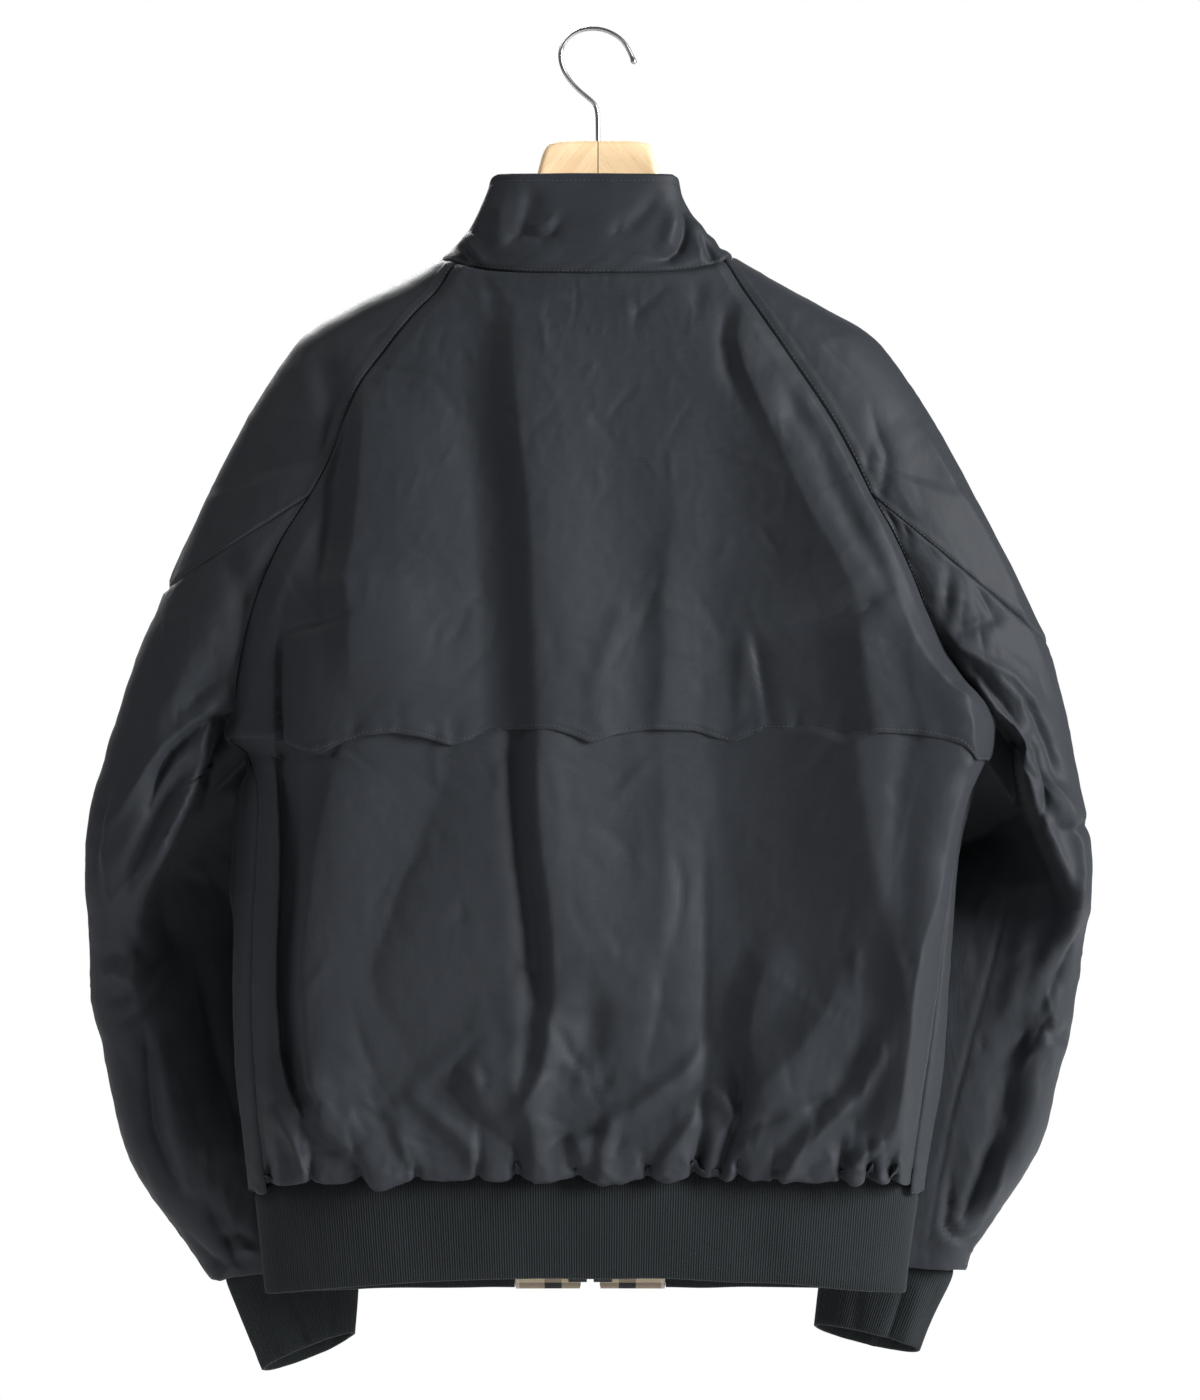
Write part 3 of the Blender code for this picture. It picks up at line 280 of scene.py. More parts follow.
def smooth(xs, ys, x):
    """Monotone cubic through the table's points."""
    xs, ys, x = np.asarray(xs, float), np.asarray(ys, float), np.asarray(x, float)
    h = np.diff(xs)
    s = np.diff(ys) / h
    m = np.zeros_like(ys)
    same = s[1:] * s[:-1] > 0
    w1, w2 = 2 * h[1:] + h[:-1], h[1:] + 2 * h[:-1]
    with np.errstate(divide="ignore", invalid="ignore"):
        inner = (w1 + w2) / (w1 / s[:-1] + w2 / s[1:])
    m[1:-1] = np.where(same, inner, 0.0)
    m[0], m[-1] = s[0], s[-1]
    i = np.clip(np.searchsorted(xs, x) - 1, 0, len(h) - 1)
    t = np.clip((x - xs[i]) / h[i], 0.0, 1.0)
    a, b = ys[i], ys[i + 1]
    return (a * (1 + 2 * t) * (1 - t) ** 2 + h[i] * m[i] * t * (1 - t) ** 2
            + b * t * t * (3 - 2 * t) + h[i] * m[i + 1] * t * t * (t - 1))


BODY_T, RAGLAN_T, SIDES_T = table(BODY), table(RAGLAN), table(SIDES)
SLEEVE_T = {"l": table(SLEEVE_L), "r": table(SLEEVE_R)}
CUFF_T = {"l": table(CUFF_L), "r": table(CUFF_R)}
SCALLOP_T, ARMS_T = table(SCALLOP), table(ARMS)


# ---------------------------------------------------------------- surfaces of the garment, mm (u, d, z)
def body_rows():
    """Half widths of the body's level sections, so that each seam lies at its own depth."""
    v = BODY_T["v"]
    squareness = 2.2 + 0.4 * np.minimum(v, 14) / 14
    rows = {"v": v, "n": squareness}
    for side, sign in (("l", -1), ("r", 1)):
        seam, wide, zed, front = [], [], [], []
        for i, row in enumerate(v):
            if row <= UNDERARM_ROW:
                edge = (RAGLAN_T["u" + side][i] - CENTRE_U) * sign
                e, ef = RAGLAN_T["e" + side][i], RAGLAN_T["ef"][i]
                n = squareness[i]
                wide.append(edge / (1 - (e / BODY_T["back"][i]) ** n) ** (1 / n))
                seam.append(edge)
                zed.append(RAGLAN_T["z" + side][i])
                fedge = edge - RAGLAN_T["front_in"][i]
                front.append((fedge, fedge / (1 - (ef / BODY_T["front"][i]) ** n) ** (1 / n)))
            else:
                j = int(row - UNDERARM_ROW)
                wide.append((SIDES_T["wide_" + side][j] - CENTRE_U) * sign)
                seam.append((SIDES_T["seam_" + side][j] - CENTRE_U) * sign)
                zed.append(SIDES_T["z_side"][j])
                front.append((seam[-1], wide[-1]))
        rows[side] = {"wide": np.array(wide), "seam": np.array(seam), "z": np.array(zed),
                      "fseam": np.array([f[0] for f in front]), "fwide": np.array([f[1] for f in front])}
    return rows


ROWS = body_rows()


def back_surface(v, xi):
    """xi from -1 at the wearer's left seam to 1 at the right seam."""
    v, xi = np.broadcast_arrays(np.asarray(v, float), np.asarray(xi, float))
    n, b = smooth(ROWS["v"], ROWS["n"], v), smooth(ROWS["v"], BODY_T["back"], v)
    zc = smooth(ROWS["v"], BODY_T["z_back"], v)
    left = xi < 0

    def pick(key):
        return np.where(left, smooth(ROWS["v"], ROWS["l"][key], v), smooth(ROWS["v"], ROWS["r"][key], v))

    wide, seam, ze = pick("wide"), pick("seam"), pick("z")
    x = np.sin(np.abs(xi) * np.arcsin(np.clip(seam / wide, 0, 0.9999)))
    u = CENTRE_U + np.sign(xi) * x * wide
    z = zc + (ze - zc) * np.abs(xi) ** 3
    full = np.clip(1 - x ** n, 0, 1) ** (1 / n)
    d = b * full
    return np.stack([u, d, z], -1)


def front_surface(side, v, eta):
    """eta from 0 at the raglan or side seam to 1 at the front edge."""
    v, eta = np.broadcast_arrays(np.asarray(v, float), np.asarray(eta, float))
    sign = -1 if side == "l" else 1
    r = ROWS[side]
    n, b, f = (smooth(ROWS["v"], q, v) for q in (ROWS["n"], BODY_T["back"], BODY_T["front"]))
    low = v > UNDERARM_ROW
    wide = np.where(low, smooth(ROWS["v"], r["wide"], v), smooth(ROWS["v"], r["fwide"], v))
    seam = np.where(low, smooth(ROWS["v"], r["seam"], v), smooth(ROWS["v"], r["fseam"], v))
    at = np.arcsin(np.clip(seam / wide, 0, 0.9999))
    first = np.where(low, at, np.pi - at)
    last = np.pi - np.arcsin(FRONT_OPENING / wide)
    a = first + (last - first) * eta
    x = np.sin(a)
    full = np.clip(1 - np.abs(x) ** n, 0, 1) ** (1 / n)
    d = np.where(np.cos(a) > 0, b * full, -f * full)
    u = CENTRE_U + sign * x * wide
    zc = smooth(ROWS["v"], BODY_T["z_front"], v)
    placket = np.clip((62 - np.abs(u - CENTRE_U)) / 12, 0, 1) * (v > 20) * low
    placket = placket * placket * (3 - 2 * placket)
    zc = zc * (1 - placket) + placket * np.interp(v, (20, 23), (-703, -736))
    d = d * (1 - placket) + placket * np.interp(v, (20, 23), (-49, -39)) * full
    drop = np.interp(v, RAGLAN_T["v"], RAGLAN_T["front_drop"])
    ze = smooth(ROWS["v"], r["z"], v) - drop
    z = zc + (ze - zc) * (1 - eta) ** 3
    # the low rows share the side seam with the back
    edge = back_surface(v, float(sign))
    here = low & (eta < 1e-6)
    return np.where(here[..., None], edge, np.stack([u, d, z], -1))


def ring(back_in, front_in, outer, h, k, s):
    """Section of a sleeve: s from 0 at the inner back over the outer edge at 0.5 to 1 at the inner front."""
    mid = (back_in + front_in) / 2
    axis = outer - mid
    size = np.linalg.norm(axis, axis=-1, keepdims=True)
    unit = axis / size
    deep = np.array([0.0, 1.0, 0.0]) - unit * unit[..., 1:2]
    deep /= np.linalg.norm(deep, axis=-1, keepdims=True)
    rear = s <= 0.5
    near = np.where(rear[..., None], back_in, front_in)
    w = np.abs(((near - mid) * deep).sum(-1))
    hh = np.maximum(h, w + 1e-6)
    last = np.pi - np.arcsin(np.clip(w / hh, 0, 1))
    last = np.where(h <= w, np.pi / 2, last)
    phi = last * np.where(rear, 1 - 2 * s, 2 * s - 1)
    p = 1 - (1 - np.cos(phi)) / (1 - np.cos(last))
    p = p + k * np.sin(phi) ** 2 * (1 - (w / hh) ** 2)
    q = hh * np.sin(phi) * np.where(rear, 1, -1)
    rest = near - (mid + deep * (w * np.where(rear, 1, -1))[..., None])
    return mid + axis * p[..., None] + deep * q[..., None] + rest * np.clip(1 - p, 0, 1)[..., None]


def sleeve_surface(side, v, s):
    v, s = np.broadcast_arrays(np.asarray(v, float), np.asarray(s, float))
    t = SLEEVE_T[side]
    sign = -1.0 if side == "l" else 1.0
    outer = np.stack([smooth(t["v"], t[c], v) for c in ("tu", "td", "tz")], -1)
    h, k = smooth(t["v"], t["h"], v), smooth(t["v"], t["k"], v)
    up = np.minimum(v, UNDERARM_ROW)
    open_back, open_front = back_surface(up, sign), front_surface(side, up, 0.0)
    low = v >= UNDERARM_ROW
    keep = t["v"] >= UNDERARM_ROW
    inner = np.stack([smooth(t["v"][keep], t[c][keep], np.maximum(v, UNDERARM_ROW)) for c in ("bu", "bd", "bz")], -1)
    under = (open_back + open_front) / 2
    inner = np.where((v == UNDERARM_ROW)[..., None], under, inner)
    back_in = np.where(low[..., None], inner, open_back)
    front_in = np.where(low[..., None], inner, open_front)
    return ring(back_in, front_in, outer, h, k, s)


def cuff_surface(side, row, s):
    t = CUFF_T[side]
    row, s = np.broadcast_arrays(np.asarray(row, float), np.asarray(s, float))
    outer = np.stack([smooth(t["row"], t[c], row) for c in ("tu", "td", "tz")], -1)
    inner = np.stack([smooth(t["row"], t[c], row) for c in ("bu", "bd", "bz")], -1)
    h = smooth(t["row"], t["h"], row)
    p = ring(inner, inner, outer, h, np.zeros_like(h), s)
    p[..., 2] += smooth(t["row"], t["rise"], row) * np.sin(2 * np.pi * s)
    return p


def hem_surface(v, turn):
    """Rib round the hem. v 0 top to 1 lower edge; turn 0 at the middle of the back, -1 and 1 at the middle of the front,
    through the wearer's left for minus."""
    v, turn = np.broadcast_arrays(np.asarray(v, float), np.asarray(turn, float))
    a = np.abs(turn) * np.pi
    n = 2.6
    left, right = HEM_LEFT - 7.5 * v, HEM_RIGHT - 7.5 * v
    x = np.sin(a)
    full = np.clip(1 - np.abs(x) ** n, 0, 1) ** (1 / n)
    u = CENTRE_U + np.where(turn < 0, -left, right) * x
    d = np.where(np.cos(a) > 0, 40.0 - 0.8 * v, -(38.4 - 0.2 * v)) * full
    top = np.where(np.cos(a) > 0, -732 - 6 * np.abs(x) ** 3, -736 - 2 * np.abs(x) ** 3)
    low = np.where(np.cos(a) > 0, -795 - 12 * np.abs(x) ** 2.2, -806 - 1 * np.abs(x) ** 2)
    return np.stack([u, d, top + (low - top) * v], -1)



# ================================================================ fine surfaces
CAMERA_D = 5000.0      # the camera's distance from the hanger's plane, mm
PX = 0.64              # mm to one pixel of the photograph's frame at the hanger's plane
MID_X = 590.2          # the body's centre line in the frame


def px(p):
    """Where the camera sees each point, in the photograph's pixels."""
    s = CAMERA_D / (CAMERA_D - p[..., 1])
    return 600 + (p[..., 0] - 1.28) * s / PX, 700 + (-p[..., 2] - 428.16) * s / PX


def step01(t):
    t = np.clip(t, 0, 1)
    return t * t * (3 - 2 * t)


def noise2(x, y, seed):
    """Smooth value noise from -1 to 1 on a unit lattice."""
    rng = np.random.default_rng(seed)
    lattice = rng.uniform(-1, 1, (256, 256))
    xi, yi = np.floor(x).astype(int), np.floor(y).astype(int)
    fx, fy = x - xi, y - yi
    fx, fy = fx ** 3 * (fx * (fx * 6 - 15) + 10), fy ** 3 * (fy * (fy * 6 - 15) + 10)
    a, b = lattice[xi % 256, yi % 256], lattice[(xi + 1) % 256, yi % 256]
    c, e = lattice[xi % 256, (yi + 1) % 256], lattice[(xi + 1) % 256, (yi + 1) % 256]
    return (a * (1 - fx) + b * fx) * (1 - fy) + (c * (1 - fx) + e * fx) * fy


def strokes(x, y, rows):
    """Sum of the creases. A row is name, kind, height mm, the widths on the two sides of its line in pixels, and points
    (x, y, share of the height). Kind s is soft, g has a flat bottom, c is a crest or trough with a crease in it, and e is a
    ramp that ends in a crest, with the ramp on the first side and a long soft fall on the second. w is e with an even ramp, and b rises on its
    second side only, steepest at the line. Walking along the line,
    the first width is on the walker's right in a frame with y down seen from behind, that is image left when going down."""
    total = np.zeros(np.shape(x))
    for _name, kind, height, w1, w2, line in rows:
        pts = np.array([(q[0], q[1]) for q in line], float)
        scale = np.array([q[2] if len(q) > 2 else 1.0 for q in line], float)
        reach = (5.5 if kind == "b" else 3.2) * max(w1, w2)
        near = ((x > pts[:, 0].min() - reach) & (x < pts[:, 0].max() + reach)
                & (y > pts[:, 1].min() - reach) & (y < pts[:, 1].max() + reach))
        if not near.any():
            continue
        qx, qy = x[near], y[near]
        best, side, size, past = np.full(qx.shape, 1e9), np.zeros(qx.shape), np.zeros(qx.shape), np.zeros(qx.shape)
        for k in range(len(pts) - 1):
            sx, sy = pts[k + 1] - pts[k]
            length = sx * sx + sy * sy
            free = ((qx - pts[k, 0]) * sx + (qy - pts[k, 1]) * sy) / length
            t = np.clip(free, 0, 1)
            dx, dy = qx - pts[k, 0] - t * sx, qy - pts[k, 1] - t * sy
            dist = np.hypot(dx, dy)
            closer = dist < best
            best = np.where(closer, dist, best)
            over = np.maximum(-free if k == 0 else -1.0, free - 1 if k == len(pts) - 2 else -1.0)
            past = np.where(closer, np.clip(over, 0, None) * np.sqrt(length), past)
            cross = (sx * dy - sy * dx) / np.sqrt(length)
            side = np.where(closer, cross, side)
            size = np.where(closer, scale[k] * (1 - t) + scale[k + 1] * t, size)
        # the width passes smoothly from one side to the other
        turn = 2.5 if kind in "ew" else (1.2 if kind == "b" else 0.6 * min(w1, w2))
        mixing = step01(side / turn * 0.5 + 0.5)
        width = w1 * mixing + w2 * (1 - mixing)
        if kind in "ewb":
            size = size * np.exp(-(past / np.maximum(0.6 * width, 9.0)) ** 2)
        t = best / width
        if kind == "s":
            shape = np.exp(-t * t)
        elif kind == "g":
            shape = np.exp(-t ** 4)
        elif kind == "e":
            ramp = np.clip(1 - t / 1.25, 0, 1) ** 1.5
            shape = ramp * mixing + np.exp(-t * t) * (1 - mixing)
        elif kind == "w":
            ramp = np.clip(1 - t / 1.15, 0, 1) ** 1.15
            shape = ramp * mixing + np.exp(-t * t) * (1 - mixing)
        elif kind == "b":
            shape = (1 - mixing) * (1 - np.exp(-2.2 * t)) * np.exp(-(t / 2.5) ** 2)
        else:
            shape = np.exp(-(np.sqrt(t * t + 0.05) - 0.2236) * 1.35)
            shape = shape * np.exp(-(t / 2.4) ** 4)
        total[near] += height * size * shape
    return total


def crumple(x, y, seed, cell):
    """Small creases with rounded valleys and sharper crests, about 0 to 1."""
    wx = x + 0.5 * cell * noise2(x / cell / 1.7, y / cell / 1.7, seed + 5)
    wy = y + 0.5 * cell * noise2(x / cell / 1.7 + 40, y / cell / 1.7, seed + 6)
    a = 1 - np.abs(noise2(wx / cell, wy / cell, seed))
    b = 1 - np.abs(noise2(wx / cell * 2.1 + 9, wy / cell * 2.1, seed + 1))
    return a ** 2 * 0.75 + b ** 2 * 0.25 - 0.42


# ---------------------------------------------------------------- creases of the upper back and the yoke
UPPER = (
    ("long step", "e", 9, 42, 80, ((518, 296, 0), (512, 325, .5), (514, 374, .8), (519, 420, 1), (528, 500, 1), (532, 580, 1), (535, 650, 1), (537, 715, 1), (539, 752, 1))),
    ("hollow beside it", "s", -4, 34, 16, ((496, 300, 0), (490, 330, .8), (488, 374, 1), (490, 428, 1), (501, 504, 1), (505, 581, 1), (508, 640, 1), (512, 752, 1))),
    ("step beside the left raglan", "e", 8, 22, 70, ((366, 384, 0), (362, 420, .8), (358, 485, 1), (352, 543, 1), (347, 580, 1), (351, 606, .9), (353, 630, .7), (354, 660, .4), (354, 700, 0))),
    ("hollow beside it", "s", -4.5, 14, 12, ((348, 396, 0), (340, 440, .8), (335, 500, 1), (328, 540, .9), (322, 570, .3), (318, 592, 0))),
    ("facet of the buckle", "c", -1.6, 3, 8, ((288, 572, .2), (295, 586, 1), (304, 598, .9), (314, 607, .2))),
    ("lower edge of the buckle", "c", -2.8, 3, 7, ((280, 637, .1), (296, 631, .9), (322, 625, 1), (346, 618, .8), (360, 610, 0))),
    ("rise from the raglan strip", "b", 14, 2, 58, ((289, 566, 0), (286, 596, .35), (282, 630, .7), (277, 660, .95), (274, 690, 1), (274, 715, 1), (276, 752, 1))),
    ("wide step at the buckle", "e", 5, 48, 60, ((349, 552, 0), (350, 585, .8), (353, 618, 1), (353, 650, .7), (350, 700, 0))),
    ("foot of it", "c", -8, 2.2, 14, ((281, 622, 0), (280, 655, .8), (279, 700, 1), (281, 752, 1))),
    ("narrow step from the right neck", "e", 4.6, 13, 40, ((746, 298, 0), (739, 318, .7), (736, 340, 1), (744, 368, 1), (757, 400, .8), (775, 435, .3), (790, 470, 0))),
    ("narrow hollow beside it", "s", -2.2, 10, 8, ((734, 303, 0), (728, 318, .8), (726, 340, 1), (730, 368, 1), (740, 392, .6), (750, 412, 0))),
    ("facet", "e", 7, 50, 90, ((748, 372, 0), (767, 420, .8), (785, 460, 1), (805, 503, 1), (828, 545, .9), (850, 583, .7), (862, 604, 0))),
    ("broad hollow", "g", -12.5, 185, 130, ((748, 400, .1), (758, 470, .5), (780, 560, .9), (797, 640, 1), (800, 752, 1))),
    ("broad rise to the facet", "w", 16, 118, 190, ((772, 424, 0), (803, 500, .6), (835, 555, 1), (854, 600, 1), (859, 650, 1), (868, 700, 1), (873, 752, 1))),
    ("step under the facet", "e", 5.5, 34, 30, ((866, 606, .2), (856, 640, 1), (860, 680, 1), (868, 715, 1), (872, 752, 1))),
    ("lower edge of the facet", "c", -2.4, 7, 22, ((771, 630, .2), (810, 624, .8), (845, 616, 1), (869, 603, .8))),
    ("soft hollow by the right seam", "s", -3, 12, 12, ((783, 372, 0), (794, 413, 1), (817, 441, .8), (830, 480, .8), (852, 525, 1), (880, 570, .8), (909, 612, .8), (926, 640, 0))),
    ("step by the right seam", "e", 14, 44, 12, ((944, 636, 0), (954, 668, .7), (962, 700, 1), (968, 745, 1))),
    ("narrow band", "c", -3, 3, 9, ((752, 628, 0), (758, 655, 1), (764, 690, .8), (770, 745, .5))),
    ("narrow band 2", "e", 1.8, 10, 14, ((742, 620, 0), (743, 660, 1), (741, 690, .6), (742, 740, .4))),
    ("middle step", "e", 2.8, 18, 34, ((678, 488, 0), (671, 535, .8), (665, 568, 1), (661, 600, .8), (664, 650, 1), (660, 700, 1), (657, 750, .8))),
    ("middle crease", "c", -1.1, 7, 5, ((664, 556, .2), (657, 585, 1), (649, 608, 1), (637, 636, .8), (632, 664, .2))),
    ("middle crease 2", "e", 1.5, 13, 22, ((634, 588, 0), (617, 619, .9), (602, 655, 1), (596, 696, 1), (592, 750, .8))),
    ("soft fall right of the middle", "s", 3, 40, 40, ((664, 400, 0), (668, 480, 1), (672, 560, 1), (672, 700, .8))),
    ("soft crest at the left", "s", 2.5, 34, 44, ((418, 380, 0), (414, 500, 1), (408, 600, 1), (404, 740, .8))),
    ("seam crease", "c", -1.8, 6, 4, ((357, 388, 0), (370, 375, .8), (385, 369, 1), (405, 371, .8), (428, 374, 0))),
    ("light crease", "c", -1.1, 5, 5, ((440, 654, 0), (459, 631, 1), (474, 600, 0))),
    ("light crease 2", "c", -1.1, 5, 5, ((489, 655, 0), (497, 627, 1), (500, 600, 0))),
    ("below the collar", "c", -1.1, 6, 6, ((674, 281, 0), (655, 297, 1), (637, 313, 1), (630, 336, 0))),
    ("below the collar 2", "c", -0.9, 5, 5, ((545, 293, 0), (580, 296, 1), (620, 295, 1), (668, 288, 0))),
    ("below the collar 3", "c", -0.8, 5, 5, ((560, 303, 0), (600, 305, 1), (640, 301, 0))),
    ("neck corner left", "s", -1.6, 8, 10, ((478, 276, 0), (492, 296, 1), (496, 330, 0))),
    ("neck corner right", "s", -1.6, 8, 8, ((700, 276, 0), (698, 296, 1), (690, 330, 0))),
)

# ---------------------------------------------------------------- creases of the lower back
LOWER = (
    ("narrow step below the yoke", "e", 7.5, 16, 120, ((538, 715, .9), (536, 750, 1), (536, 800, 1), (541, 856, 1), (548, 900, 1), (553, 960, 1), (554, 1000, .6), (553, 1018, .1))),
    ("hollow beside it", "s", -6, 14, 9, ((518, 715, .9), (518, 760, 1), (520, 800, 1), (524, 856, 1), (530, 900, 1), (536, 960, 1), (538, 1008, .3))),
    ("broad rise to it", "e", 4, 84, 30, ((537, 730, 1), (536, 800, 1), (541, 856, .8), (548, 900, .5), (552, 960, 0))),
    ("slit", "g", -11, 3.0, 18, ((279, 735, .3), (281, 770, .6), (283, 800, .9), (285, 850, 1), (284, 900, 1), (282, 950, 1), (282, 1000, 1), (285, 1050, 1), (293, 1084, 1), (301, 1104, .8), (309, 1118, .1))),
    ("rise beside the slit", "b", 13, 2, 56, ((275, 735, 1), (278, 770, .9), (282, 800, .6), (288, 850, .2), (290, 880, 0))),
    ("crest beside the slit", "e", 11, 18, 60, ((338, 765, .2), (333, 790, .6), (326, 815, .8), (319, 850, 1), (313, 900, 1), (306, 950, 1), (303, 1000, 1), (307, 1050, 1), (313, 1085, .9), (318, 1104, .3))),
    ("fold from its foot", "e", 6.5, 11, 34, ((300, 1090, .5), (322, 1124, 1), (356, 1153, 1), (372, 1186, 1))),
    ("left branch", "e", 4.5, 9, 12, ((276, 1106, .3), (283, 1125, 1), (299, 1151, 1), (310, 1186, 1))),
    ("left tuck", "c", -3, 5, 7, ((262, 1108, .3), (272, 1103, 1), (284, 1100, .6))),
    ("outer branch", "c", -2.2, 5, 6, ((262, 1110, .2), (264, 1140, 1), (270, 1186, 1))),
    ("diagonal hollow", "b", 6.5, 3, 60, ((450, 765, .2), (426, 826, .7), (402, 880, 1), (388, 925, 1), (372, 965, 1), (378, 1000, .8), (400, 1036, .5), (416, 1062, .2))),
    ("facet crest", "s", 1.6, 12, 12, ((411, 1099, .3), (436, 1069, 1), (452, 1056, 1), (478, 1032, 1), (502, 1006, .5))),
    ("facet", "b", 10, 3, 30, ((492, 1024, .1), (472, 1046, .7), (454, 1068, 1), (456, 1090, 1), (470, 1112, 1), (500, 1136, .6), (516, 1148, .1))),
    ("lower branch of the facet", "e", 3.4, 9, 14, ((411, 1096, .4), (440, 1122, 1), (470, 1150, 1), (479, 1180, 1))),
    ("short crease", "e", 3.6, 8, 14, ((388, 1118, .3), (400, 1138, 1), (411, 1164, 1), (414, 1186, 1))),
    ("short arc", "c", -2.8, 7, 6, ((356, 1104, .2), (372, 1114, 1), (392, 1124, .7))),
    ("small tuck", "c", -2.2, 5, 6, ((366, 1085, .2), (376, 1102, 1), (391, 1104, .6))),
    ("apex step", "e", 6.5, 13, 14, ((554, 1004, .2), (548, 1018, 1), (546, 1045, 1), (541, 1069, 1), (530, 1092, 1), (520, 1110, .4))),
    ("apex line", "c", -2.2, 6, 5, ((548, 1014, .3), (562, 1038, 1), (576, 1062, 1), (602, 1086, .3))),
    ("bright band", "s", 1.5, 12, 9, ((514, 985, .3), (514, 1020, 1), (515, 1060, 1), (513, 1096, .6))),
    ("upright step", "e", 5, 10, 22, ((526, 1100, .3), (530, 1125, 1), (532, 1150, 1), (532, 1182, 1))),
    ("hollow right of the apex", "s", -5, 16, 18, ((588, 970, 0), (592, 1010, 1), (590, 1046, .9), (580, 1070, 0))),
    ("arc crease", "c", -3.4, 5, 9, ((549, 1146, .2), (560, 1138, .9), (572, 1133, 1), (586, 1131, 1), (604, 1130, .3))),
    ("crease to 584", "e", 4, 8, 14, ((570, 1132, .3), (576, 1144, 1), (580, 1160, 1), (582, 1184, 1))),
    ("crease to 600", "e", 4, 8, 16, ((612, 1114, .2), (606, 1132, 1), (600, 1150, 1), (598, 1182, 1))),
    ("long crease", "e", 4, 10, 12, ((704, 1048, .3), (684, 1072, 1), (660, 1088, 1), (634, 1106, 1), (608, 1122, .5))),
    ("crease to 650", "e", 4, 9, 16, ((702, 1108, .4), (688, 1126, 1), (672, 1146, 1), (654, 1170, 1), (648, 1184, .8))),
    ("upright crease", "c", -4.5, 26, 42, ((703, 800, 0), (705, 880, .8), (705, 960, 1), (705, 1030, 1), (706, 1080, .5), (706, 1096, .1))),
    ("line in it", "c", -1.2, 3, 4, ((704, 820, 0), (706, 900, .8), (706, 1000, 1), (706, 1096, .6))),
    ("hook crease", "c", -5, 6, 7, ((704, 1096, .6), (702, 1110, 1), (702, 1128, 1), (698, 1150, 1), (694, 1182, 1))),
    ("hook crest", "e", 4.5, 8, 8, ((736, 1122, .3), (732, 1110, 1), (722, 1098, 1), (708, 1091, 1), (700, 1096, .4))),
    ("dome step", "e", 8, 24, 62, ((790, 948, 0), (767, 966, .6), (754, 1000, 1), (750, 1040, 1), (752, 1075, 1), (757, 1100, .9), (748, 1124, .3))),
    ("deep trough", "c", -9, 9, 8, ((738, 1060, .2), (741, 1080, .8), (742, 1100, 1), (737, 1120, 1), (728, 1150, .9), (716, 1184, .8))),
    ("second step", "e", 8.5, 32, 54, ((842, 968, .2), (828, 998, 1), (812, 1026, 1), (795, 1050, 1), (770, 1074, 1), (746, 1100, .6))),
    ("third step", "e", 9, 34, 12, ((878, 1024, .2), (872, 1050, .9), (858, 1085, 1), (845, 1102, 1), (815, 1130, 1), (792, 1155, 1), (776, 1182, .9))),
    ("trough before it", "s", -4, 12, 10, ((862, 1020, .2), (856, 1050, .9), (842, 1080, 1), (826, 1100, 1), (800, 1126, 1), (780, 1152, 1), (764, 1182, .9))),
    ("crease across", "c", -3.0, 5, 8, ((742, 1134, .7), (765, 1120, 1), (794, 1108, 1), (820, 1102, .8), (848, 1096, .4))),
    ("crease to 738", "e", 4, 9, 14, ((744, 1126, .4), (738, 1146, 1), (728, 1166, 1), (724, 1184, .8))),
    ("crease to 843", "e", 4.5, 10, 12, ((897, 1130, .3), (880, 1142, .9), (862, 1154, 1), (848, 1168, 1), (841, 1186, 1))),
    ("crease to 868", "c", -3.2, 5, 6, ((884, 1146, .3), (872, 1160, 1), (868, 1188, 1))),
    ("crease to 892", "c", -3.2, 5, 6, ((899, 1146, .3), (890, 1160, 1), (893, 1190, 1))),
    ("broad hollow", "g", -13.5, 190, 140, ((800, 700, 1), (798, 800, 1), (800, 880, 1), (802, 960, .8), (806, 1010, .6), (812, 1080, .3), (816, 1140, 0))),
    ("wide rise", "w", 18, 124, 190, ((852, 735, 1), (861, 800, 1), (870, 860, 1), (879, 900, 1), (888, 950, 1), (895, 985, 1), (899, 1020, .9), (897, 1060, .6), (892, 1100, .3), (888, 1130, 0))),
    ("crest of the wide rise", "e", 7.5, 60, 110, ((850, 735, .8), (858, 800, 1), (865, 860, 1), (873, 900, 1), (884, 945, .5))),
    ("side step", "e", 17, 40, 14, ((964, 745, .7), (956, 800, 1), (946, 850, 1), (932, 900, 1), (917, 940, 1), (908, 985, 1), (905, 1040, 1), (900, 1085, 1), (895, 1118, .6), (890, 1140, .1))),
    ("side hollow", "s", -3, 16, 16, ((906, 735, 1), (896, 790, 1), (892, 850, 1), (894, 900, .9), (886, 950, .8), (880, 1000, 1), (870, 1050, .8), (864, 1100, 1), (858, 1130, .2))),
    ("side notch", "c", -3, 6, 6, ((901, 955, 1), (918, 948, .8), (934, 930, .1))),
    ("faint step", "e", 4, 38, 60, ((662, 740, .6), (664, 800, 1), (664, 860, 1), (662, 930, .8), (668, 990, 0))),
    ("faint crease", "c", -2, 6, 20, ((676, 920, .2), (666, 960, .8), (660, 1000, 1), (655, 1030, .8), (646, 1064, .4))),
    ("small crease", "c", -1.8, 5, 6, ((676, 850, .2), (682, 880, 1), (681, 905, 1), (676, 940, .3))),
    ("left strip", "c", 1.6, 7, 7, ((247, 800, 0), (245, 900, 1), (243, 1000, 1), (246, 1090, .5))),
    ("left strip foot", "c", -2.2, 6, 6, ((250, 1090, .2), (254, 1130, 1), (262, 1182, 1))),
    ("arc on the left dome", "c", -1.2, 6, 8, ((440, 930, 0), (462, 915, 1), (488, 910, .6), (505, 912, 0))),
    ("left dome crease", "c", -1.4, 8, 6, ((352, 1000, 0), (362, 1040, 1), (376, 1076, .8), (392, 1104, .2))),
)

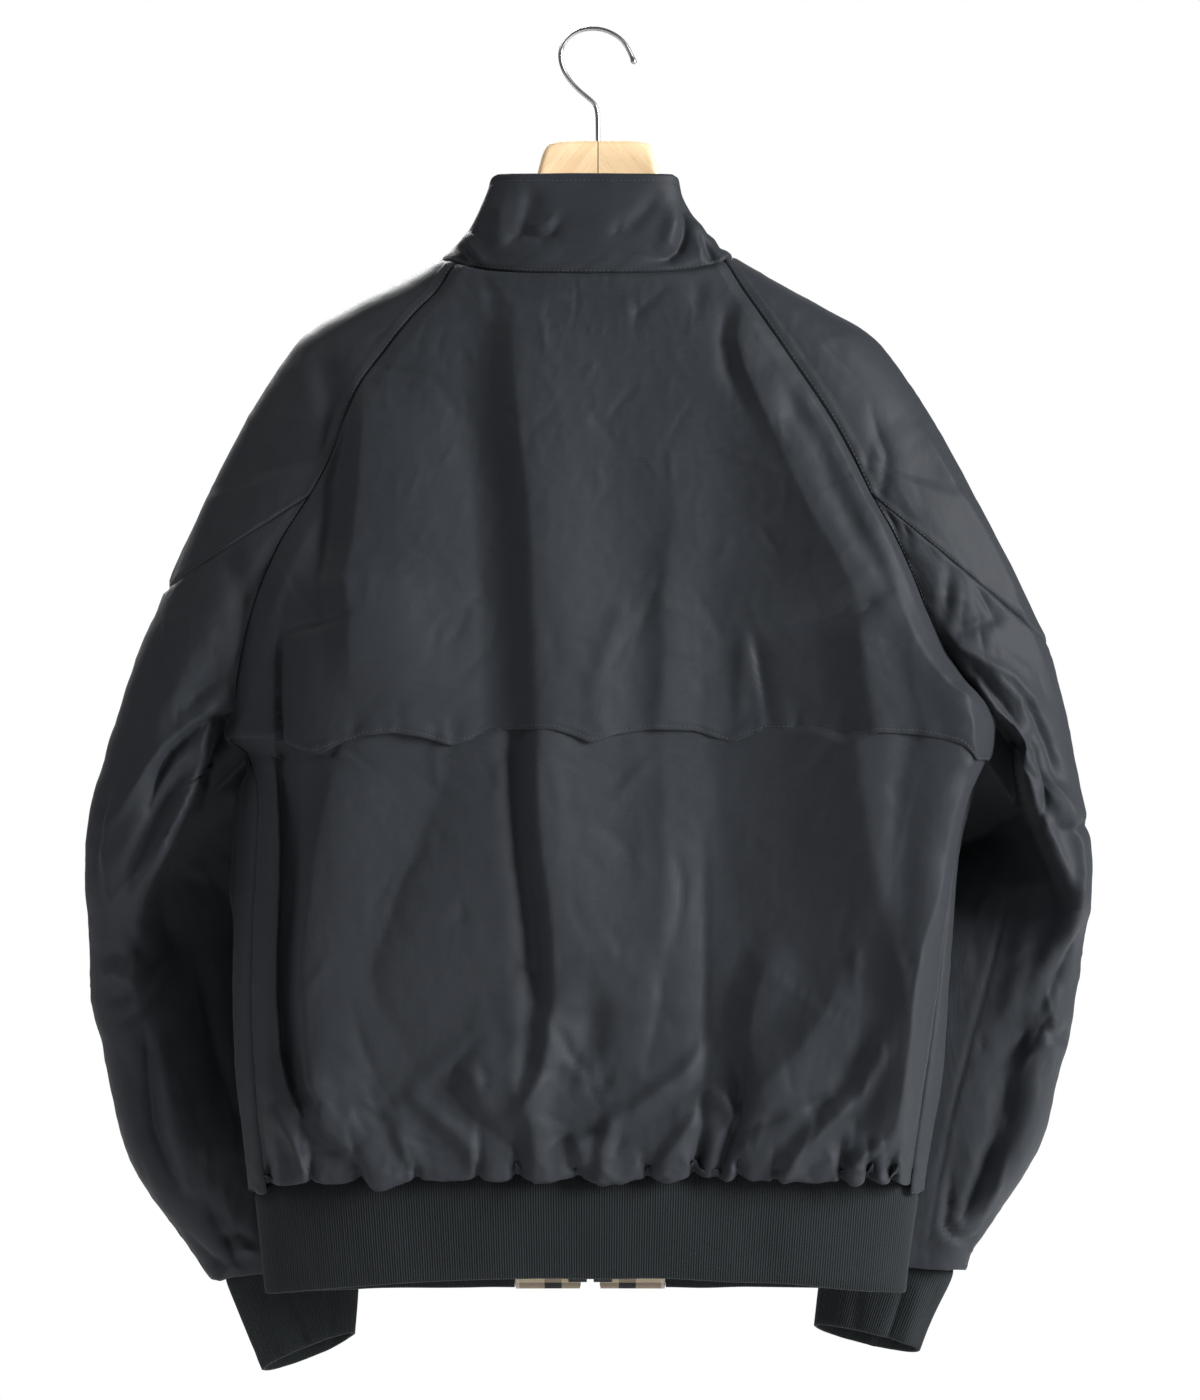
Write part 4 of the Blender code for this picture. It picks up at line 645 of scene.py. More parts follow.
# ---------------------------------------------------------------- creases of the sleeves
SLEEVE_STROKES = {
    "l": (
        ("cap hollow", "s", -4, 12, 18, ((316, 345, 0), (325, 375, .9), (331, 405, 1), (331, 435, .9), (326, 462, .2))),
        ("cap crease", "c", -1.3, 5, 5, ((367, 345, 0), (378, 336, 1), (396, 327, 0))),
        ("shoulder crest", "s", 2, 10, 14, ((305, 330, 0), (308, 360, 1), (300, 400, 0))),
        ("cross hollow", "s", -3, 14, 12, ((225, 540, 0), (236, 570, 1), (243, 600, .8), (240, 640, 0))),
        ("pucker", "c", -1.8, 4, 5, ((246, 582, .2), (249, 598, 1), (258, 600, .6), (266, 590, .1))),
        ("outer crease", "s", -4, 8, 12, ((166, 630, 0), (156, 660, 1), (146, 695, 1), (140, 725, .2))),
        ("outer crest", "c", 2.4, 6, 6, ((168, 590, 0), (168, 625, 1), (158, 652, .2))),
        ("upper dark", "s", -6, 14, 10, ((236, 670, .1), (216, 680, .8), (199, 695, 1), (181, 716, .6), (166, 740, 0))),
        ("crest over the groove", "c", 5, 7, 7, ((232, 706, .1), (207, 714, .8), (184, 727, 1), (163, 746, 1), (146, 770, 1), (128, 800, .8), (108, 832, .3))),
        ("groove", "c", -9, 8, 8, ((238, 718, .2), (222, 719, 1), (201, 727, 1), (185, 738, 1), (170, 752, 1), (157, 775, .9), (147, 808, .4))),
        ("rim crest", "c", 5, 7, 7, ((216, 740, .3), (203, 750, .8), (200, 772, 1), (193, 792, 1), (178, 818, 1), (164, 845, 1), (152, 866, .8), (138, 888, .4))),
        ("inner groove", "s", -6, 9, 9, ((190, 762, .2), (178, 778, .9), (164, 800, 1), (149, 830, 1), (134, 862, .8), (124, 890, .3))),
        ("outer long crest", "c", 3.4, 8, 8, ((130, 760, 0), (112, 800, 1), (104, 850, 1), (108, 890, .6), (116, 915, 0))),
        ("outer long groove", "c", -3, 7, 7, ((120, 770, 0), (103, 812, 1), (96, 860, .8), (97, 900, 0))),
        ("crumple a", "c", -3.2, 5, 7, ((100, 960, .2), (112, 956, 1), (124, 958, 1), (136, 950, .4))),
        ("crumple b", "c", 2.8, 5, 5, ((100, 978, .2), (114, 972, 1), (128, 978, .8), (134, 992, .2))),
        ("crumple c", "c", -2.8, 5, 6, ((104, 996, .2), (116, 1000, 1), (128, 996, 1), (140, 976, .2))),
        ("elbow groove", "s", -5, 8, 10, ((118, 920, .3), (132, 940, 1), (146, 962, 1), (140, 984, .4))),
        ("lower groove", "c", -4, 7, 9, ((114, 1026, .2), (128, 1020, .8), (142, 1012, 1), (155, 992, .8), (165, 972, .2))),
        ("long lower crease", "c", -6, 9, 14, ((143, 1018, 0), (147, 1050, .9), (149, 1090, 1), (153, 1130, 1), (166, 1164, .8), (182, 1196, .3))),
        ("crest by it", "s", 4, 9, 18, ((160, 1030, 0), (166, 1080, 1), (172, 1130, 1), (188, 1180, .5))),
        ("outer lower crest", "s", 3, 14, 9, ((118, 1060, 0), (128, 1110, 1), (142, 1160, .8), (165, 1210, .2))),
        ("end tuck a", "c", -4.5, 5, 6, ((252, 1240, .2), (240, 1236, .9), (228, 1240, 1), (232, 1252, .9), (238, 1262, .4))),
        ("end tuck b", "c", 4, 5, 5, ((258, 1252, .2), (244, 1248, 1), (236, 1252, .8), (232, 1266, .8), (218, 1280, .3))),
        ("end tuck c", "c", -3.6, 5, 6, ((226, 1266, .4), (214, 1262, 1), (200, 1248, .6), (186, 1232, .1))),
        ("end hollow", "s", -4, 10, 12, ((200, 1190, 0), (214, 1216, 1), (224, 1236, .5))),
        ("recess fold", "s", -5, 12, 12, ((196, 930, 0), (206, 1000, 1), (218, 1070, .8), (230, 1130, 0))),
        ("underarm seam", "c", -1.0, 2.6, 2.6, ((188, 930, .3), (196, 980, 1), (210, 1030, 1), (226, 1080, 1), (238, 1120, 1), (246, 1180, .8))),
    ),
    "r": (
        ("cap wrinkle", "c", -2.4, 6, 6, ((870, 402, .1), (878, 432, .9), (887, 455, 1), (885, 478, 1), (878, 500, .6))),
        ("cap wrinkle 2", "c", -1.3, 5, 5, ((872, 440, .1), (868, 462, 1), (860, 478, .2))),
        ("pucker 1", "c", -1.8, 4, 4, ((884, 504, .2), (892, 520, 1), (899, 541, .3))),
        ("pucker 2", "c", -1.6, 4, 4, ((900, 505, .2), (906, 525, 1), (909, 546, .3))),
        ("pucker 3", "c", -1.4, 4, 4, ((878, 512, .2), (884, 530, 1), (889, 548, .3))),
        ("rim crest upper", "c", 4.5, 9, 6, ((918, 420, 0), (930, 445, .7), (948, 480, 1), (971, 514, 1), (992, 551, 1), (1011, 590, .9), (1036, 648, .6), (1056, 696, .2))),
        ("upright crease", "s", -3.6, 7, 7, ((952, 560, 0), (948, 590, 1), (943, 622, .3))),
        ("triangle a", "c", -3.4, 6, 9, ((952, 636, .3), (962, 628, 1), (978, 623, 1), (996, 619, .7))),
        ("triangle b", "c", -2.4, 5, 5, ((974, 578, .2), (985, 600, 1), (996, 618, .7))),
        ("outer seam crease", "c", -1.6, 4, 5, ((1010, 600, .2), (1024, 615, 1), (1044, 640, .6))),
        ("bulge", "c", 5.5, 7, 9, ((946, 630, .2), (962, 648, .8), (985, 662, 1), (1012, 678, 1), (1034, 704, 1), (1050, 735, .8), (1064, 770, .3))),
        ("groove under the bulge", "c", -7, 7, 8, ((1016, 690, .2), (1036, 716, 1), (1052, 748, 1), (1060, 780, .5))),
        ("groove by the armpit", "c", -6, 8, 6, ((972, 668, .2), (990, 688, .8), (1008, 706, 1), (1018, 722, .5))),
        ("armpit pleat", "c", 3, 5, 5, ((980, 662, .2), (1000, 682, 1), (1020, 700, 1), (1030, 720, .4))),
        ("near wall groove", "c", -6, 6, 7, ((1026, 732, .2), (1040, 752, 1), (1047, 780, 1), (1045, 806, .7), (1034, 832, .3))),
        ("near wall crest", "c", 6, 7, 8, ((1052, 776, .2), (1068, 810, 1), (1077, 840, 1), (1080, 872, .8), (1077, 905, .5))),
        ("near wall crest 2", "c", 5, 6, 6, ((1022, 742, .4), (1028, 766, 1), (1036, 800, 1), (1050, 832, 1), (1064, 868, 1), (1074, 905, .5))),
        ("notch", "c", -5, 6, 7, ((1092, 822, .6), (1078, 828, 1), (1062, 830, .6), (1050, 822, .1))),
        ("lower crease 1", "c", -6, 8, 12, ((1086, 925, .3), (1072, 955, 1), (1056, 982, 1), (1042, 1006, .4))),
        ("crest by it", "s", 4, 10, 12, ((1060, 920, 0), (1048, 955, 1), (1034, 985, .6))),
        ("lower crease 2", "c", -5, 7, 8, ((1076, 1042, .6), (1062, 1036, 1), (1042, 1030, .9), (1026, 1034, 1), (1012, 1054, .4))),
        ("crest 3", "c", 3.5, 6, 7, ((1066, 1046, .2), (1046, 1044, 1), (1030, 1052, .8), (1018, 1076, .2))),
        ("soft hollow", "s", -5, 16, 16, ((1024, 1000, 0), (1012, 1060, .8), (1002, 1110, 1), (992, 1150, .4))),
        ("soft crest", "s", 4, 14, 18, ((1048, 1050, 0), (1036, 1100, 1), (1020, 1150, .8), (1004, 1190, 0))),
        ("end crease a", "c", -5.5, 6, 9, ((996, 1135, .2), (985, 1160, 1), (975, 1190, 1), (966, 1216, .8))),
        ("end crest a", "c", 4, 6, 8, ((1008, 1150, .2), (998, 1180, 1), (984, 1210, .6))),
        ("end crease b", "c", -4.5, 5, 6, ((944, 1224, .4), (954, 1236, 1), (970, 1242, 1), (986, 1238, .4))),
        ("end crease c", "c", -3.4, 5, 6, ((950, 1170, .2), (948, 1196, 1), (946, 1222, .8))),
        ("underarm seam", "c", -1.0, 2.6, 2.6, ((1014, 872, .3), (1000, 930, 1), (985, 985, 1), (970, 1040, 1), (952, 1110, 1), (938, 1180, 1), (929, 1238, 1))),
        ("recess crest", "s", 3.5, 12, 12, ((1030, 900, 0), (1022, 960, 1), (1008, 1010, .6))),
    ),
}
# the near wall of each sleeve stands over a recess beside the body: its edge line down the frame, and the recess's
# share of the full depth by height in the frame
SHELF = {
    "l": ((240, 708), (224, 720), (211, 735), (204, 748), (201, 765), (196, 788), (184, 815), (168, 842), (155, 868),
          (146, 895), (142, 922), (146, 950), (154, 985), (160, 1030), (168, 1090), (180, 1150)),
    "r": ((983, 708), (1000, 717), (1013, 727), (1022, 742), (1021, 768), (1029, 805), (1040, 835), (1054, 868),
          (1066, 905), (1070, 940), (1064, 980), (1052, 1030), (1036, 1090), (1020, 1150)),
}
SHELF_SHARE = {
    "l": ((705, 0), (722, .5), (745, 1), (880, 1), (930, .85), (980, .65), (1040, .4), (1100, .16), (1150, 0)),
    "r": ((705, 0), (722, .5), (745, 1), (815, 1), (845, .7), (885, .32), (920, .12), (960, 0), (1040, 0), (1110, 0)),
}
SHELF_DEPTH = 52.0

COLLAR_STROKES = (
    ("left dark groove", "c", -2.97, 6, 7, ((506, 246, .2), (514, 238, .8), (522, 233, 1), (532, 236, 1), (542, 238, 1), (552, 234, .9), (560, 222, .3))),
    ("crest over it", "c", 1.98, 6, 6, ((524, 222, .2), (536, 227, 1), (548, 224, .9), (556, 212, .2))),
    ("left soft valley", "s", -2.64, 8, 12, ((534, 184, 0), (530, 200, .9), (525, 222, 1), (521, 234, .4))),
    ("left end crest", "s", 2.47, 12, 10, ((506, 184, 0), (500, 210, 1), (498, 235, .8), (504, 255, 0))),
    ("base crease left", "c", -4.95, 5, 6, ((452, 238, .6), (458, 246, 1), (466, 256, 1), (474, 266, .3))),
    ("base crest left", "c", 2.47, 5, 5, ((466, 238, .2), (474, 250, 1), (484, 262, .3))),
    ("edge nick left", "c", -2.47, 4, 5, ((464, 226, .4), (472, 232, 1), (482, 240, .2))),
    ("hooked fold", "c", -5.78, 7, 6, ((692, 196, .5), (689, 208, 1), (688, 222, 1), (686, 236, 1), (680, 250, 1), (670, 258, .8), (656, 261, .2))),
    ("crest of the hook", "s", 3.30, 9, 7, ((676, 200, 0), (673, 222, 1), (668, 244, .8), (655, 252, 0))),
    ("base crease right", "c", -4.54, 5, 5, ((703, 236, .5), (708, 246, 1), (713, 258, 1), (714, 268, .3))),
    ("base crest right", "c", 2.31, 5, 5, ((696, 236, .2), (699, 250, 1), (702, 264, .3))),
    ("diagonal valley", "s", -1.98, 8, 8, ((662, 190, 0), (648, 208, 1), (630, 226, .9), (614, 238, 0))),
    ("small top crease", "c", -1.32, 4, 4, ((604, 174, .4), (598, 182, 1), (593, 190, .2))),
    ("low crease", "c", -1.16, 5, 5, ((590, 258, 0), (620, 254, 1), (650, 256, .6), (662, 260, 0))),
    ("low crease 2", "c", -0.99, 5, 5, ((545, 262, 0), (565, 256, 1), (600, 258, .4))),
    ("middle crease", "c", -1.16, 4, 5, ((610, 240, .1), (617, 230, 1), (621, 218, .2))),
    ("soft swell", "s", 1.48, 26, 26, ((590, 190, .2), (600, 225, 1), (600, 255, .2))),
)


def add_recess(side, p, s, x, y, depth):
    """How far the rear wall of a sleeve lies sunk beside its near wall's edge. depth is the room to the front wall."""
    pts = np.array(SHELF[side], float)
    best, sign = np.full(x.shape, 1e9), np.zeros(x.shape)
    for k in range(len(pts) - 1):
        sx, sy = pts[k + 1] - pts[k]
        length = sx * sx + sy * sy
        t = np.clip(((x - pts[k, 0]) * sx + (y - pts[k, 1]) * sy) / length, 0, 1)
        dx, dy = x - pts[k, 0] - t * sx, y - pts[k, 1] - t * sy
        dist = np.hypot(dx, dy)
        closer = dist < best
        best = np.where(closer, dist, best)
        sign = np.where(closer, (sx * dy - sy * dx) / np.sqrt(length), sign)
    inward = -sign if side == "l" else sign
    ys, share = zip(*SHELF_SHARE[side])
    size = np.interp(y, ys, share)
    soft = 9.0 + 55.0 * step01((y - 860) / 160)
    gone = step01((inward + 0.35 * soft) / soft)
    rear = np.clip((0.5 - s) / 0.05, 0, 1)
    return np.minimum(SHELF_DEPTH * size * gone, 0.72 * depth) * rear


# ---------------------------------------------------------------- grids to meshes
def grid_normals(p, ref, weld_row=None):
    dr = np.gradient(p, axis=0)
    dc = np.gradient(p, axis=1)
    if weld_row is not None:
        across = (p[weld_row:, 1] - p[weld_row:, -2]) / 2
        dc[weld_row:, 0] = across
        dc[weld_row:, -1] = across
    n = np.cross(dr, dc)
    n /= np.maximum(np.linalg.norm(n, axis=-1, keepdims=True), 1e-9)
    if ((p - ref) * n).sum() < 0:
        n = -n
    if weld_row is not None:
        both = n[weld_row:, 0] + n[weld_row:, -1]
        both /= np.maximum(np.linalg.norm(both, axis=-1, keepdims=True), 1e-9)
        n[weld_row:, 0] = n[weld_row:, -1] = both
    return n


def lengths(p, axis):
    d = np.linalg.norm(np.diff(p, axis=axis), axis=-1)
    pad = np.zeros_like(np.take(d, [0], axis=axis))
    return np.concatenate([pad, np.cumsum(d, axis=axis)], axis=axis)


def cloth_area(p):
    a = np.linalg.norm(np.cross(p[1:, :-1] - p[:-1, :-1], p[:-1, 1:] - p[:-1, :-1]), axis=-1)
    b = np.linalg.norm(np.cross(p[1:, :-1] - p[1:, 1:], p[:-1, 1:] - p[1:, 1:]), axis=-1)
    return float((a.sum() + b.sum()) / 2)


def world(p):
    return np.stack([-p[..., 0], p[..., 1], p[..., 2]], -1) * MM


def sheet_mesh(name, p, n, wall, material, uv=None, lining=None, lined=None):
    """Closed thin shell from the outer points p with outward normals n. Its rims are rounded by one row of points. The
    lining shows inside on the points that lined names, where the cloth isn't drawn into a sharp crease."""
    rows, cols = p.shape[:2]
    inner_p = p - n * wall
    outer = world(p).reshape(-1, 3)
    inner = world(inner_p).reshape(-1, 3)
    count = rows * cols
    ids = np.arange(count).reshape(rows, cols)
    a, b, c, e = (g.ravel() for g in (ids[:-1, :-1], ids[:-1, 1:], ids[1:, 1:], ids[1:, :-1]))
    quads = np.stack([a, b, c, e], -1)
    nw = (np.stack([-n[..., 0], n[..., 1], n[..., 2]], -1)).reshape(-1, 3)
    face = np.cross(outer[quads[:, 1]] - outer[quads[:, 0]], outer[quads[:, 2]] - outer[quads[:, 0]])
    if (face * nw[quads[:, 0]]).sum() < 0:
        quads = quads[:, ::-1]
        forward = False
    else:
        forward = True
    loop = np.concatenate([ids[0, :-1], ids[:-1, -1], ids[-1, :0:-1], ids[:0:-1, 0]])
    if not forward:
        loop = loop[::-1]
    # the rim's middle row stands out a little along the surface
    flat_p, flat_i = p.reshape(-1, 3), inner_p.reshape(-1, 3)
    away = np.zeros((rows, cols, 3))
    away[0] += p[0] - p[1]
    away[-1] += p[-1] - p[-2]
    away[:, 0] += (p[:, 0] - p[:, 1]) * np.where(np.arange(rows) % rows >= 0, 1, 1)[:, None]
    away[:, -1] += p[:, -1] - p[:, -2]
    away /= np.maximum(np.linalg.norm(away, axis=-1, keepdims=True), 1e-9)
    mid = (flat_p + flat_i) / 2 + away.reshape(-1, 3) * wall * 0.3
    mid_w = world(mid)[loop]
    m0 = 2 * count
    k = len(loop)
    nxt = np.roll(np.arange(k), -1)
    rim_a = np.stack([loop[nxt], loop, m0 + np.arange(k), m0 + nxt], -1)
    rim_b = np.stack([m0 + nxt, m0 + np.arange(k), loop + count, loop[nxt] + count], -1)
    faces = np.concatenate([quads, quads[:, ::-1] + count, rim_a, rim_b])
    verts = np.concatenate([outer, inner, mid_w])
    mesh = bpy.data.meshes.new(name)
    mesh.vertices.add(len(verts))
    mesh.vertices.foreach_set("co", verts.astype(np.float32).ravel())
    mesh.loops.add(faces.size)
    mesh.loops.foreach_set("vertex_index", faces.astype(np.int32).ravel())
    mesh.polygons.add(len(faces))
    mesh.polygons.foreach_set("loop_start", np.arange(0, faces.size, 4, dtype=np.int32))
    mesh.polygons.foreach_set("loop_total", np.full(len(faces), 4, np.int32))
    if uv is None:
        uv = np.stack([lengths(p, 1) * MM, lengths(p, 0) * MM], -1)
    flat_uv = uv.reshape(-1, 2)
    all_uv = np.concatenate([flat_uv, flat_uv, flat_uv[loop]])
    layer = mesh.uv_layers.new(name="cloth")
    layer.data.foreach_set("uv", all_uv[faces.ravel()].astype(np.float32).ravel())
    mesh.materials.append(material)
    if lining is not None:
        mesh.materials.append(lining)
        index = np.zeros(len(faces), np.int32)
        inside = face / np.maximum(np.linalg.norm(face, axis=1, keepdims=True), 1e-12)
        smooth_run = (np.abs((inside * nw[a]).sum(1)) > 0.86).reshape(rows - 1, cols - 1)
        for _ in range(6):
            grown = np.pad(smooth_run, 1, mode="edge")
            smooth_run = grown[:-2, 1:-1] & grown[2:, 1:-1] & grown[1:-1, :-2] & grown[1:-1, 2:] & grown[1:-1, 1:-1]
        smooth_run = smooth_run.ravel()
        index[len(quads):2 * len(quads)] = smooth_run & (np.ones(count, bool) if lined is None else lined.ravel())[a]
        mesh.polygons.foreach_set("material_index", index)
    mesh.update(calc_edges=True)
    mesh.validate()
    mesh.shade_smooth()
    obj = bpy.data.objects.new(name, mesh)
    PIECES.objects.link(obj)
    return obj


def allowance(p, n, rows_open, reach=(4.5, 9.0), drop=(2.2, 3.2)):
    """Adds the seam allowance at both side edges, turned in under the neighbouring piece."""
    ends = []
    for edge, step, reach_e, drop_e in ((0, 3, reach[0], drop[0]), (-1, -4, reach[1], drop[1])):
        way = p[:, edge] - p[:, step]
        way /= np.maximum(np.linalg.norm(way, axis=-1, keepdims=True), 1e-9)
        ends.append(p[:, edge] + way * (reach_e * rows_open[:, None]) - n[:, edge] * (0.9 + (drop_e - 0.9) * rows_open[:, None]))
    q = np.concatenate([ends[0][:, None], p, ends[1][:, None]], axis=1)
    m = np.concatenate([n[:, :1], n, n[:, -1:]], axis=1)
    return q, m


# ---------------------------------------------------------------- materials
def material(name, colour, rough, metal=0.0, **extra):
    mat = bpy.data.materials.new(name)
    mat.use_nodes = True
    nt = mat.node_tree
    bsdf = nt.nodes["Principled BSDF"]
    bsdf.inputs["Base Color"].default_value = (*colour, 1)
    bsdf.inputs["Roughness"].default_value = rough
    bsdf.inputs["Metallic"].default_value = metal
    for key, value in extra.items():
        bsdf.inputs[key.replace("_", " ")].default_value = value
    return mat, nt, bsdf


def node(nt, kind, **values):
    n = nt.nodes.new(kind)
    for key, value in values.items():
        if key in n.inputs:
            n.inputs[key].default_value = value
        else:
            setattr(n, key, value)
    return n


def math_node(nt, op, a, b=None, c=None):
    n = nt.nodes.new("ShaderNodeMath")
    n.operation = op
    for i, v in enumerate((a, b, c)):
        if v is None:
            continue
        if isinstance(v, (int, float)):
            n.inputs[i].default_value = v
        else:
            nt.links.new(v, n.inputs[i])
    return n.outputs[0]


def noise_of(nt, vector, scale, detail=2.0, rough=0.5, stretch=(1, 1, 1)):
    m = node(nt, "ShaderNodeMapping")
    m.inputs["Scale"].default_value = stretch
    nt.links.new(vector, m.inputs["Vector"])
    n = node(nt, "ShaderNodeTexNoise")
    n.inputs["Scale"].default_value = scale
    n.inputs["Detail"].default_value = detail
    n.inputs["Roughness"].default_value = rough
    nt.links.new(m.outputs[0], n.inputs["Vector"])
    return n.outputs["Fac"]


def uv_of(nt):
    return node(nt, "ShaderNodeUVMap", uv_map="cloth").outputs[0]


def mix_colour(nt, fac, a, b):
    m = node(nt, "ShaderNodeMix", data_type="RGBA")
    sock = [i for i in m.inputs if i.type == "RGBA"]
    for s, v in zip(sock, (a, b)):
        if isinstance(v, tuple):
            s.default_value = (*v, 1)
        else:
            nt.links.new(v, s)
    nt.links.new(fac, m.inputs[0])
    return [o for o in m.outputs if o.type == "RGBA"][0]


def bump(nt, bsdf, height, distance, strength=1.0, chain=None):
    b = node(nt, "ShaderNodeBump")
    b.inputs["Distance"].default_value = distance
    b.inputs["Strength"].default_value = strength
    nt.links.new(height, b.inputs["Height"])
    if chain is not None:
        nt.links.new(chain, b.inputs["Normal"])
    return b.outputs["Normal"]


def shell_material(name, colour, gain=1.0):
    mat, nt, bsdf = material(name, colour, 0.6, Sheen_Weight=0.03, Sheen_Roughness=0.4, Specular_IOR_Level=0.14)
    uv = uv_of(nt)
    weft = noise_of(nt, uv, 1.0, 2, 0.5, (45, 1500, 1))
    warp = noise_of(nt, uv, 1.0, 2, 0.5, (1300, 40, 1))
    blotch = noise_of(nt, uv, 9.0, 3, 0.55)
    mixv = math_node(nt, "ADD", math_node(nt, "MULTIPLY", weft, 0.62), math_node(nt, "MULTIPLY", warp, 0.38))
    shade = math_node(nt, "ADD", math_node(nt, "MULTIPLY", mixv, 0.8), math_node(nt, "MULTIPLY", blotch, 0.2))
    ramp = node(nt, "ShaderNodeMapRange")
    ramp.inputs["From Min"].default_value = 0.3
    ramp.inputs["From Max"].default_value = 0.7
    nt.links.new(shade, ramp.inputs["Value"])
    dark = tuple(c * 0.84 * gain for c in colour)
    light = tuple(c * 1.16 * gain for c in colour)
    nt.links.new(mix_colour(nt, ramp.outputs[0], dark, light), bsdf.inputs["Base Color"])
    rough = math_node(nt, "MULTIPLY_ADD", weft, 0.14, 0.52)
    nt.links.new(rough, bsdf.inputs["Roughness"])
    # plain weave and the small crinkle of cloth that has been folded
    w1 = node(nt, "ShaderNodeTexWave", wave_type="BANDS", bands_direction="X")
    w1.inputs["Scale"].default_value = 1150
    w2 = node(nt, "ShaderNodeTexWave", wave_type="BANDS", bands_direction="Y")
    w2.inputs["Scale"].default_value = 1000
    for w in (w1, w2):
        nt.links.new(uv, w.inputs["Vector"])
    weave = math_node(nt, "MULTIPLY", w1.outputs["Fac"], w2.outputs["Fac"])
    thread = math_node(nt, "ADD", math_node(nt, "MULTIPLY", weave, 0.5), mixv)
    n1 = bump(nt, bsdf, thread, 0.00005, 0.6)
    crinkle = noise_of(nt, uv, 95.0, 3, 0.5, (1.0, 0.8, 1))
    ridge = math_node(nt, "ABSOLUTE", math_node(nt, "SUBTRACT", crinkle, 0.5))
    n2 = bump(nt, bsdf, ridge, 0.0010, 0.28, n1)
    nt.links.new(n2, bsdf.inputs["Normal"])
    return mat


def rib_material(name, colour, pitch):
    """UV x counts ribs; y is in metres."""
    mat, nt, bsdf = material(name, colour, 0.9, Sheen_Weight=0.05, Sheen_Roughness=0.6, Specular_IOR_Level=0.08)
    uv = uv_of(nt)
    sep = node(nt, "ShaderNodeSeparateXYZ")
    nt.links.new(uv, sep.inputs[0])
    wave = math_node(nt, "COSINE", math_node(nt, "MULTIPLY", sep.outputs[0], 2 * math.pi))
    course = math_node(nt, "SINE", math_node(nt, "MULTIPLY", sep.outputs[1], 2 * math.pi / 0.0013))
    fuzz = noise_of(nt, uv, 1.0, 3, 0.6, (0.9, 900, 1))
    blotch = noise_of(nt, uv, 1.0, 3, 0.6, (0.03, 14, 1))
    # painted shade and highlight: the colour is darker in the grooves between the ribs and courses and lighter on their
    # crests, following the same waves as the bump, with a random fuzz and blotch tone on top
    level = math_node(nt, "MULTIPLY_ADD", wave, 0.34, 0.5)
    level = math_node(nt, "ADD", level, math_node(nt, "MULTIPLY", math_node(nt, "SUBTRACT", fuzz, 0.5), 0.7))
    level = math_node(nt, "ADD", level, math_node(nt, "MULTIPLY", math_node(nt, "SUBTRACT", blotch, 0.5), 0.35))
    level = math_node(nt, "ADD", level, math_node(nt, "MULTIPLY", course, 0.05))
    ramp = node(nt, "ShaderNodeMapRange")
    nt.links.new(level, ramp.inputs["Value"])
    nt.links.new(mix_colour(nt, ramp.outputs[0], tuple(c * 0.62 for c in colour), tuple(c * 1.3 for c in colour)),
                 bsdf.inputs["Base Color"])
    h = math_node(nt, "ADD", math_node(nt, "MULTIPLY", wave, 0.5), math_node(nt, "MULTIPLY", course, 0.2))
    h = math_node(nt, "ADD", h, math_node(nt, "MULTIPLY", fuzz, 0.6))
    nt.links.new(bump(nt, bsdf, h, 0.00013, 0.7), bsdf.inputs["Normal"])
    return mat


def check_material(name):
    """Plain two-way check: dark and pale bands on a buff ground, in even repeats."""
    mat, nt, bsdf = material(name, (0.52, 0.43, 0.31), 0.8, Sheen_Weight=0.1, Specular_IOR_Level=0.25)
    uv = uv_of(nt)
    sep = node(nt, "ShaderNodeSeparateXYZ")
    nt.links.new(uv, sep.inputs[0])

    def band(axis, repeat, width, offset=0.0):
        f = math_node(nt, "FRACT", math_node(nt, "MULTIPLY_ADD", sep.outputs[axis], 1 / repeat, offset))
        return math_node(nt, "LESS_THAN", math_node(nt, "ABSOLUTE", math_node(nt, "SUBTRACT", f, 0.5)), width / repeat / 2)

    dark = math_node(nt, "MULTIPLY", math_node(nt, "ADD", band(0, 0.048, 0.011), band(1, 0.048, 0.011)), 0.5)
    pale = math_node(nt, "MULTIPLY", math_node(nt, "ADD", band(0, 0.048, 0.0045, 0.5), band(1, 0.048, 0.0045, 0.5)), 0.5)
    warp = noise_of(nt, uv, 1.0, 2, 0.5, (1500, 60, 1))
    ground = mix_colour(nt, warp, (0.47, 0.38, 0.27), (0.57, 0.48, 0.35))
    c1 = mix_colour(nt, dark, ground, (0.030, 0.029, 0.031))
    c2 = mix_colour(nt, pale, c1, (0.68, 0.63, 0.55))
    nt.links.new(c2, bsdf.inputs["Base Color"])
    nt.links.new(bump(nt, bsdf, warp, 0.00006, 0.6), bsdf.inputs["Normal"])
    return mat


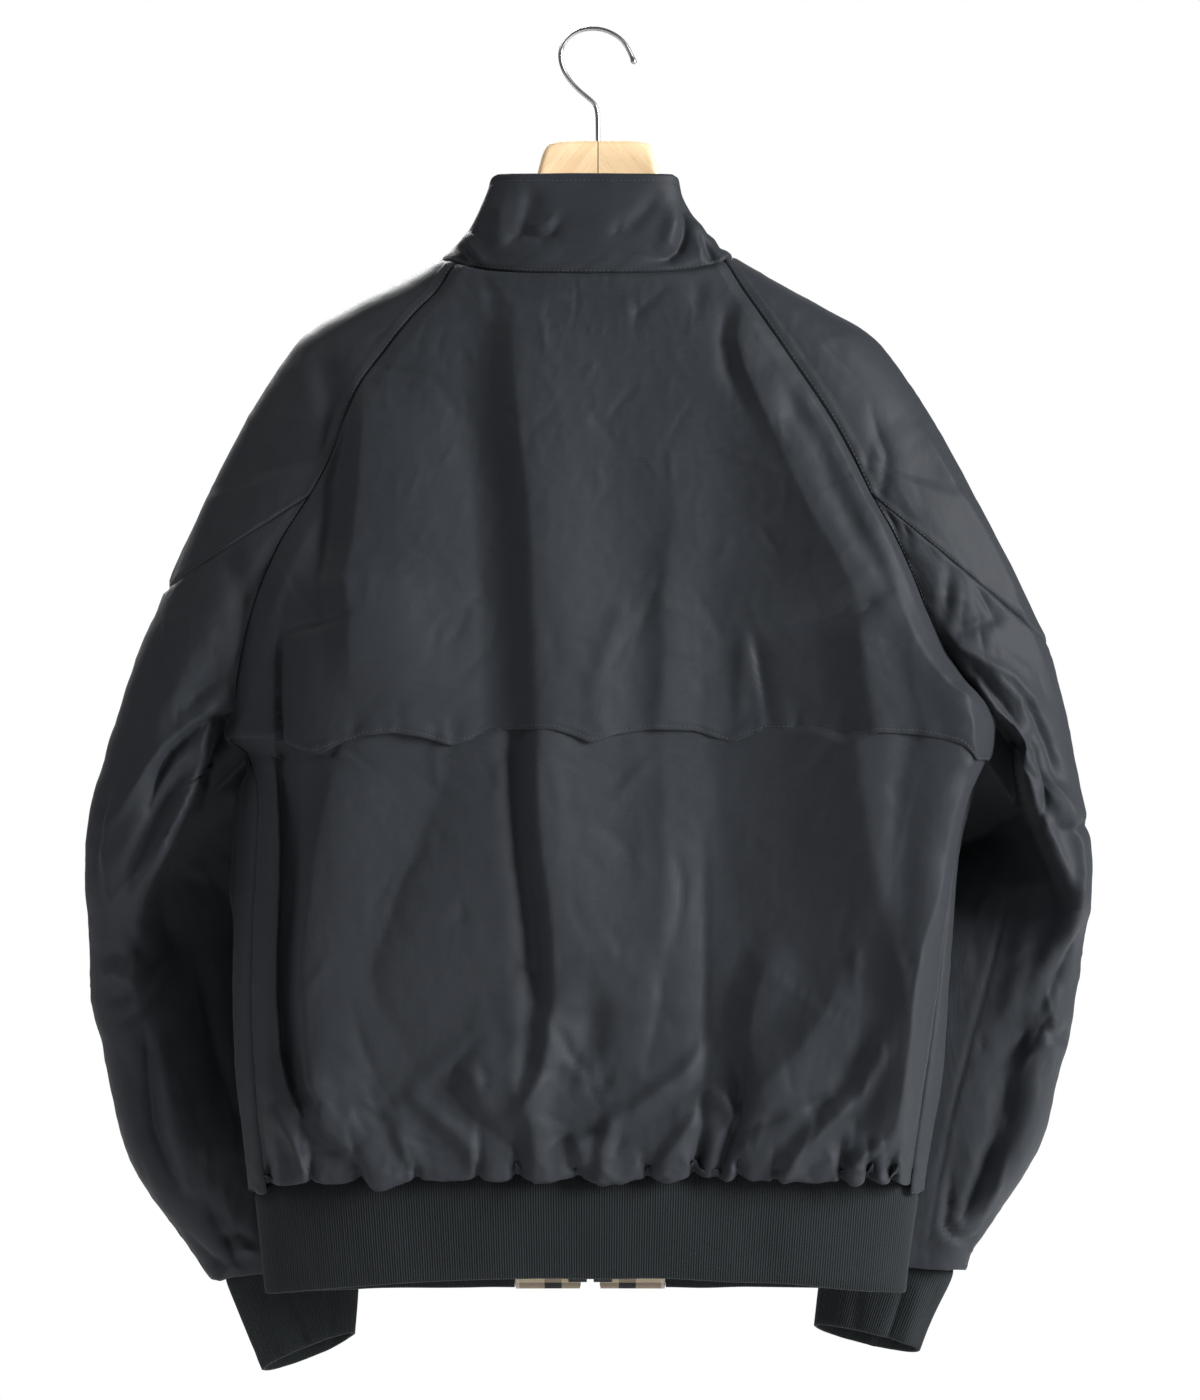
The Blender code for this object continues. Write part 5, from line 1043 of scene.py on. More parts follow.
def wood_material(name, tilt):
    mat, nt, bsdf = material(name, (0.80, 0.58, 0.35), 0.42, Coat_Weight=0.12, Coat_Roughness=0.35, Specular_IOR_Level=0.4)
    tex = node(nt, "ShaderNodeTexCoord")
    rot = node(nt, "ShaderNodeMapping")
    rot.inputs["Rotation"].default_value = (0, tilt, 0)
    nt.links.new(tex.outputs["Object"], rot.inputs["Vector"])
    grain = noise_of(nt, rot.outputs[0], 1.0, 4, 0.55, (38, 60, 900))
    flecks = noise_of(nt, rot.outputs[0], 1.0, 2, 0.5, (260, 500, 2400))
    bands = noise_of(nt, rot.outputs[0], 1.0, 3, 0.5, (10, 14, 150))
    fleck = node(nt, "ShaderNodeMapRange")
    fleck.inputs["From Min"].default_value = 0.60
    fleck.inputs["From Max"].default_value = 0.74
    nt.links.new(flecks, fleck.inputs["Value"])
    tone = math_node(nt, "ADD", math_node(nt, "MULTIPLY", grain, 0.55), math_node(nt, "MULTIPLY", bands, 0.45))
    ramp = node(nt, "ShaderNodeMapRange")
    ramp.inputs["From Min"].default_value = 0.32
    ramp.inputs["From Max"].default_value = 0.68
    nt.links.new(tone, ramp.inputs["Value"])
    c1 = mix_colour(nt, ramp.outputs[0], (0.72, 0.50, 0.28), (0.86, 0.66, 0.42))
    c2 = mix_colour(nt, math_node(nt, "MULTIPLY", fleck.outputs[0], 0.45), c1, (0.42, 0.22, 0.09))
    nt.links.new(c2, bsdf.inputs["Base Color"])
    nt.links.new(math_node(nt, "MULTIPLY_ADD", grain, 0.12, 0.36), bsdf.inputs["Roughness"])
    nt.links.new(bump(nt, bsdf, grain, 0.0001, 0.35), bsdf.inputs["Normal"])
    return mat


def metal_material(name, colour, rough, scratch):
    mat, nt, bsdf = material(name, colour, rough, 1.0)
    tex = node(nt, "ShaderNodeTexCoord")
    fine = noise_of(nt, tex.outputs["Object"], 1.0, 3, 0.6, scratch)
    nt.links.new(math_node(nt, "MULTIPLY_ADD", fine, 0.16, rough - 0.06), bsdf.inputs["Roughness"])
    nt.links.new(mix_colour(nt, fine, tuple(c * 0.9 for c in colour), colour), bsdf.inputs["Base Color"])
    nt.links.new(bump(nt, bsdf, fine, 0.00002, 0.3), bsdf.inputs["Normal"])
    return mat


def tape_material(name, colour):
    mat, nt, bsdf = material(name, colour, 0.85, Sheen_Weight=0.1, Specular_IOR_Level=0.25)
    uv = uv_of(nt)
    w = node(nt, "ShaderNodeTexWave", wave_type="BANDS", bands_direction="Y")
    w.inputs["Scale"].default_value = 420
    nt.links.new(uv, w.inputs["Vector"])
    fuzz = noise_of(nt, uv, 1.0, 2, 0.5, (700, 1600, 1))
    # painted shade and highlight: the colour is darker in the grooves of the tape's woven bands and lighter on their
    # crests, following the same level as the bump, with a random fuzz tone
    level = math_node(nt, "ADD", math_node(nt, "MULTIPLY", w.outputs["Fac"], 0.5), math_node(nt, "MULTIPLY", fuzz, 0.5))
    nt.links.new(mix_colour(nt, level, tuple(c * 0.7 for c in colour), tuple(c * 1.5 for c in colour)), bsdf.inputs["Base Color"])
    nt.links.new(bump(nt, bsdf, level, 0.0001, 0.6), bsdf.inputs["Normal"])
    return mat


# ---------------------------------------------------------------- start of the model
PIECES = bpy.data.collections.new("pieces")
bpy.context.scene.collection.children.link(PIECES)
ROOT = "jacket_and_hanger"
SHELL = shell_material("shell_cotton", SHELL_COLOUR)
THREAD, _nt, _b = material("topstitch_thread", tuple(c * 0.8 for c in SHELL_COLOUR), 0.7, Sheen_Weight=0.1)
_f = noise_of(_nt, node(_nt, "ShaderNodeTexCoord").outputs["Object"], 3000.0, 2)
_nt.links.new(mix_colour(_nt, _f, tuple(c * 0.9 for c in SHELL_COLOUR), tuple(c * 1.7 for c in SHELL_COLOUR)), _b.inputs["Base Color"])
RIB = rib_material("rib_knit", RIB_COLOUR, RIB_PITCH)
CHECK = check_material("check_lining")
TAPE = tape_material("zip_tape", (0.020, 0.022, 0.025))
ZIP = metal_material("zip_metal", (0.62, 0.60, 0.55), 0.32, (900, 900, 900))
CHROME = metal_material("hook_chrome", (0.50, 0.51, 0.53), 0.26, (400, 400, 60))
WOOD = {"left": wood_material("beech_left", math.radians(-52)), "right": wood_material("beech_right", math.radians(52))}
SHEETS = []


def finish_sheet(obj, p_flat, nodes, body=ROOT):
    """Rides, replaces and lists a cloth piece in SHEETS with its cut sizes. p_flat is its smooth surface, whose lengths
    give the cut.
    """
    w = float(lengths(p_flat, 1)[:, -1].max()) * MM
    l = float(lengths(p_flat, 0)[-1].max()) * MM
    area = cloth_area(p_flat) * 1.03 * MM * MM
    w, l = w * 1.02, l * 1.02
    area = min(area, w * l)
    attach(obj, body)
    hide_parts(*nodes)
    SHEETS.append((obj.name, w, l, area))
    return obj


STITCHES = {"verts": [], "faces": [], "count": 0}


def add_stitches(points, ns, pitch=2.9, length=2.1, radius=0.24, lift=0.10):
    """Sewn stitches along a line of points that lie on the cloth."""
    d = np.linalg.norm(np.diff(points, axis=0), axis=1)
    run = np.concatenate([[0], np.cumsum(d)])
    if run[-1] < pitch * 2:
        return
    starts = np.arange(0.8, run[-1] - length, pitch)

    def at(s, arr):
        return np.stack([np.interp(s, run, arr[:, k]) for k in range(3)], -1)

    a, b = at(starts, points), at(starts + length, points)
    na = at(starts + length / 2, ns)
    na /= np.linalg.norm(na, axis=1, keepdims=True)
    t = b - a
    tl = np.linalg.norm(t, axis=1, keepdims=True)
    t /= np.maximum(tl, 1e-9)
    side = np.cross(t, na)
    for i in range(len(a)):
        base = STITCHES["count"]
        up, sd = na[i] * radius, side[i] * radius
        c0, c1 = a[i] + na[i] * lift, b[i] + na[i] * lift
        third = (c1 - c0) * 0.22
        ring0 = [c0 + third + up, c0 + third + sd, c0 + third - up, c0 + third - sd]
        ring1 = [c1 - third + up, c1 - third + sd, c1 - third - up, c1 - third - sd]
        v = [c0 - na[i] * lift * 1.5] + ring0 + ring1 + [c1 - na[i] * lift * 1.5]
        STITCHES["verts"].extend(v)
        f = []
        for k in range(4):
            j = (k + 1) % 4
            f.append((base, base + 1 + j, base + 1 + k))
            f.append((base + 1 + k, base + 1 + j, base + 5 + j, base + 5 + k))
            f.append((base + 5 + k, base + 5 + j, base + 9))
        STITCHES["faces"].extend(f)
        STITCHES["count"] += len(v)


def line_in(p, n, rows, offset, from_last=False):
    """Points at a distance from a panel's side edge, on each of its rows."""
    pts, ns = [], []
    for i in rows:
        r = p[i, ::-1] if from_last else p[i]
        m = n[i, ::-1] if from_last else n[i]
        run = np.concatenate([[0], np.cumsum(np.linalg.norm(np.diff(r, axis=0), axis=1))])
        pts.append([np.interp(offset, run, r[:, k]) for k in range(3)])
        ns.append([np.interp(offset, run, m[:, k]) for k in range(3)])
    return np.array(pts), np.array(ns)


def line_across(p, n, cols, offset, from_last=False):
    return line_in(p.transpose(1, 0, 2), n.transpose(1, 0, 2), cols, offset, from_last)


def seam_relief(p, edges, seed, rows_from=0, weld_row=None):
    """Relief by the sewn edges: the groove of the seam, the swell of the seam allowance and small puckers. edges names
    the sides: first_row, last_row, first_col, last_col, and for each the side that carries the folded allowance."""
    run_c, run_r = lengths(p, 1), lengths(p, 0)
    out = np.zeros(p.shape[:2])
    for name, allowance in edges.items():
        if name == "first_col":
            dist, along = run_c, run_r[:, :1] * np.ones_like(run_c)
        elif name == "last_col":
            dist, along = run_c[:, -1:] - run_c, run_r[:, -1:] * np.ones_like(run_c)
        elif name == "first_row":
            dist, along = run_r, run_c[:1] * np.ones_like(run_c)
        else:
            dist, along = run_r[-1:] - run_r, run_c[-1:] * np.ones_like(run_c)
        out -= 0.45 * np.exp(-(dist / 0.9) ** 2)
        if allowance:
            out += 0.55 * step01((8.5 - dist) / 1.6) * step01(dist / 2.0)
        else:
            out += 0.20 * np.exp(-((dist - 3.5) / 3.0) ** 2)
        pucker = noise2(along / 7.5, dist / 26.0 + 3, seed) * 0.75 + noise2(along / 3.6, dist / 20.0, seed + 3) * 0.25
        out += 0.42 * pucker * np.exp(-(dist / 13.0) ** 1.2)
    return out


# ---------------------------------------------------------------- back
U_EDGES = (np.array(PUFFS) / PX) + 598.0          # the gathers' places in the frame
LOBE_SIZE = np.array([0.8, 1.0, 1.05, 1.0, 1.15, 0.8, 1.1, 1.1, 0.95, 0.75, 0.95, 1.1, 0.8, 0.7])


def lobes(x, v, edges, sizes):
    """Rounded puffs between gathers: outward relief and the sag of their lower side."""
    pos = np.interp(x, edges, np.arange(len(edges)))
    k = np.clip(pos.astype(int), 0, len(sizes) - 1)
    f = np.clip(pos - k, 0, 1)
    profile = np.clip(np.sin(np.pi * f), 0, 1) ** 0.62 * sizes[k]
    inside = (x > edges[0]) & (x < edges[-1])
    grow = step01((v - 20.0) / 2.0) * (1 - 0.55 * step01((v - 22.2) / 0.8))
    gap = np.minimum(f, 1 - f) * np.diff(edges)[k]
    drawn_in = 2.4 * np.exp(-(gap / 3.2) ** 2) * step01((v - 21.0) / 1.2)
    relief = ((profile - 0.55) * 4.2 * grow - drawn_in) * np.where(inside, 1, 0.3)
    sag = -profile * 1.8 * np.exp(-((v - 22.15) / 0.75) ** 2) * inside + 4.0 * step01((v - 20.8) / 1.6) + 4.5 * np.exp(-((v - 22.2) / 0.55) ** 2)
    return relief, sag


TUCKS = (
    ("under the left brink", "s", 2.2, 3.0, 14, ((281, 770, .1), (283, 800, .7), (285, 850, 1), (284, 900, 1), (282, 950, 1), (282, 1000, 1), (285, 1050, 1), (293, 1084, .6), (299, 1102, 0))),
)


def soften(d):
    """No crest stands out past the part's own outline by more than its share."""
    return np.where(d > 66, 66 + 10 * np.tanh((d - 66) / 10), d)


def level(p, xi, y):
    """The back hangs flatter than the frame's own section: what it stands out by, mm."""
    middle = p[:, p.shape[1] // 2, 1][:, None]
    share = 0.3 + 0.7 * step01((y - 480) / 170)
    x = px(p)[0]
    left = 1 - 0.62 * step01((410 - x) / 110) * step01((y - 560) / 70) * (1 - step01((y - 1040) / 80))
    return 0.85 * np.clip(middle - p[..., 1], 0, 17) * share * left * step01((1 - np.abs(xi)) / 0.11)


def outward(n, xi):
    """The way the folds stand out: straight back near the sides, so that they don't widen the outline."""
    q = n.copy()
    q[..., 0] *= 1 - 0.9 * step01((np.abs(xi) - 0.66) / 0.2)
    return q


def fine_creases(seed, count, box, upright=0.5, size=1.0):
    """Short straight creases that worn cloth keeps: mostly shallow, a few sharper, leaning either way."""
    rng = np.random.default_rng(seed)
    rows = []
    x0, y0, x1, y1 = box
    for _ in range(count):
        cx, cy = rng.uniform(x0, x1), rng.uniform(y0, y1)
        half = rng.uniform(9, 34)
        lean = rng.normal(0, upright)
        dx, dy = np.sin(lean) * half, np.cos(lean) * half
        bend = rng.uniform(-0.18, 0.18) * half
        depth = rng.choice([-1, -1, 1]) * size * rng.uniform(0.25, 0.8) * (1.6 if rng.random() < 0.15 else 1)
        wide = rng.uniform(2.6, 6.5)
        rows.append(("fine", "c", depth, wide, wide * rng.uniform(0.8, 1.9),
                     ((cx - dx, cy - dy, 0), (cx - dx * .4 + bend, cy - dy * .4, 1), (cx + dx * .4 + bend, cy + dy * .4, .9), (cx + dx, cy + dy, 0))))
    return rows


FINE_UPPER = fine_creases(501, 95, (330, 285, 900, 750), 0.55, 0.9)
FINE_LOWER = fine_creases(502, 90, (300, 750, 920, 1110), 0.5, 1.0) + fine_creases(503, 70, (270, 1070, 915, 1185), 0.75, 1.7)


def back_fields(x, y, v):
    """Upper and lower crease fields of the back, mm."""
    upper = strokes(x, y, UPPER)
    lower = strokes(x, y, LOWER)
    rng = np.random.default_rng(11)
    pleats = []
    for _ in range(30):                                    # small creases that stand on the yoke's stitching
        cx = rng.uniform(300, 935)
        edge_y = 31 - np.interp((cx - 598) * PX, SCALLOP_T["u"], SCALLOP_T["z"]) / PX
        h = rng.uniform(14, 46)
        lean = rng.uniform(-7, 7)
        pleats.append(("p", "c", -rng.uniform(0.5, 1.2), rng.uniform(3.5, 6), rng.uniform(3.5, 6),
                       ((cx + lean, edge_y - h, 0), (cx + lean * .4, edge_y - h * .5, .8), (cx, edge_y - 2, 1), (cx, edge_y + 8, 1))))
    tucks = []
    for edge in U_EDGES:                                   # the pleats that stand on the gathers
        for _ in range(2):
            h, lean = rng.uniform(26, 72), rng.uniform(-16, 16)
            tucks.append(("t", "c", -rng.uniform(1.8, 3.6), rng.uniform(2.4, 4), rng.uniform(4, 8),
                          ((edge + lean, 1186 - h, 0), (edge + lean * .45, 1186 - h * .55, .8), (edge + lean * .1, 1170, 1), (edge, 1192, 1))))
    upper += strokes(x, y, pleats + FINE_UPPER)
    lower += strokes(x, y, FINE_LOWER + tucks)
    return upper, lower


def add_small(x, y, seed, amount):
    return amount * (0.55 * crumple(x, y, seed, 30.0) + 0.45 * crumple(x, y, seed + 20, 15.0))


V_BACK = np.concatenate([np.linspace(0, 11.2, 22)[:-1], np.linspace(11.2, 20, 112)[:-1], np.linspace(20, 23, 38)])
COLS_BACK = 222
XI = np.linspace(-1, 1, COLS_BACK)
back0 = back_surface(V_BACK[:, None], XI[None, :])
n0 = grid_normals(back0, back0.mean(axis=1, keepdims=True) * np.array([1, 0, 1]))
bx, by = px(back0)
upper, lower = back_fields(bx, by, V_BACK[:, None])
scallop_y = 31 - np.interp(back0[..., 0], SCALLOP_T["u"], SCALLOP_T["z"]) / PX
w_low = step01((by - (scallop_y - 16)) / 20)
field = upper * (1 - w_low) + lower * w_low
near_hem = step01((V_BACK[:, None] - 19.5) / 2.5)
edge_fade = step01((1 - np.abs(XI))[None, :] / 0.045) * step01(V_BACK[:, None] / 0.5)
hem_fade = 1 - 0.75 * step01((V_BACK[:, None] - 22.3) / 0.7)
field = field * edge_fade * hem_fade
field += add_small(bx, by, 31, 0.6 + 1.2 * near_hem) * edge_fade * hem_fade
lobe, sag = lobes(bx, np.broadcast_to(V_BACK[:, None], bx.shape), U_EDGES, LOBE_SIZE)
seam = seam_relief(back0, {"first_col": 0, "last_col": 0, "first_row": 0}, 71)
back1 = back0 + outward(n0, XI[None, :]) * field[..., None] + n0 * (lobe + seam)[..., None]
back1[..., 1] = soften(back1[..., 1] + level(back0, XI[None, :], by))
back1[..., 0] -= strokes(bx, by, TUCKS) * edge_fade
back1[..., 2] += sag
nb = grid_normals(back1, back1.mean(axis=1, keepdims=True) * np.array([1, 0, 1]))


FLAT_BACK = back0
obj = sheet_mesh("back_panel", back1, n0, WALL, SHELL, lining=CHECK,
                 lined=(V_BACK[:, None] < 19.6) & (np.abs(XI)[None, :] < 0.88))
finish_sheet(obj, FLAT_BACK, ["back"])
rows_low = np.where(V_BACK > UNDERARM_ROW + 0.4)[0]
for offsets, last in (((2.6,), False), ((2.6, 8.4), True)):
    for off in offsets:
        add_stitches(*line_in(back1, nb, rows_low, off, last))

# ---------------------------------------------------------------- yoke flap
ROWS_Y, COLS_Y = 150, 196
xi_y = np.linspace(-1, 1, COLS_Y)
probe_v = np.linspace(11, 14.2, 120)
probe = back_surface(probe_v[:, None], xi_y[None, :])
end_v = np.empty(COLS_Y)
for j in range(COLS_Y):
    target = np.interp(probe[:, j, 0], SCALLOP_T["u"], SCALLOP_T["z"])
    gapz = probe[:, j, 2] - target
    end_v[j] = np.interp(0, -gapz, probe_v)
end_v = np.minimum(end_v, 13.97)
tt = np.linspace(0, 1, ROWS_Y)[:, None] ** 0.93
v_y = 0.06 + (end_v[None, :] - 0.06) * tt
xi_g = np.broadcast_to(xi_y[None, :], v_y.shape) * (1 - 0.004)
yoke0 = back_surface(v_y, xi_g)
ny = grid_normals(yoke0, yoke0.mean(axis=1, keepdims=True) * np.array([1, 0, 1]))
yx, yy = px(yoke0)
y_upper, _ = back_fields(yx, yy, v_y)
fade_y = step01((1 - np.abs(xi_g)) / 0.045) * step01(v_y / 0.5)
relief = y_upper * fade_y + add_small(yx, yy, 31, 0.6) * fade_y
from_edge = lengths(yoke0, 0)
from_edge = from_edge[-1:] - from_edge
edge_lift = 0.8 * np.exp(-(from_edge / 16.0) ** 2)
side_lift = 1.2 * step01((np.abs(xi_g) - 0.93) / 0.06) * step01((v_y - 11.0) / 2.0)
hem_line = -0.35 * np.exp(-((from_edge - 2.6) / 0.8) ** 2) + 0.35 * np.exp(-((from_edge - 5.2) / 1.8) ** 2)
hem_pucker = 0.42 * noise2(lengths(yoke0, 1) / 7.0, from_edge / 18.0, 91) * np.exp(-(from_edge / 11.0))
seam_y = seam_relief(yoke0, {"first_col": 0, "last_col": 0, "first_row": 0}, 71)
yoke1 = yoke0 + outward(ny, xi_g) * relief[..., None] + ny * (seam_y + 1.5 + edge_lift + side_lift + hem_line + hem_pucker)[..., None]
yoke1[..., 1] = soften(yoke1[..., 1] + level(yoke0, xi_g, yy))
yoke1[..., 0] -= strokes(yx, yy, TUCKS) * fade_y
nyy = grid_normals(yoke1, yoke1.mean(axis=1, keepdims=True) * np.array([1, 0, 1]))
obj = sheet_mesh("yoke_flap_panel", yoke1, ny, WALL, SHELL)
finish_sheet(obj, yoke0, ["yoke_flap"])
add_stitches(*line_across(yoke1, nyy, range(3, COLS_Y - 3), 2.6, True))

# ---------------------------------------------------------------- fronts
V_FRONT = np.concatenate([np.linspace(0, 14, 76)[:-1], np.linspace(14, 20, 50)[:-1], np.linspace(20, 23, 28)])
ETA = 1 - (1 - np.linspace(0, 1, 92)) ** 1.15
FRONT = {}
for side, word in (("l", "left"), ("r", "right")):
    f0 = front_surface(side, V_FRONT[:, None], ETA[None, :])
    ref = f0.mean(axis=1, keepdims=True) * np.array([0.3, 0, 1])
    nf = grid_normals(f0, ref)
    fx, fy = px(f0 * np.array([1, 0, 1]))
    mx = 2 * MID_X - fx
    up, low = strokes(mx, fy, UPPER), strokes(mx, fy, LOWER)
    w = step01((fy - 700) / 80)
    away = step01((np.abs(fx - MID_X) - 26) / 60)
    vv = V_FRONT[:, None] * np.ones_like(fx)
    rim = step01(ETA / 0.05)[None, :] * step01(vv / 0.6) * (1 - 0.75 * step01((vv - 22.3) / 0.7))
    turned = step01((ETA[None, :] - 0.14) / 0.24)
    fd = (up * (1 - w) + low * w) * 0.6 * away * rim * turned
    fd += add_small(fx, fy, 53, 0.7 + 1.2 * step01((vv - 19.5) / 2.5)) * rim * (0.35 + 0.65 * away)
    edges = 2 * MID_X - U_EDGES[::-1]
    lb, sg = lobes(fx, vv, edges, LOBE_SIZE[::-1])
    keep = away * turned
    fd += lb * keep * 0.85 + seam_relief(f0, {"first_col": 1, "first_row": 0}, 171 + len(word))
    # placket: a plain strip with a folded edge by the zip
    to_edge = lengths(f0, 1)
    to_edge = to_edge[:, -1:] - to_edge
    fd += 0.9 * step01((30 - to_edge) / 2.0) * (vv < 22.6) - 0.5 * np.exp(-((to_edge - 31) / 1.5) ** 2)
    fd += 0.5 * noise2(lengths(f0, 0) / 11, to_edge / 30, 201) * np.exp(-(to_edge / 20)) * rim
    f1 = f0 + nf * fd[..., None]
    f1[..., 2] += sg * keep
    nf1 = grid_normals(f1, ref)
    FRONT[side] = (f0, f1, nf1)
    obj = sheet_mesh("front_panel_" + word, f1, nf, WALL, SHELL, lining=CHECK,
                     lined=(V_FRONT[:, None] < 19.6) & (ETA[None, :] > 0.12))
    finish_sheet(obj, f0, ["front_" + word])
    rows_all = np.where(V_FRONT > 0.5)[0]
    for off in (2.6, 8.0):
        add_stitches(*line_in(f1, nf1, rows_all[rows_all < len(V_FRONT) - 2], off, True))
    add_stitches(*line_in(f1, nf1, rows_all[rows_all < len(V_FRONT) - 2], 29.0, True))

# ---------------------------------------------------------------- sleeves
S_CAP = np.linspace(0, 1, 112)
V_CAP = np.linspace(0, 7, 84)
S_ARM = np.linspace(0, 1, 196)
V_ARM = np.concatenate([np.linspace(7, 14, 56)[:-1], np.linspace(14, 24, 100)])
WELD = int(np.argmin(np.abs(V_ARM - UNDERARM_ROW)))
V_ARM[WELD] = UNDERARM_ROW


def sleeve_relief(side, p, s, v):
    x, y = px(p)
    xf = 2 * MID_X - x
    other = "r" if side == "l" else "l"
    w = step01((s - 0.46) / 0.09)
    fine = (fine_creases(601, 60, (95, 560, 250, 900), 0.9, 1.2) + fine_creases(602, 50, (100, 900, 250, 1240), 0.5, 1.2) + fine_creases(605, 22, (250, 320, 440, 560), 0.8, 0.8)
            if side == "l" else
            fine_creases(603, 60, (940, 560, 1085, 900), 0.9, 1.2) + fine_creases(604, 50, (940, 900, 1080, 1240), 0.5, 1.2) + fine_creases(606, 26, (760, 320, 940, 560), 0.8, 0.8))
    rear = strokes(x, y, list(SLEEVE_STROKES[side]) + fine)
    front = strokes(xf, y, [q for q in SLEEVE_STROKES[other] if "recess" not in q[0]]) * 0.8
    return rear * (1 - w) + front * w, x, y


for side, word in (("l", "left"), ("r", "right")):
    c0 = sleeve_surface(side, V_CAP[:, None], S_CAP[None, :])
    ref = c0.mean(axis=1, keepdims=True) - np.array([0, 0, 8.0])
    nc = grid_normals(c0, ref)
    s2 = np.broadcast_to(S_CAP[None, :], c0.shape[:2])
    v2 = np.broadcast_to(V_CAP[:, None], c0.shape[:2])
    rel, cx, cy = sleeve_relief(side, c0, s2, v2)
    rc, rr = lengths(c0, 1), lengths(c0, 0)
    near = np.minimum(np.minimum(rc, rc[:, -1:] - rc), np.minimum(rr * 2, (rr[-1:] - rr) * 1.2))
    fade = step01(near / 9.0)
    rel = rel * fade + add_small(cx + 400 * (s2 > 0.5), cy, 61, 0.7) * fade
    rel += seam_relief(c0, {"first_col": 1, "last_col": 1, "first_row": 0, "last_row": 1}, 301 + len(word))
    c1 = c0 + nc * rel[..., None]
    nc1 = grid_normals(c1, ref)
    obj = sheet_mesh("sleeve_cap_panel_" + word, *allowance(c1, nc, np.ones(len(V_CAP))), WALL, SHELL)
    finish_sheet(obj, c0, ["sleeve_cap_" + word])
    inner_rows = range(1, len(V_CAP) - 1)
    add_stitches(*line_in(c1, nc1, inner_rows, 2.6, False))
    add_stitches(*line_in(c1, nc1, inner_rows, 2.6, True))
    add_stitches(*line_across(c1, nc1, range(2, len(S_CAP) - 2), 2.6, True))

    a0 = sleeve_surface(side, V_ARM[:, None], S_ARM[None, :])
    ref = a0.mean(axis=1, keepdims=True) - np.array([0, 0, 8.0])
    na = grid_normals(a0, ref, WELD)
    s2 = np.broadcast_to(S_ARM[None, :], a0.shape[:2])
    v2 = np.broadcast_to(V_ARM[:, None], a0.shape[:2])
    rel, ax, ay = sleeve_relief(side, a0, s2, v2)
    rc, rr = lengths(a0, 1), lengths(a0, 0)
    near = np.minimum(rc, rc[:, -1:] - rc)
    fade = step01(near / 8.0) * step01(rr / 7.0) * (1 - 0.3 * step01((v2 - 23.3) / 0.7))
    rel = rel * fade + add_small(ax + 400 * (s2 > 0.5), ay, 67, 0.9 + 0.9 * step01((v2 - 20) / 3)) * fade
    low_seam = seam_relief(a0, {"first_col": 0, "last_col": 0, "first_row": 0}, 331 + len(word))
    rel += low_seam
    room = np.linalg.norm(a0 - a0[:, ::-1], axis=-1)
    sink = add_recess(side, a0, s2, ax, ay, room) * step01(rc / 6.0) * step01(rr / 12.0)
    a1 = a0 + na * rel[..., None]
    a1[..., 1] -= sink
    if side == "r":
        # the rear wall hangs flat behind the arm's fold
        rise = a0[..., 1].max(axis=1, keepdims=True) - a0[..., 1]
        a1[..., 1] += (1.1 * np.clip(rise, 0, 44) * step01((0.47 - s2) / 0.14) * step01((ay - 830) / 90)
                       * step01(near / 16.0) * (1 - 0.6 * step01((v2 - 22.6) / 1.4)))
    inner = np.exp(-(near / 34.0) ** 2) * step01((v2 - 14.0) / 1.4) * (1 - step01((v2 - 18.5) / 2.5))
    a1[..., 0] += (10.0 if side == "l" else -13.0) * inner
    a1[..., 1] -= 5.0 * inner
    na1 = grid_normals(a1, ref, WELD)
    obj = sheet_mesh("sleeve_panel_" + word, *allowance(a1, na, step01((UNDERARM_ROW - 0.4 - V_ARM) / 1.2)), WALL, SHELL)
    finish_sheet(obj, a0, ["sleeve_" + word])
    add_stitches(*line_in(a1, na1, range(1, WELD - 1), 2.6, False))
    add_stitches(*line_in(a1, na1, range(1, WELD - 1), 2.6, True))
    add_stitches(*line_in(a1, na1, range(WELD + 2, len(V_ARM) - 3), 2.4, False))
    FRONT["cap_" + side] = c0

# ---------------------------------------------------------------- collar


def collar_top(turn):
    """turn 0 at the wearer's left front end, 0.5 at the back, 1 at the right front end."""
    a = -np.pi / 2 - 2 * np.pi * (0.012 + 0.976 * turn)
    c, s = np.cos(a), np.sin(a)
    n = 2.5 + 2.3 * step01(s / 0.5)
    u = -8.0 + 62.5 * np.sign(c) * np.abs(c) ** (2 / n)
    d = -9 + 47 * np.sign(s) * np.abs(s) ** (2 / n)
    z = -94.7 - 50 * np.clip((30 - d) / 86, 0, 1) ** 1.15
    return np.stack([u, d, z], -1)


neck = np.concatenate([FRONT["l"][0][0, ::-1], FRONT["cap_l"][0, ::-1][1:], back0[0, 1:], FRONT["cap_r"][0, 1:], FRONT["r"][0][0, 1:]])
gone = np.concatenate([[0], np.cumsum(np.linalg.norm(np.diff(neck, axis=0), axis=1))])
COLS_C = 300
want = np.linspace(0, gone[-1], COLS_C)
neck = np.stack([np.interp(want, gone, neck[:, k]) for k in range(3)], -1)
# the corners of the neck seam are eased
for _ in range(6):
    neck[1:-1] = neck[1:-1] * 0.5 + (neck[2:] + neck[:-2]) * 0.25
turn_c = np.linspace(0, 1, COLS_C)
hs = np.linspace(0, 1, 44)
top = collar_top(turn_c)
swell = np.sin(np.pi * hs)[:, None, None]
flare = np.stack([1 - (1 - hs) ** 1.6, 1 - (1 - hs) ** 1.3, hs], -1)[:, None, :]
col0 = neck[None] + (top - neck)[None] * flare
ref_c = col0.mean(axis=1, keepdims=True)
ncl = grid_normals(col0, ref_c)
cx, cy = px(col0)
rear_c = step01((col0[..., 1] - 8) / 14)
rel = strokes(cx, cy, COLLAR_STROKES) * rear_c
rel += strokes(2 * MID_X - cx, cy, COLLAR_STROKES) * 0.4 * (1 - rear_c)
cr, cc = lengths(col0, 0), lengths(col0, 1)
rel *= step01(cr / 5.0)
rel += 0.5 * swell[..., 0] * 2.0
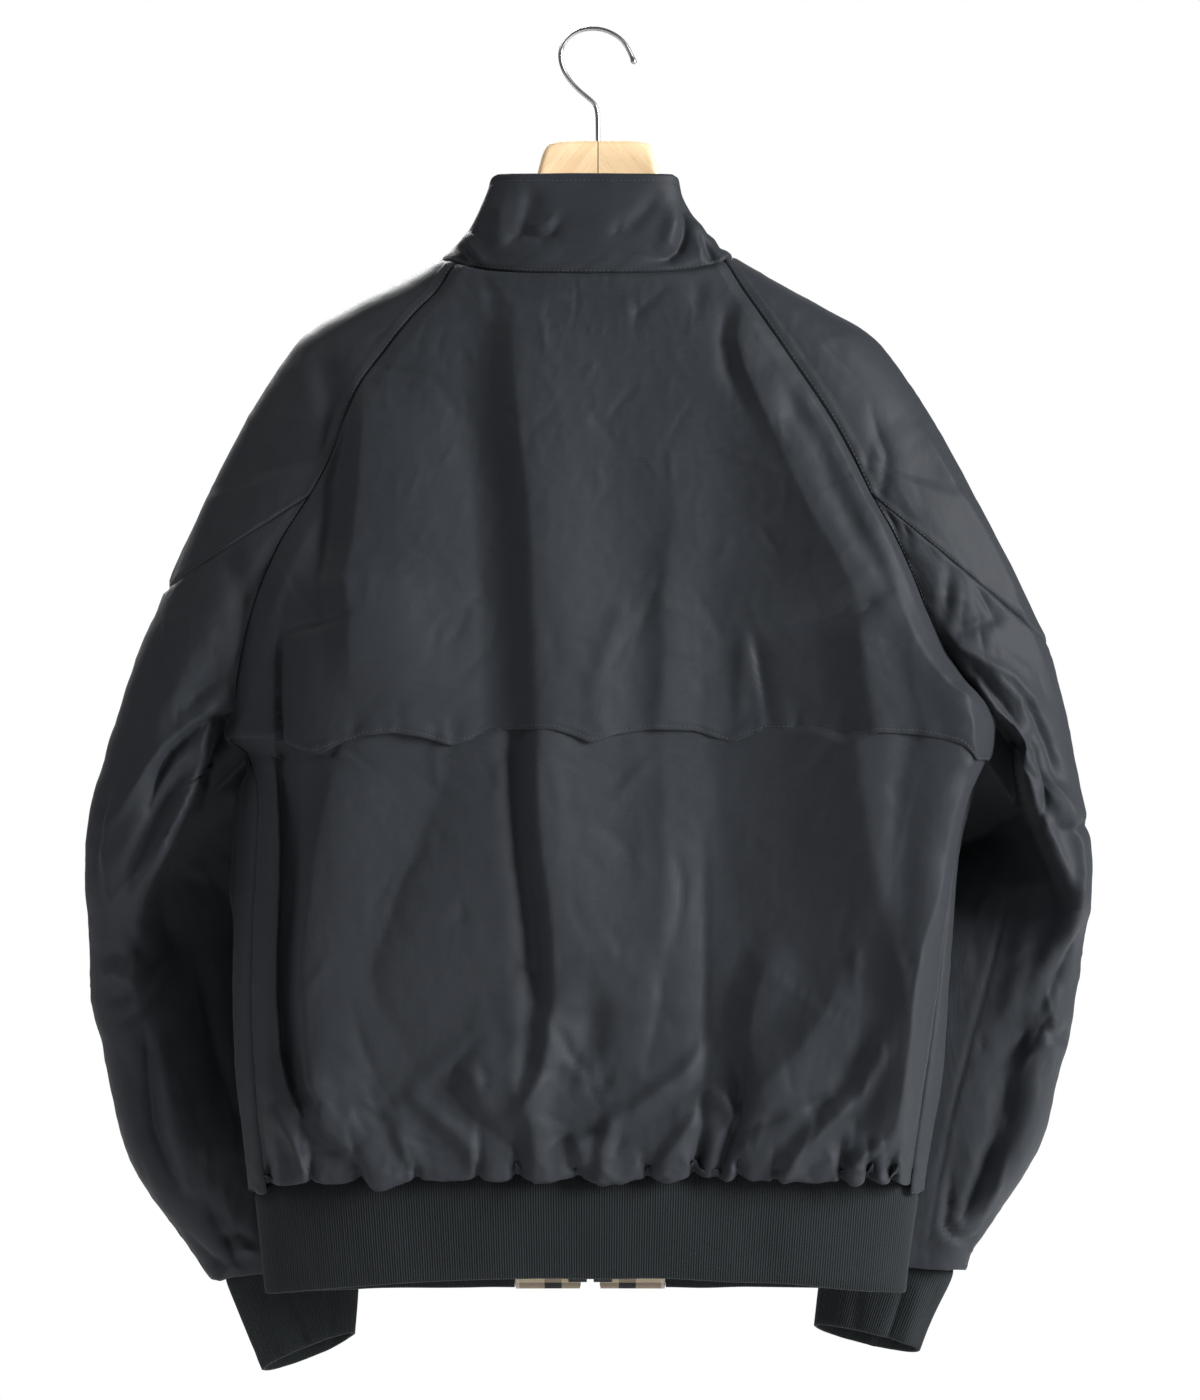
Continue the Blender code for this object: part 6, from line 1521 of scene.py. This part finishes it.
rel += -0.9 * np.exp(-(cr / 1.4) ** 2) + 0.4 * np.exp(-((cr - 4) / 3.0) ** 2)
rel += (0.45 * noise2(cc / 9.0, cr / 30.0, 411) + 0.25 * noise2(cc / 4.0, cr / 20.0, 412)) * np.exp(-(cr / 12.0))
top_d = cr[-1:] - cr
rel += -0.45 * np.exp(-((top_d - 4.0) / 1.1) ** 2) + 0.25 * noise2(cc / 12.0, top_d / 20.0, 415) * np.exp(-(top_d / 10.0))
rel += 0.8 * (noise2(cc / 45.0, cr / 22.0, 431)) * step01(cr / 8)
col1 = col0 + ncl * rel[..., None]
col1[..., 2] += (0.9 * noise2(cc / 38.0, np.zeros_like(cc), 441) * hs[:, None] ** 2)
nc1 = grid_normals(col1, ref_c)
obj = sheet_mesh("collar_stand", col1, ncl, 2.4, SHELL, lining=CHECK)
finish_sheet(obj, col0, ["collar"])
add_stitches(*line_across(col1, nc1, range(2, COLS_C - 2), 2.4, False))
add_stitches(*line_across(col1, nc1, range(2, COLS_C - 2), 4.0, True))

# ---------------------------------------------------------------- rib knit
tab_turn = {}
for side in "lr":
    wide = HEM_LEFT if side == "l" else HEM_RIGHT
    tab_turn[side] = 1 - math.asin((FRONT_OPENING + TAB_WIDTH) / wide) / math.pi
TURNS = np.linspace(-tab_turn["l"], tab_turn["r"], 6000)
hv = np.linspace(0, 1, 9)
probe = hem_surface(0.5, TURNS)
arc = np.concatenate([[0], np.cumsum(np.linalg.norm(np.diff(probe, axis=0), axis=1))])
N_RIB = 1705
even_turn = np.interp(np.linspace(0, arc[-1], N_RIB), arc, TURNS)
h0 = hem_surface(hv[:, None], even_turn[None, :])
h0[0, :, 2] += 5.0
h0[0, :, :2] += (h0[2, :, :2].mean(axis=0) * 0 + np.array([CENTRE_U, 0.0]) - h0[0, :, :2]) * np.array([0.012, 0.06])
nh = grid_normals(h0, h0.mean(axis=1, keepdims=True))
ha, hr = lengths(h0, 1), lengths(h0, 0)
count = arc[-1] / (RIB_PITCH * 1000)
phase = np.linspace(0, count, N_RIB)[None, :] * np.ones((9, 1))
wave = 0.26 * np.cos(2 * np.pi * phase)
sway = 1.1 * noise2(ha / 62.0, hr / 90.0, 511) + 0.5 * noise2(ha / 24.0, hr / 50.0, 512)
ends = step01(np.minimum(ha, ha[:, -1:] - ha) / 25.0)
sway = sway * ends * step01(hr / 14.0) * np.where(hr > 0, 1, 1)
body_rel = wave + sway - 1.2 * np.exp(-(hr / 2.2) ** 2) + 0.8 * np.exp(-((hr[-1:] - hr) / 5.0) ** 2) * 0
h1 = h0 + nh * body_rel[..., None]
h1[..., 2] += 0.5 * noise2(ha / 40.0, np.zeros_like(ha), 521) * (hr / 60.0) * ends
nh1 = grid_normals(h0 + nh * sway[..., None], h0.mean(axis=1, keepdims=True))
obj = sheet_mesh("hem_rib_band", h1, nh1, 2.4, RIB, uv=np.stack([phase, hr * MM], -1))
finish_sheet(obj, h0, ["hem_rib"])

CUFF_STROKES = {
    "l": (("fold", "c", -2.6, 5, 6, ((288, 1290, .7), (297, 1316, 1), (307, 1342, 1))),
          ("fold crest", "s", 1.6, 7, 7, ((272, 1288, .6), (280, 1330, 1), (288, 1352, 1))),
          ("fold 2", "s", -1.6, 7, 7, ((330, 1284, .6), (331, 1318, 1), (333, 1348, 1))),
          ("fold 3", "s", -1.2, 6, 6, ((243, 1296, .6), (250, 1330, 1), (256, 1360, 1)))),
    "r": (("fold", "c", -2.4, 5, 6, ((904, 1286, .7), (897, 1312, 1), (887, 1342, 1))),
          ("fold crest", "s", 1.6, 7, 7, ((920, 1290, .6), (910, 1325, 1), (902, 1350, 1))),
          ("fold 2", "s", -1.4, 7, 7, ((858, 1290, .6), (856, 1318, 1), (853, 1340, 1))),
          ("fold 3", "s", -1.2, 6, 6, ((936, 1290, .6), (928, 1320, 1), (920, 1350, 1)))),
}
for side, word in (("l", "left"), ("r", "right")):
    rows_q = np.linspace(0, 2, 14)
    sq = np.linspace(0, 1, 6000)
    probe = cuff_surface(side, 1.0, sq)
    arc = np.concatenate([[0], np.cumsum(np.linalg.norm(np.diff(probe, axis=0), axis=1))])
    n_c = 400
    se = np.interp(np.linspace(0, arc[-1], n_c), arc, sq)
    q0 = cuff_surface(side, rows_q[:, None], se[None, :])
    q0[0] += (q0[1] - q0[0]) * 0.2
    ref = q0.mean(axis=1, keepdims=True)
    nq = grid_normals(q0, ref, 0)
    qa, qr = lengths(q0, 1), lengths(q0, 0)
    ribs = round(arc[-1] / (RIB_PITCH * 1000))
    phase = np.linspace(0, ribs, n_c)[None, :] * np.ones((14, 1))
    qx, qy = px(q0)
    rear = 1 - step01((se[None, :] - 0.46) / 0.08)
    fold = strokes(qx, qy, CUFF_STROKES[side]) * rear + strokes(2 * MID_X - qx, qy, CUFF_STROKES["r" if side == "l" else "l"]) * (1 - rear)
    seam_fade = step01(np.minimum(qa, qa[:, -1:] - qa) / 6.0)
    sway = (fold + 0.7 * noise2(qa / 26.0, qr / 40.0, 531 + len(word))) * seam_fade * step01(qr / 8.0)
    q1 = q0 + nq * (sway + 0.26 * np.cos(2 * np.pi * phase) - 0.9 * np.exp(-(qr / 2.0) ** 2))[..., None]
    nq1 = grid_normals(q0 + nq * sway[..., None], ref, 0)
    obj = sheet_mesh("cuff_band_" + word, q1, nq1, 2.2, RIB, uv=np.stack([phase, qr * MM], -1))
    finish_sheet(obj, q0, ["cuff_" + word])

# ---------------------------------------------------------------- hem tabs and their lining
for side, word, sign in (("l", "left", -1), ("r", "right", 1)):
    wide = HEM_LEFT if side == "l" else HEM_RIGHT
    last = 1 - math.asin(FRONT_OPENING / wide) / math.pi
    turns = sign * np.linspace(tab_turn[side] + 0.0006, last, 30)
    t0 = hem_surface(np.linspace(0, 1, 34)[:, None], turns[None, :])
    t0[0, :, 2] -= 1.2
    ref = t0.mean(axis=1, keepdims=True) + np.array([0, 30.0, 0])
    nt_ = grid_normals(t0, ref)
    ta, tr = lengths(t0, 1), lengths(t0, 0)
    rel = seam_relief(t0, {"first_col": 0, "last_col": 0, "first_row": 0, "last_row": 0}, 601 + len(word))
    rel += 0.35 * noise2(ta / 14, tr / 14, 611) * step01(np.minimum(ta, tr) / 5)
    t1 = t0 + nt_ * rel[..., None]
    nt1 = grid_normals(t1, ref)
    obj = sheet_mesh("hem_tab_panel_" + word, t1, nt1, WALL, SHELL)
    finish_sheet(obj, t0, ["hem_tab_" + word])
    for off in (2.6,):
        add_stitches(*line_across(t1, nt1, range(1, 29), off, True))
        add_stitches(*line_in(t1, nt1, range(1, 33), off, False))
        add_stitches(*line_in(t1, nt1, range(1, 33), off, True))
    l0 = t0 - nt_ * (CLOTH + 0.35)
    l0[:, :, 2] -= 1.3 * np.linspace(0, 1, 34)[:, None]
    l0 = l0 + (l0.mean(axis=1, keepdims=True) - l0) * 0.02
    l1 = l0 + nt_ * (0.15 * noise2(ta / 9, tr / 9, 621))[..., None]
    obj = sheet_mesh("tab_lining_panel_" + word, l1, nt_, 0.7, CHECK)
    finish_sheet(obj, l0, ["tab_lining_" + word])

# ---------------------------------------------------------------- zip
zip_v = np.concatenate([[0.15], np.linspace(0.6, 23, 150)])
zip_edge = front_surface("l", zip_v, 1.0)
line_z = np.concatenate([zip_edge[:, 2], [-745.0, -760.0, -775.0, -790.0, -803.0]])
line_d = np.concatenate([zip_edge[:, 1], [-36.8, -36.7, -36.6, -36.6, -36.6]])
near_end = (line_z < -715) & (line_z > -741)
line_d[near_end] = np.interp(-line_z[near_end], (715, 741), (np.interp(715, -line_z, line_d), -36.9))
for word, first, last in (("left", -14.0, -2.2), ("right", 2.2, 14.0)):
    us = CENTRE_U + np.linspace(first, last, 7)
    t0 = np.stack([np.stack([np.full(line_z.shape, u), line_d + CLOTH + 0.8, line_z], -1) for u in us], 1)
    n_t = grid_normals(t0, t0 + np.array([0, 50.0, 0]))
    obj = sheet_mesh("zip_tape_strip_" + word, t0, n_t, 0.8, TAPE)
    finish_sheet(obj, t0, ["zip_tape_" + word])

run = np.concatenate([[0], np.cumsum(np.hypot(np.diff(line_z), np.diff(line_d)))])
tooth_verts, tooth_faces = [], []
at = np.arange(run[1] + 10.0, run[-1] - 3.0, 1.15)
for i, a in enumerate(at):
    zc, dc = np.interp(a, run, line_z), np.interp(a, run, line_d) + 0.6
    side = -1 if i % 2 else 1
    base = len(tooth_verts)
    root, tip = side * 2.9, -side * 0.9
    hz, hd = 0.62, 0.95
    for du, kz, kd in ((root, 1.0, 1.0), (side * 1.0, 0.85, 1.0), (tip, 0.62, 0.8)):
        for sz, sd in ((-1, -1), (1, -1), (1, 1), (-1, 1)):
            tooth_verts.append((-(CENTRE_U + du) * MM, (dc + sd * hd * kd) * MM, (zc + sz * hz * kz) * MM))
    for lvl in (0, 1):
        for k in range(4):
            j = (k + 1) % 4
            tooth_faces.append((base + lvl * 4 + k, base + lvl * 4 + j, base + lvl * 4 + 4 + j, base + lvl * 4 + 4 + k))
    tooth_faces.append((base + 3, base + 2, base + 1, base))
    tooth_faces.append((base + 8, base + 9, base + 10, base + 11))


def plain_mesh(name, verts, faces, mat, smooth_angle=None):
    mesh = bpy.data.meshes.new(name)
    mesh.from_pydata([tuple(v) for v in verts], [], faces)
    bm = bmesh.new()
    bm.from_mesh(mesh)
    bmesh.ops.recalc_face_normals(bm, faces=bm.faces)
    bm.to_mesh(mesh)
    bm.free()
    mesh.materials.append(mat)
    if smooth_angle is not None:
        mesh.shade_smooth()
        mesh.set_sharp_from_angle(angle=math.radians(smooth_angle))
    o = bpy.data.objects.new(name, mesh)
    PIECES.objects.link(o)
    return o


teeth = plain_mesh("zip_teeth", tooth_verts, tooth_faces, ZIP)
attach(teeth, ROOT)
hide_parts("zip_chain")
for name in ("zip_slider", "zip_pull_tab"):
    kept = frame["nodes"][name]
    for s in kept.material_slots:
        s.material = ZIP

# ---------------------------------------------------------------- topstitching in one piece
stitching = plain_mesh("topstitching", [tuple(world(np.array(v))) for v in STITCHES["verts"]], STITCHES["faces"], THREAD, 50)
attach(stitching, ROOT)

# ---------------------------------------------------------------- hanger
us = np.concatenate([np.linspace(0.3, 31, 6), np.linspace(32, 60, 22), np.linspace(64, 186, 48)])


def arm_profile(key):
    raw = np.interp(us, ARMS_T["u"], ARMS_T[key])
    out = raw.copy()
    for i, u in enumerate(us):
        r = 3.0 if u < 60 else 9.0
        near = np.linspace(max(u - r, 0.3), min(u + r, 186), 9)
        w = np.exp(-((near - u) / r * 1.4) ** 2)
        out[i] = (np.interp(near, ARMS_T["u"], ARMS_T[key]) * w).sum() / w.sum()
    return out


SECT = 48
for word, sign in (("left", -1), ("right", 1)):
    hi, lo, half = arm_profile("top"), arm_profile("bottom"), arm_profile("half")
    end = np.clip((us - 172) / 14.0, 0, 1)
    shrink = np.sqrt(np.clip(1 - end ** 2.2, 0.03, 1))
    ang = 2 * np.pi * (np.arange(SECT) + 0.5) / SECT
    c, s = np.cos(ang), np.sin(ang)
    pw = np.where(us < 40, 0.42, 0.42 + 0.2 * np.clip((us - 40) / 25, 0, 1))[:, None]
    cz, hz = ((hi + lo) / 2)[:, None], ((hi - lo) / 2 * (0.35 + 0.65 * shrink))[:, None]
    d = (half * (0.35 + 0.65 * shrink))[:, None] * np.sign(c) * np.abs(c) ** pw
    z = cz + hz * np.sign(s) * np.abs(s) ** pw
    u = np.broadcast_to(sign * us[:, None], d.shape)
    rows = np.stack([u, d, z], -1)
    pts = world(rows)
    k = len(us)
    faces = []
    for i in range(k - 1):
        for m in range(SECT):
            j = (m + 1) % SECT
            faces.append((i * SECT + m, i * SECT + j, (i + 1) * SECT + j, (i + 1) * SECT + m))
    verts = list(map(tuple, pts.reshape(-1, 3)))
    tip = world(np.array([sign * 187.2, 0.0, float((hi[-1] + lo[-1]) / 2)]))
    verts.append(tuple(tip))
    for m in range(SECT):
        faces.append((k * SECT, (k - 1) * SECT + m, (k - 1) * SECT + (m + 1) % SECT))
    faces.append(tuple(range(SECT))[::-1])
    wood = plain_mesh("wooden_arm_" + word, verts, faces, WOOD[word], 38)
    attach(wood, ROOT)
    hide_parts("hanger_arm_" + word)

# hook wire
knots = np.array(HOOK, float)
chord = np.concatenate([[0], np.cumsum(np.linalg.norm(np.diff(knots, axis=0), axis=1))])


def along_wire(t):
    i = int(np.clip(np.searchsorted(chord, t) - 1, 0, len(knots) - 2))
    p1, p2 = knots[i], knots[i + 1]
    p0 = knots[i - 1] if i else 2 * p1 - p2
    p3 = knots[i + 2] if i + 2 < len(knots) else 2 * p2 - p1
    h = chord[i + 1] - chord[i]
    f = (t - chord[i]) / h
    m1 = (p2 - p0) / (h + (chord[i] - chord[i - 1] if i else h)) * h
    m2 = (p3 - p1) / (h + (chord[i + 2] - chord[i + 1] if i + 2 < len(knots) else h)) * h
    return p1 * (1 + 2 * f) * (1 - f) ** 2 + m1 * f * (1 - f) ** 2 + p2 * f * f * (3 - 2 * f) + m2 * f * f * (f - 1)


ts = np.linspace(0, chord[-1], 150)
path = np.array([along_wire(t) for t in ts])
for _ in range(10):
    path[1:-1] = path[1:-1] * 0.5 + (path[2:] + path[:-2]) * 0.25
tan = np.gradient(path, axis=0)
tan /= np.linalg.norm(tan, axis=1, keepdims=True)
left_ = np.stack([-tan[:, 1], tan[:, 0]], -1)
radius = np.full(len(ts), HOOK_WIRE / 2)
to_tip = chord[-1] - ts
radius += 0.55 * np.exp(-((to_tip - 2.2) / 1.6) ** 2)
radius *= np.sqrt(np.clip(1 - np.clip((1.5 - to_tip) / 1.5, 0, 0.985) ** 2, 0, 1))
SEG = 28
ring_pts = []
for k in range(len(ts)):
    a = 2 * np.pi * np.arange(SEG) / SEG
    uu = path[k, 0] + left_[k, 0] * np.cos(a) * radius[k]
    zz = path[k, 1] + left_[k, 1] * np.cos(a) * radius[k]
    ring_pts.append(np.stack([uu, np.sin(a) * radius[k], zz], -1))
pts = world(np.array(ring_pts))
faces = []
for i in range(len(ts) - 1):
    for m in range(SEG):
        j = (m + 1) % SEG
        faces.append((i * SEG + m, i * SEG + j, (i + 1) * SEG + j, (i + 1) * SEG + m))
faces.append(tuple(range(SEG))[::-1])
faces.append(tuple((len(ts) - 1) * SEG + m for m in range(SEG)))
hook = plain_mesh("hook_wire", pts.reshape(-1, 3), faces, CHROME, 50)
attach(hook, ROOT)
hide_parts("hanger_hook")

# ---------------------------------------------------------------- floor, light and camera
floor_mesh = bpy.data.meshes.new("floor")
floor_mesh.from_pydata([(-2.2, -1.8, FLOOR_Z), (2.2, -1.8, FLOOR_Z), (2.2, 2.6, FLOOR_Z), (-2.2, 2.6, FLOOR_Z)], [], [(0, 1, 2, 3)])
floor = bpy.data.objects.new("floor", floor_mesh)
bpy.context.scene.collection.objects.link(floor)
white, _n, _b2 = material("floor_white", (0.86, 0.86, 0.86), 0.9, Specular_IOR_Level=0.0)
floor_mesh.materials.append(white)

scene = bpy.context.scene
sky = bpy.data.worlds.new("studio")
sky.use_nodes = True
back_node = sky.node_tree.nodes["Background"]
back_node.inputs["Color"].default_value = (1, 1, 1, 1)
path_node = sky.node_tree.nodes.new("ShaderNodeLightPath")
level = sky.node_tree.nodes.new("ShaderNodeMath")
level.operation = "MULTIPLY_ADD"
level.inputs[1].default_value = 1.0 - AMBIENT
level.inputs[2].default_value = AMBIENT
sky.node_tree.links.new(path_node.outputs["Is Camera Ray"], level.inputs[0])
sky.node_tree.links.new(level.outputs[0], back_node.inputs["Strength"])
scene.world = sky


def area_light(name, place, aim, size, power, colour=(1, 1, 1)):
    data = bpy.data.lights.new(name, "AREA")
    data.shape = "RECTANGLE"
    data.size, data.size_y = size
    data.energy = power
    data.color = colour
    lamp = bpy.data.objects.new(name, data)
    lamp.location = place
    direction = Vector(aim) - Vector(place)
    lamp.rotation_euler = direction.to_track_quat("-Z", "Y").to_euler()
    scene.collection.objects.link(lamp)
    return lamp


for spec in LIGHTS:
    area_light(*spec)

cam_data = bpy.data.cameras.new("camera")
cam_data.sensor_width = 36
cam_data.sensor_fit = "AUTO"
cam_data.lens = 36 * 5.0 / 0.896
cam_data.clip_end = 100
camera = bpy.data.objects.new("camera", cam_data)
camera.location = (-0.00128, 5.0, -0.42816)
camera.rotation_euler = (math.radians(90), 0, math.radians(180))
scene.collection.objects.link(camera)
scene.camera = camera
scene.view_settings.view_transform = "Standard"
scene.view_settings.look = "None"
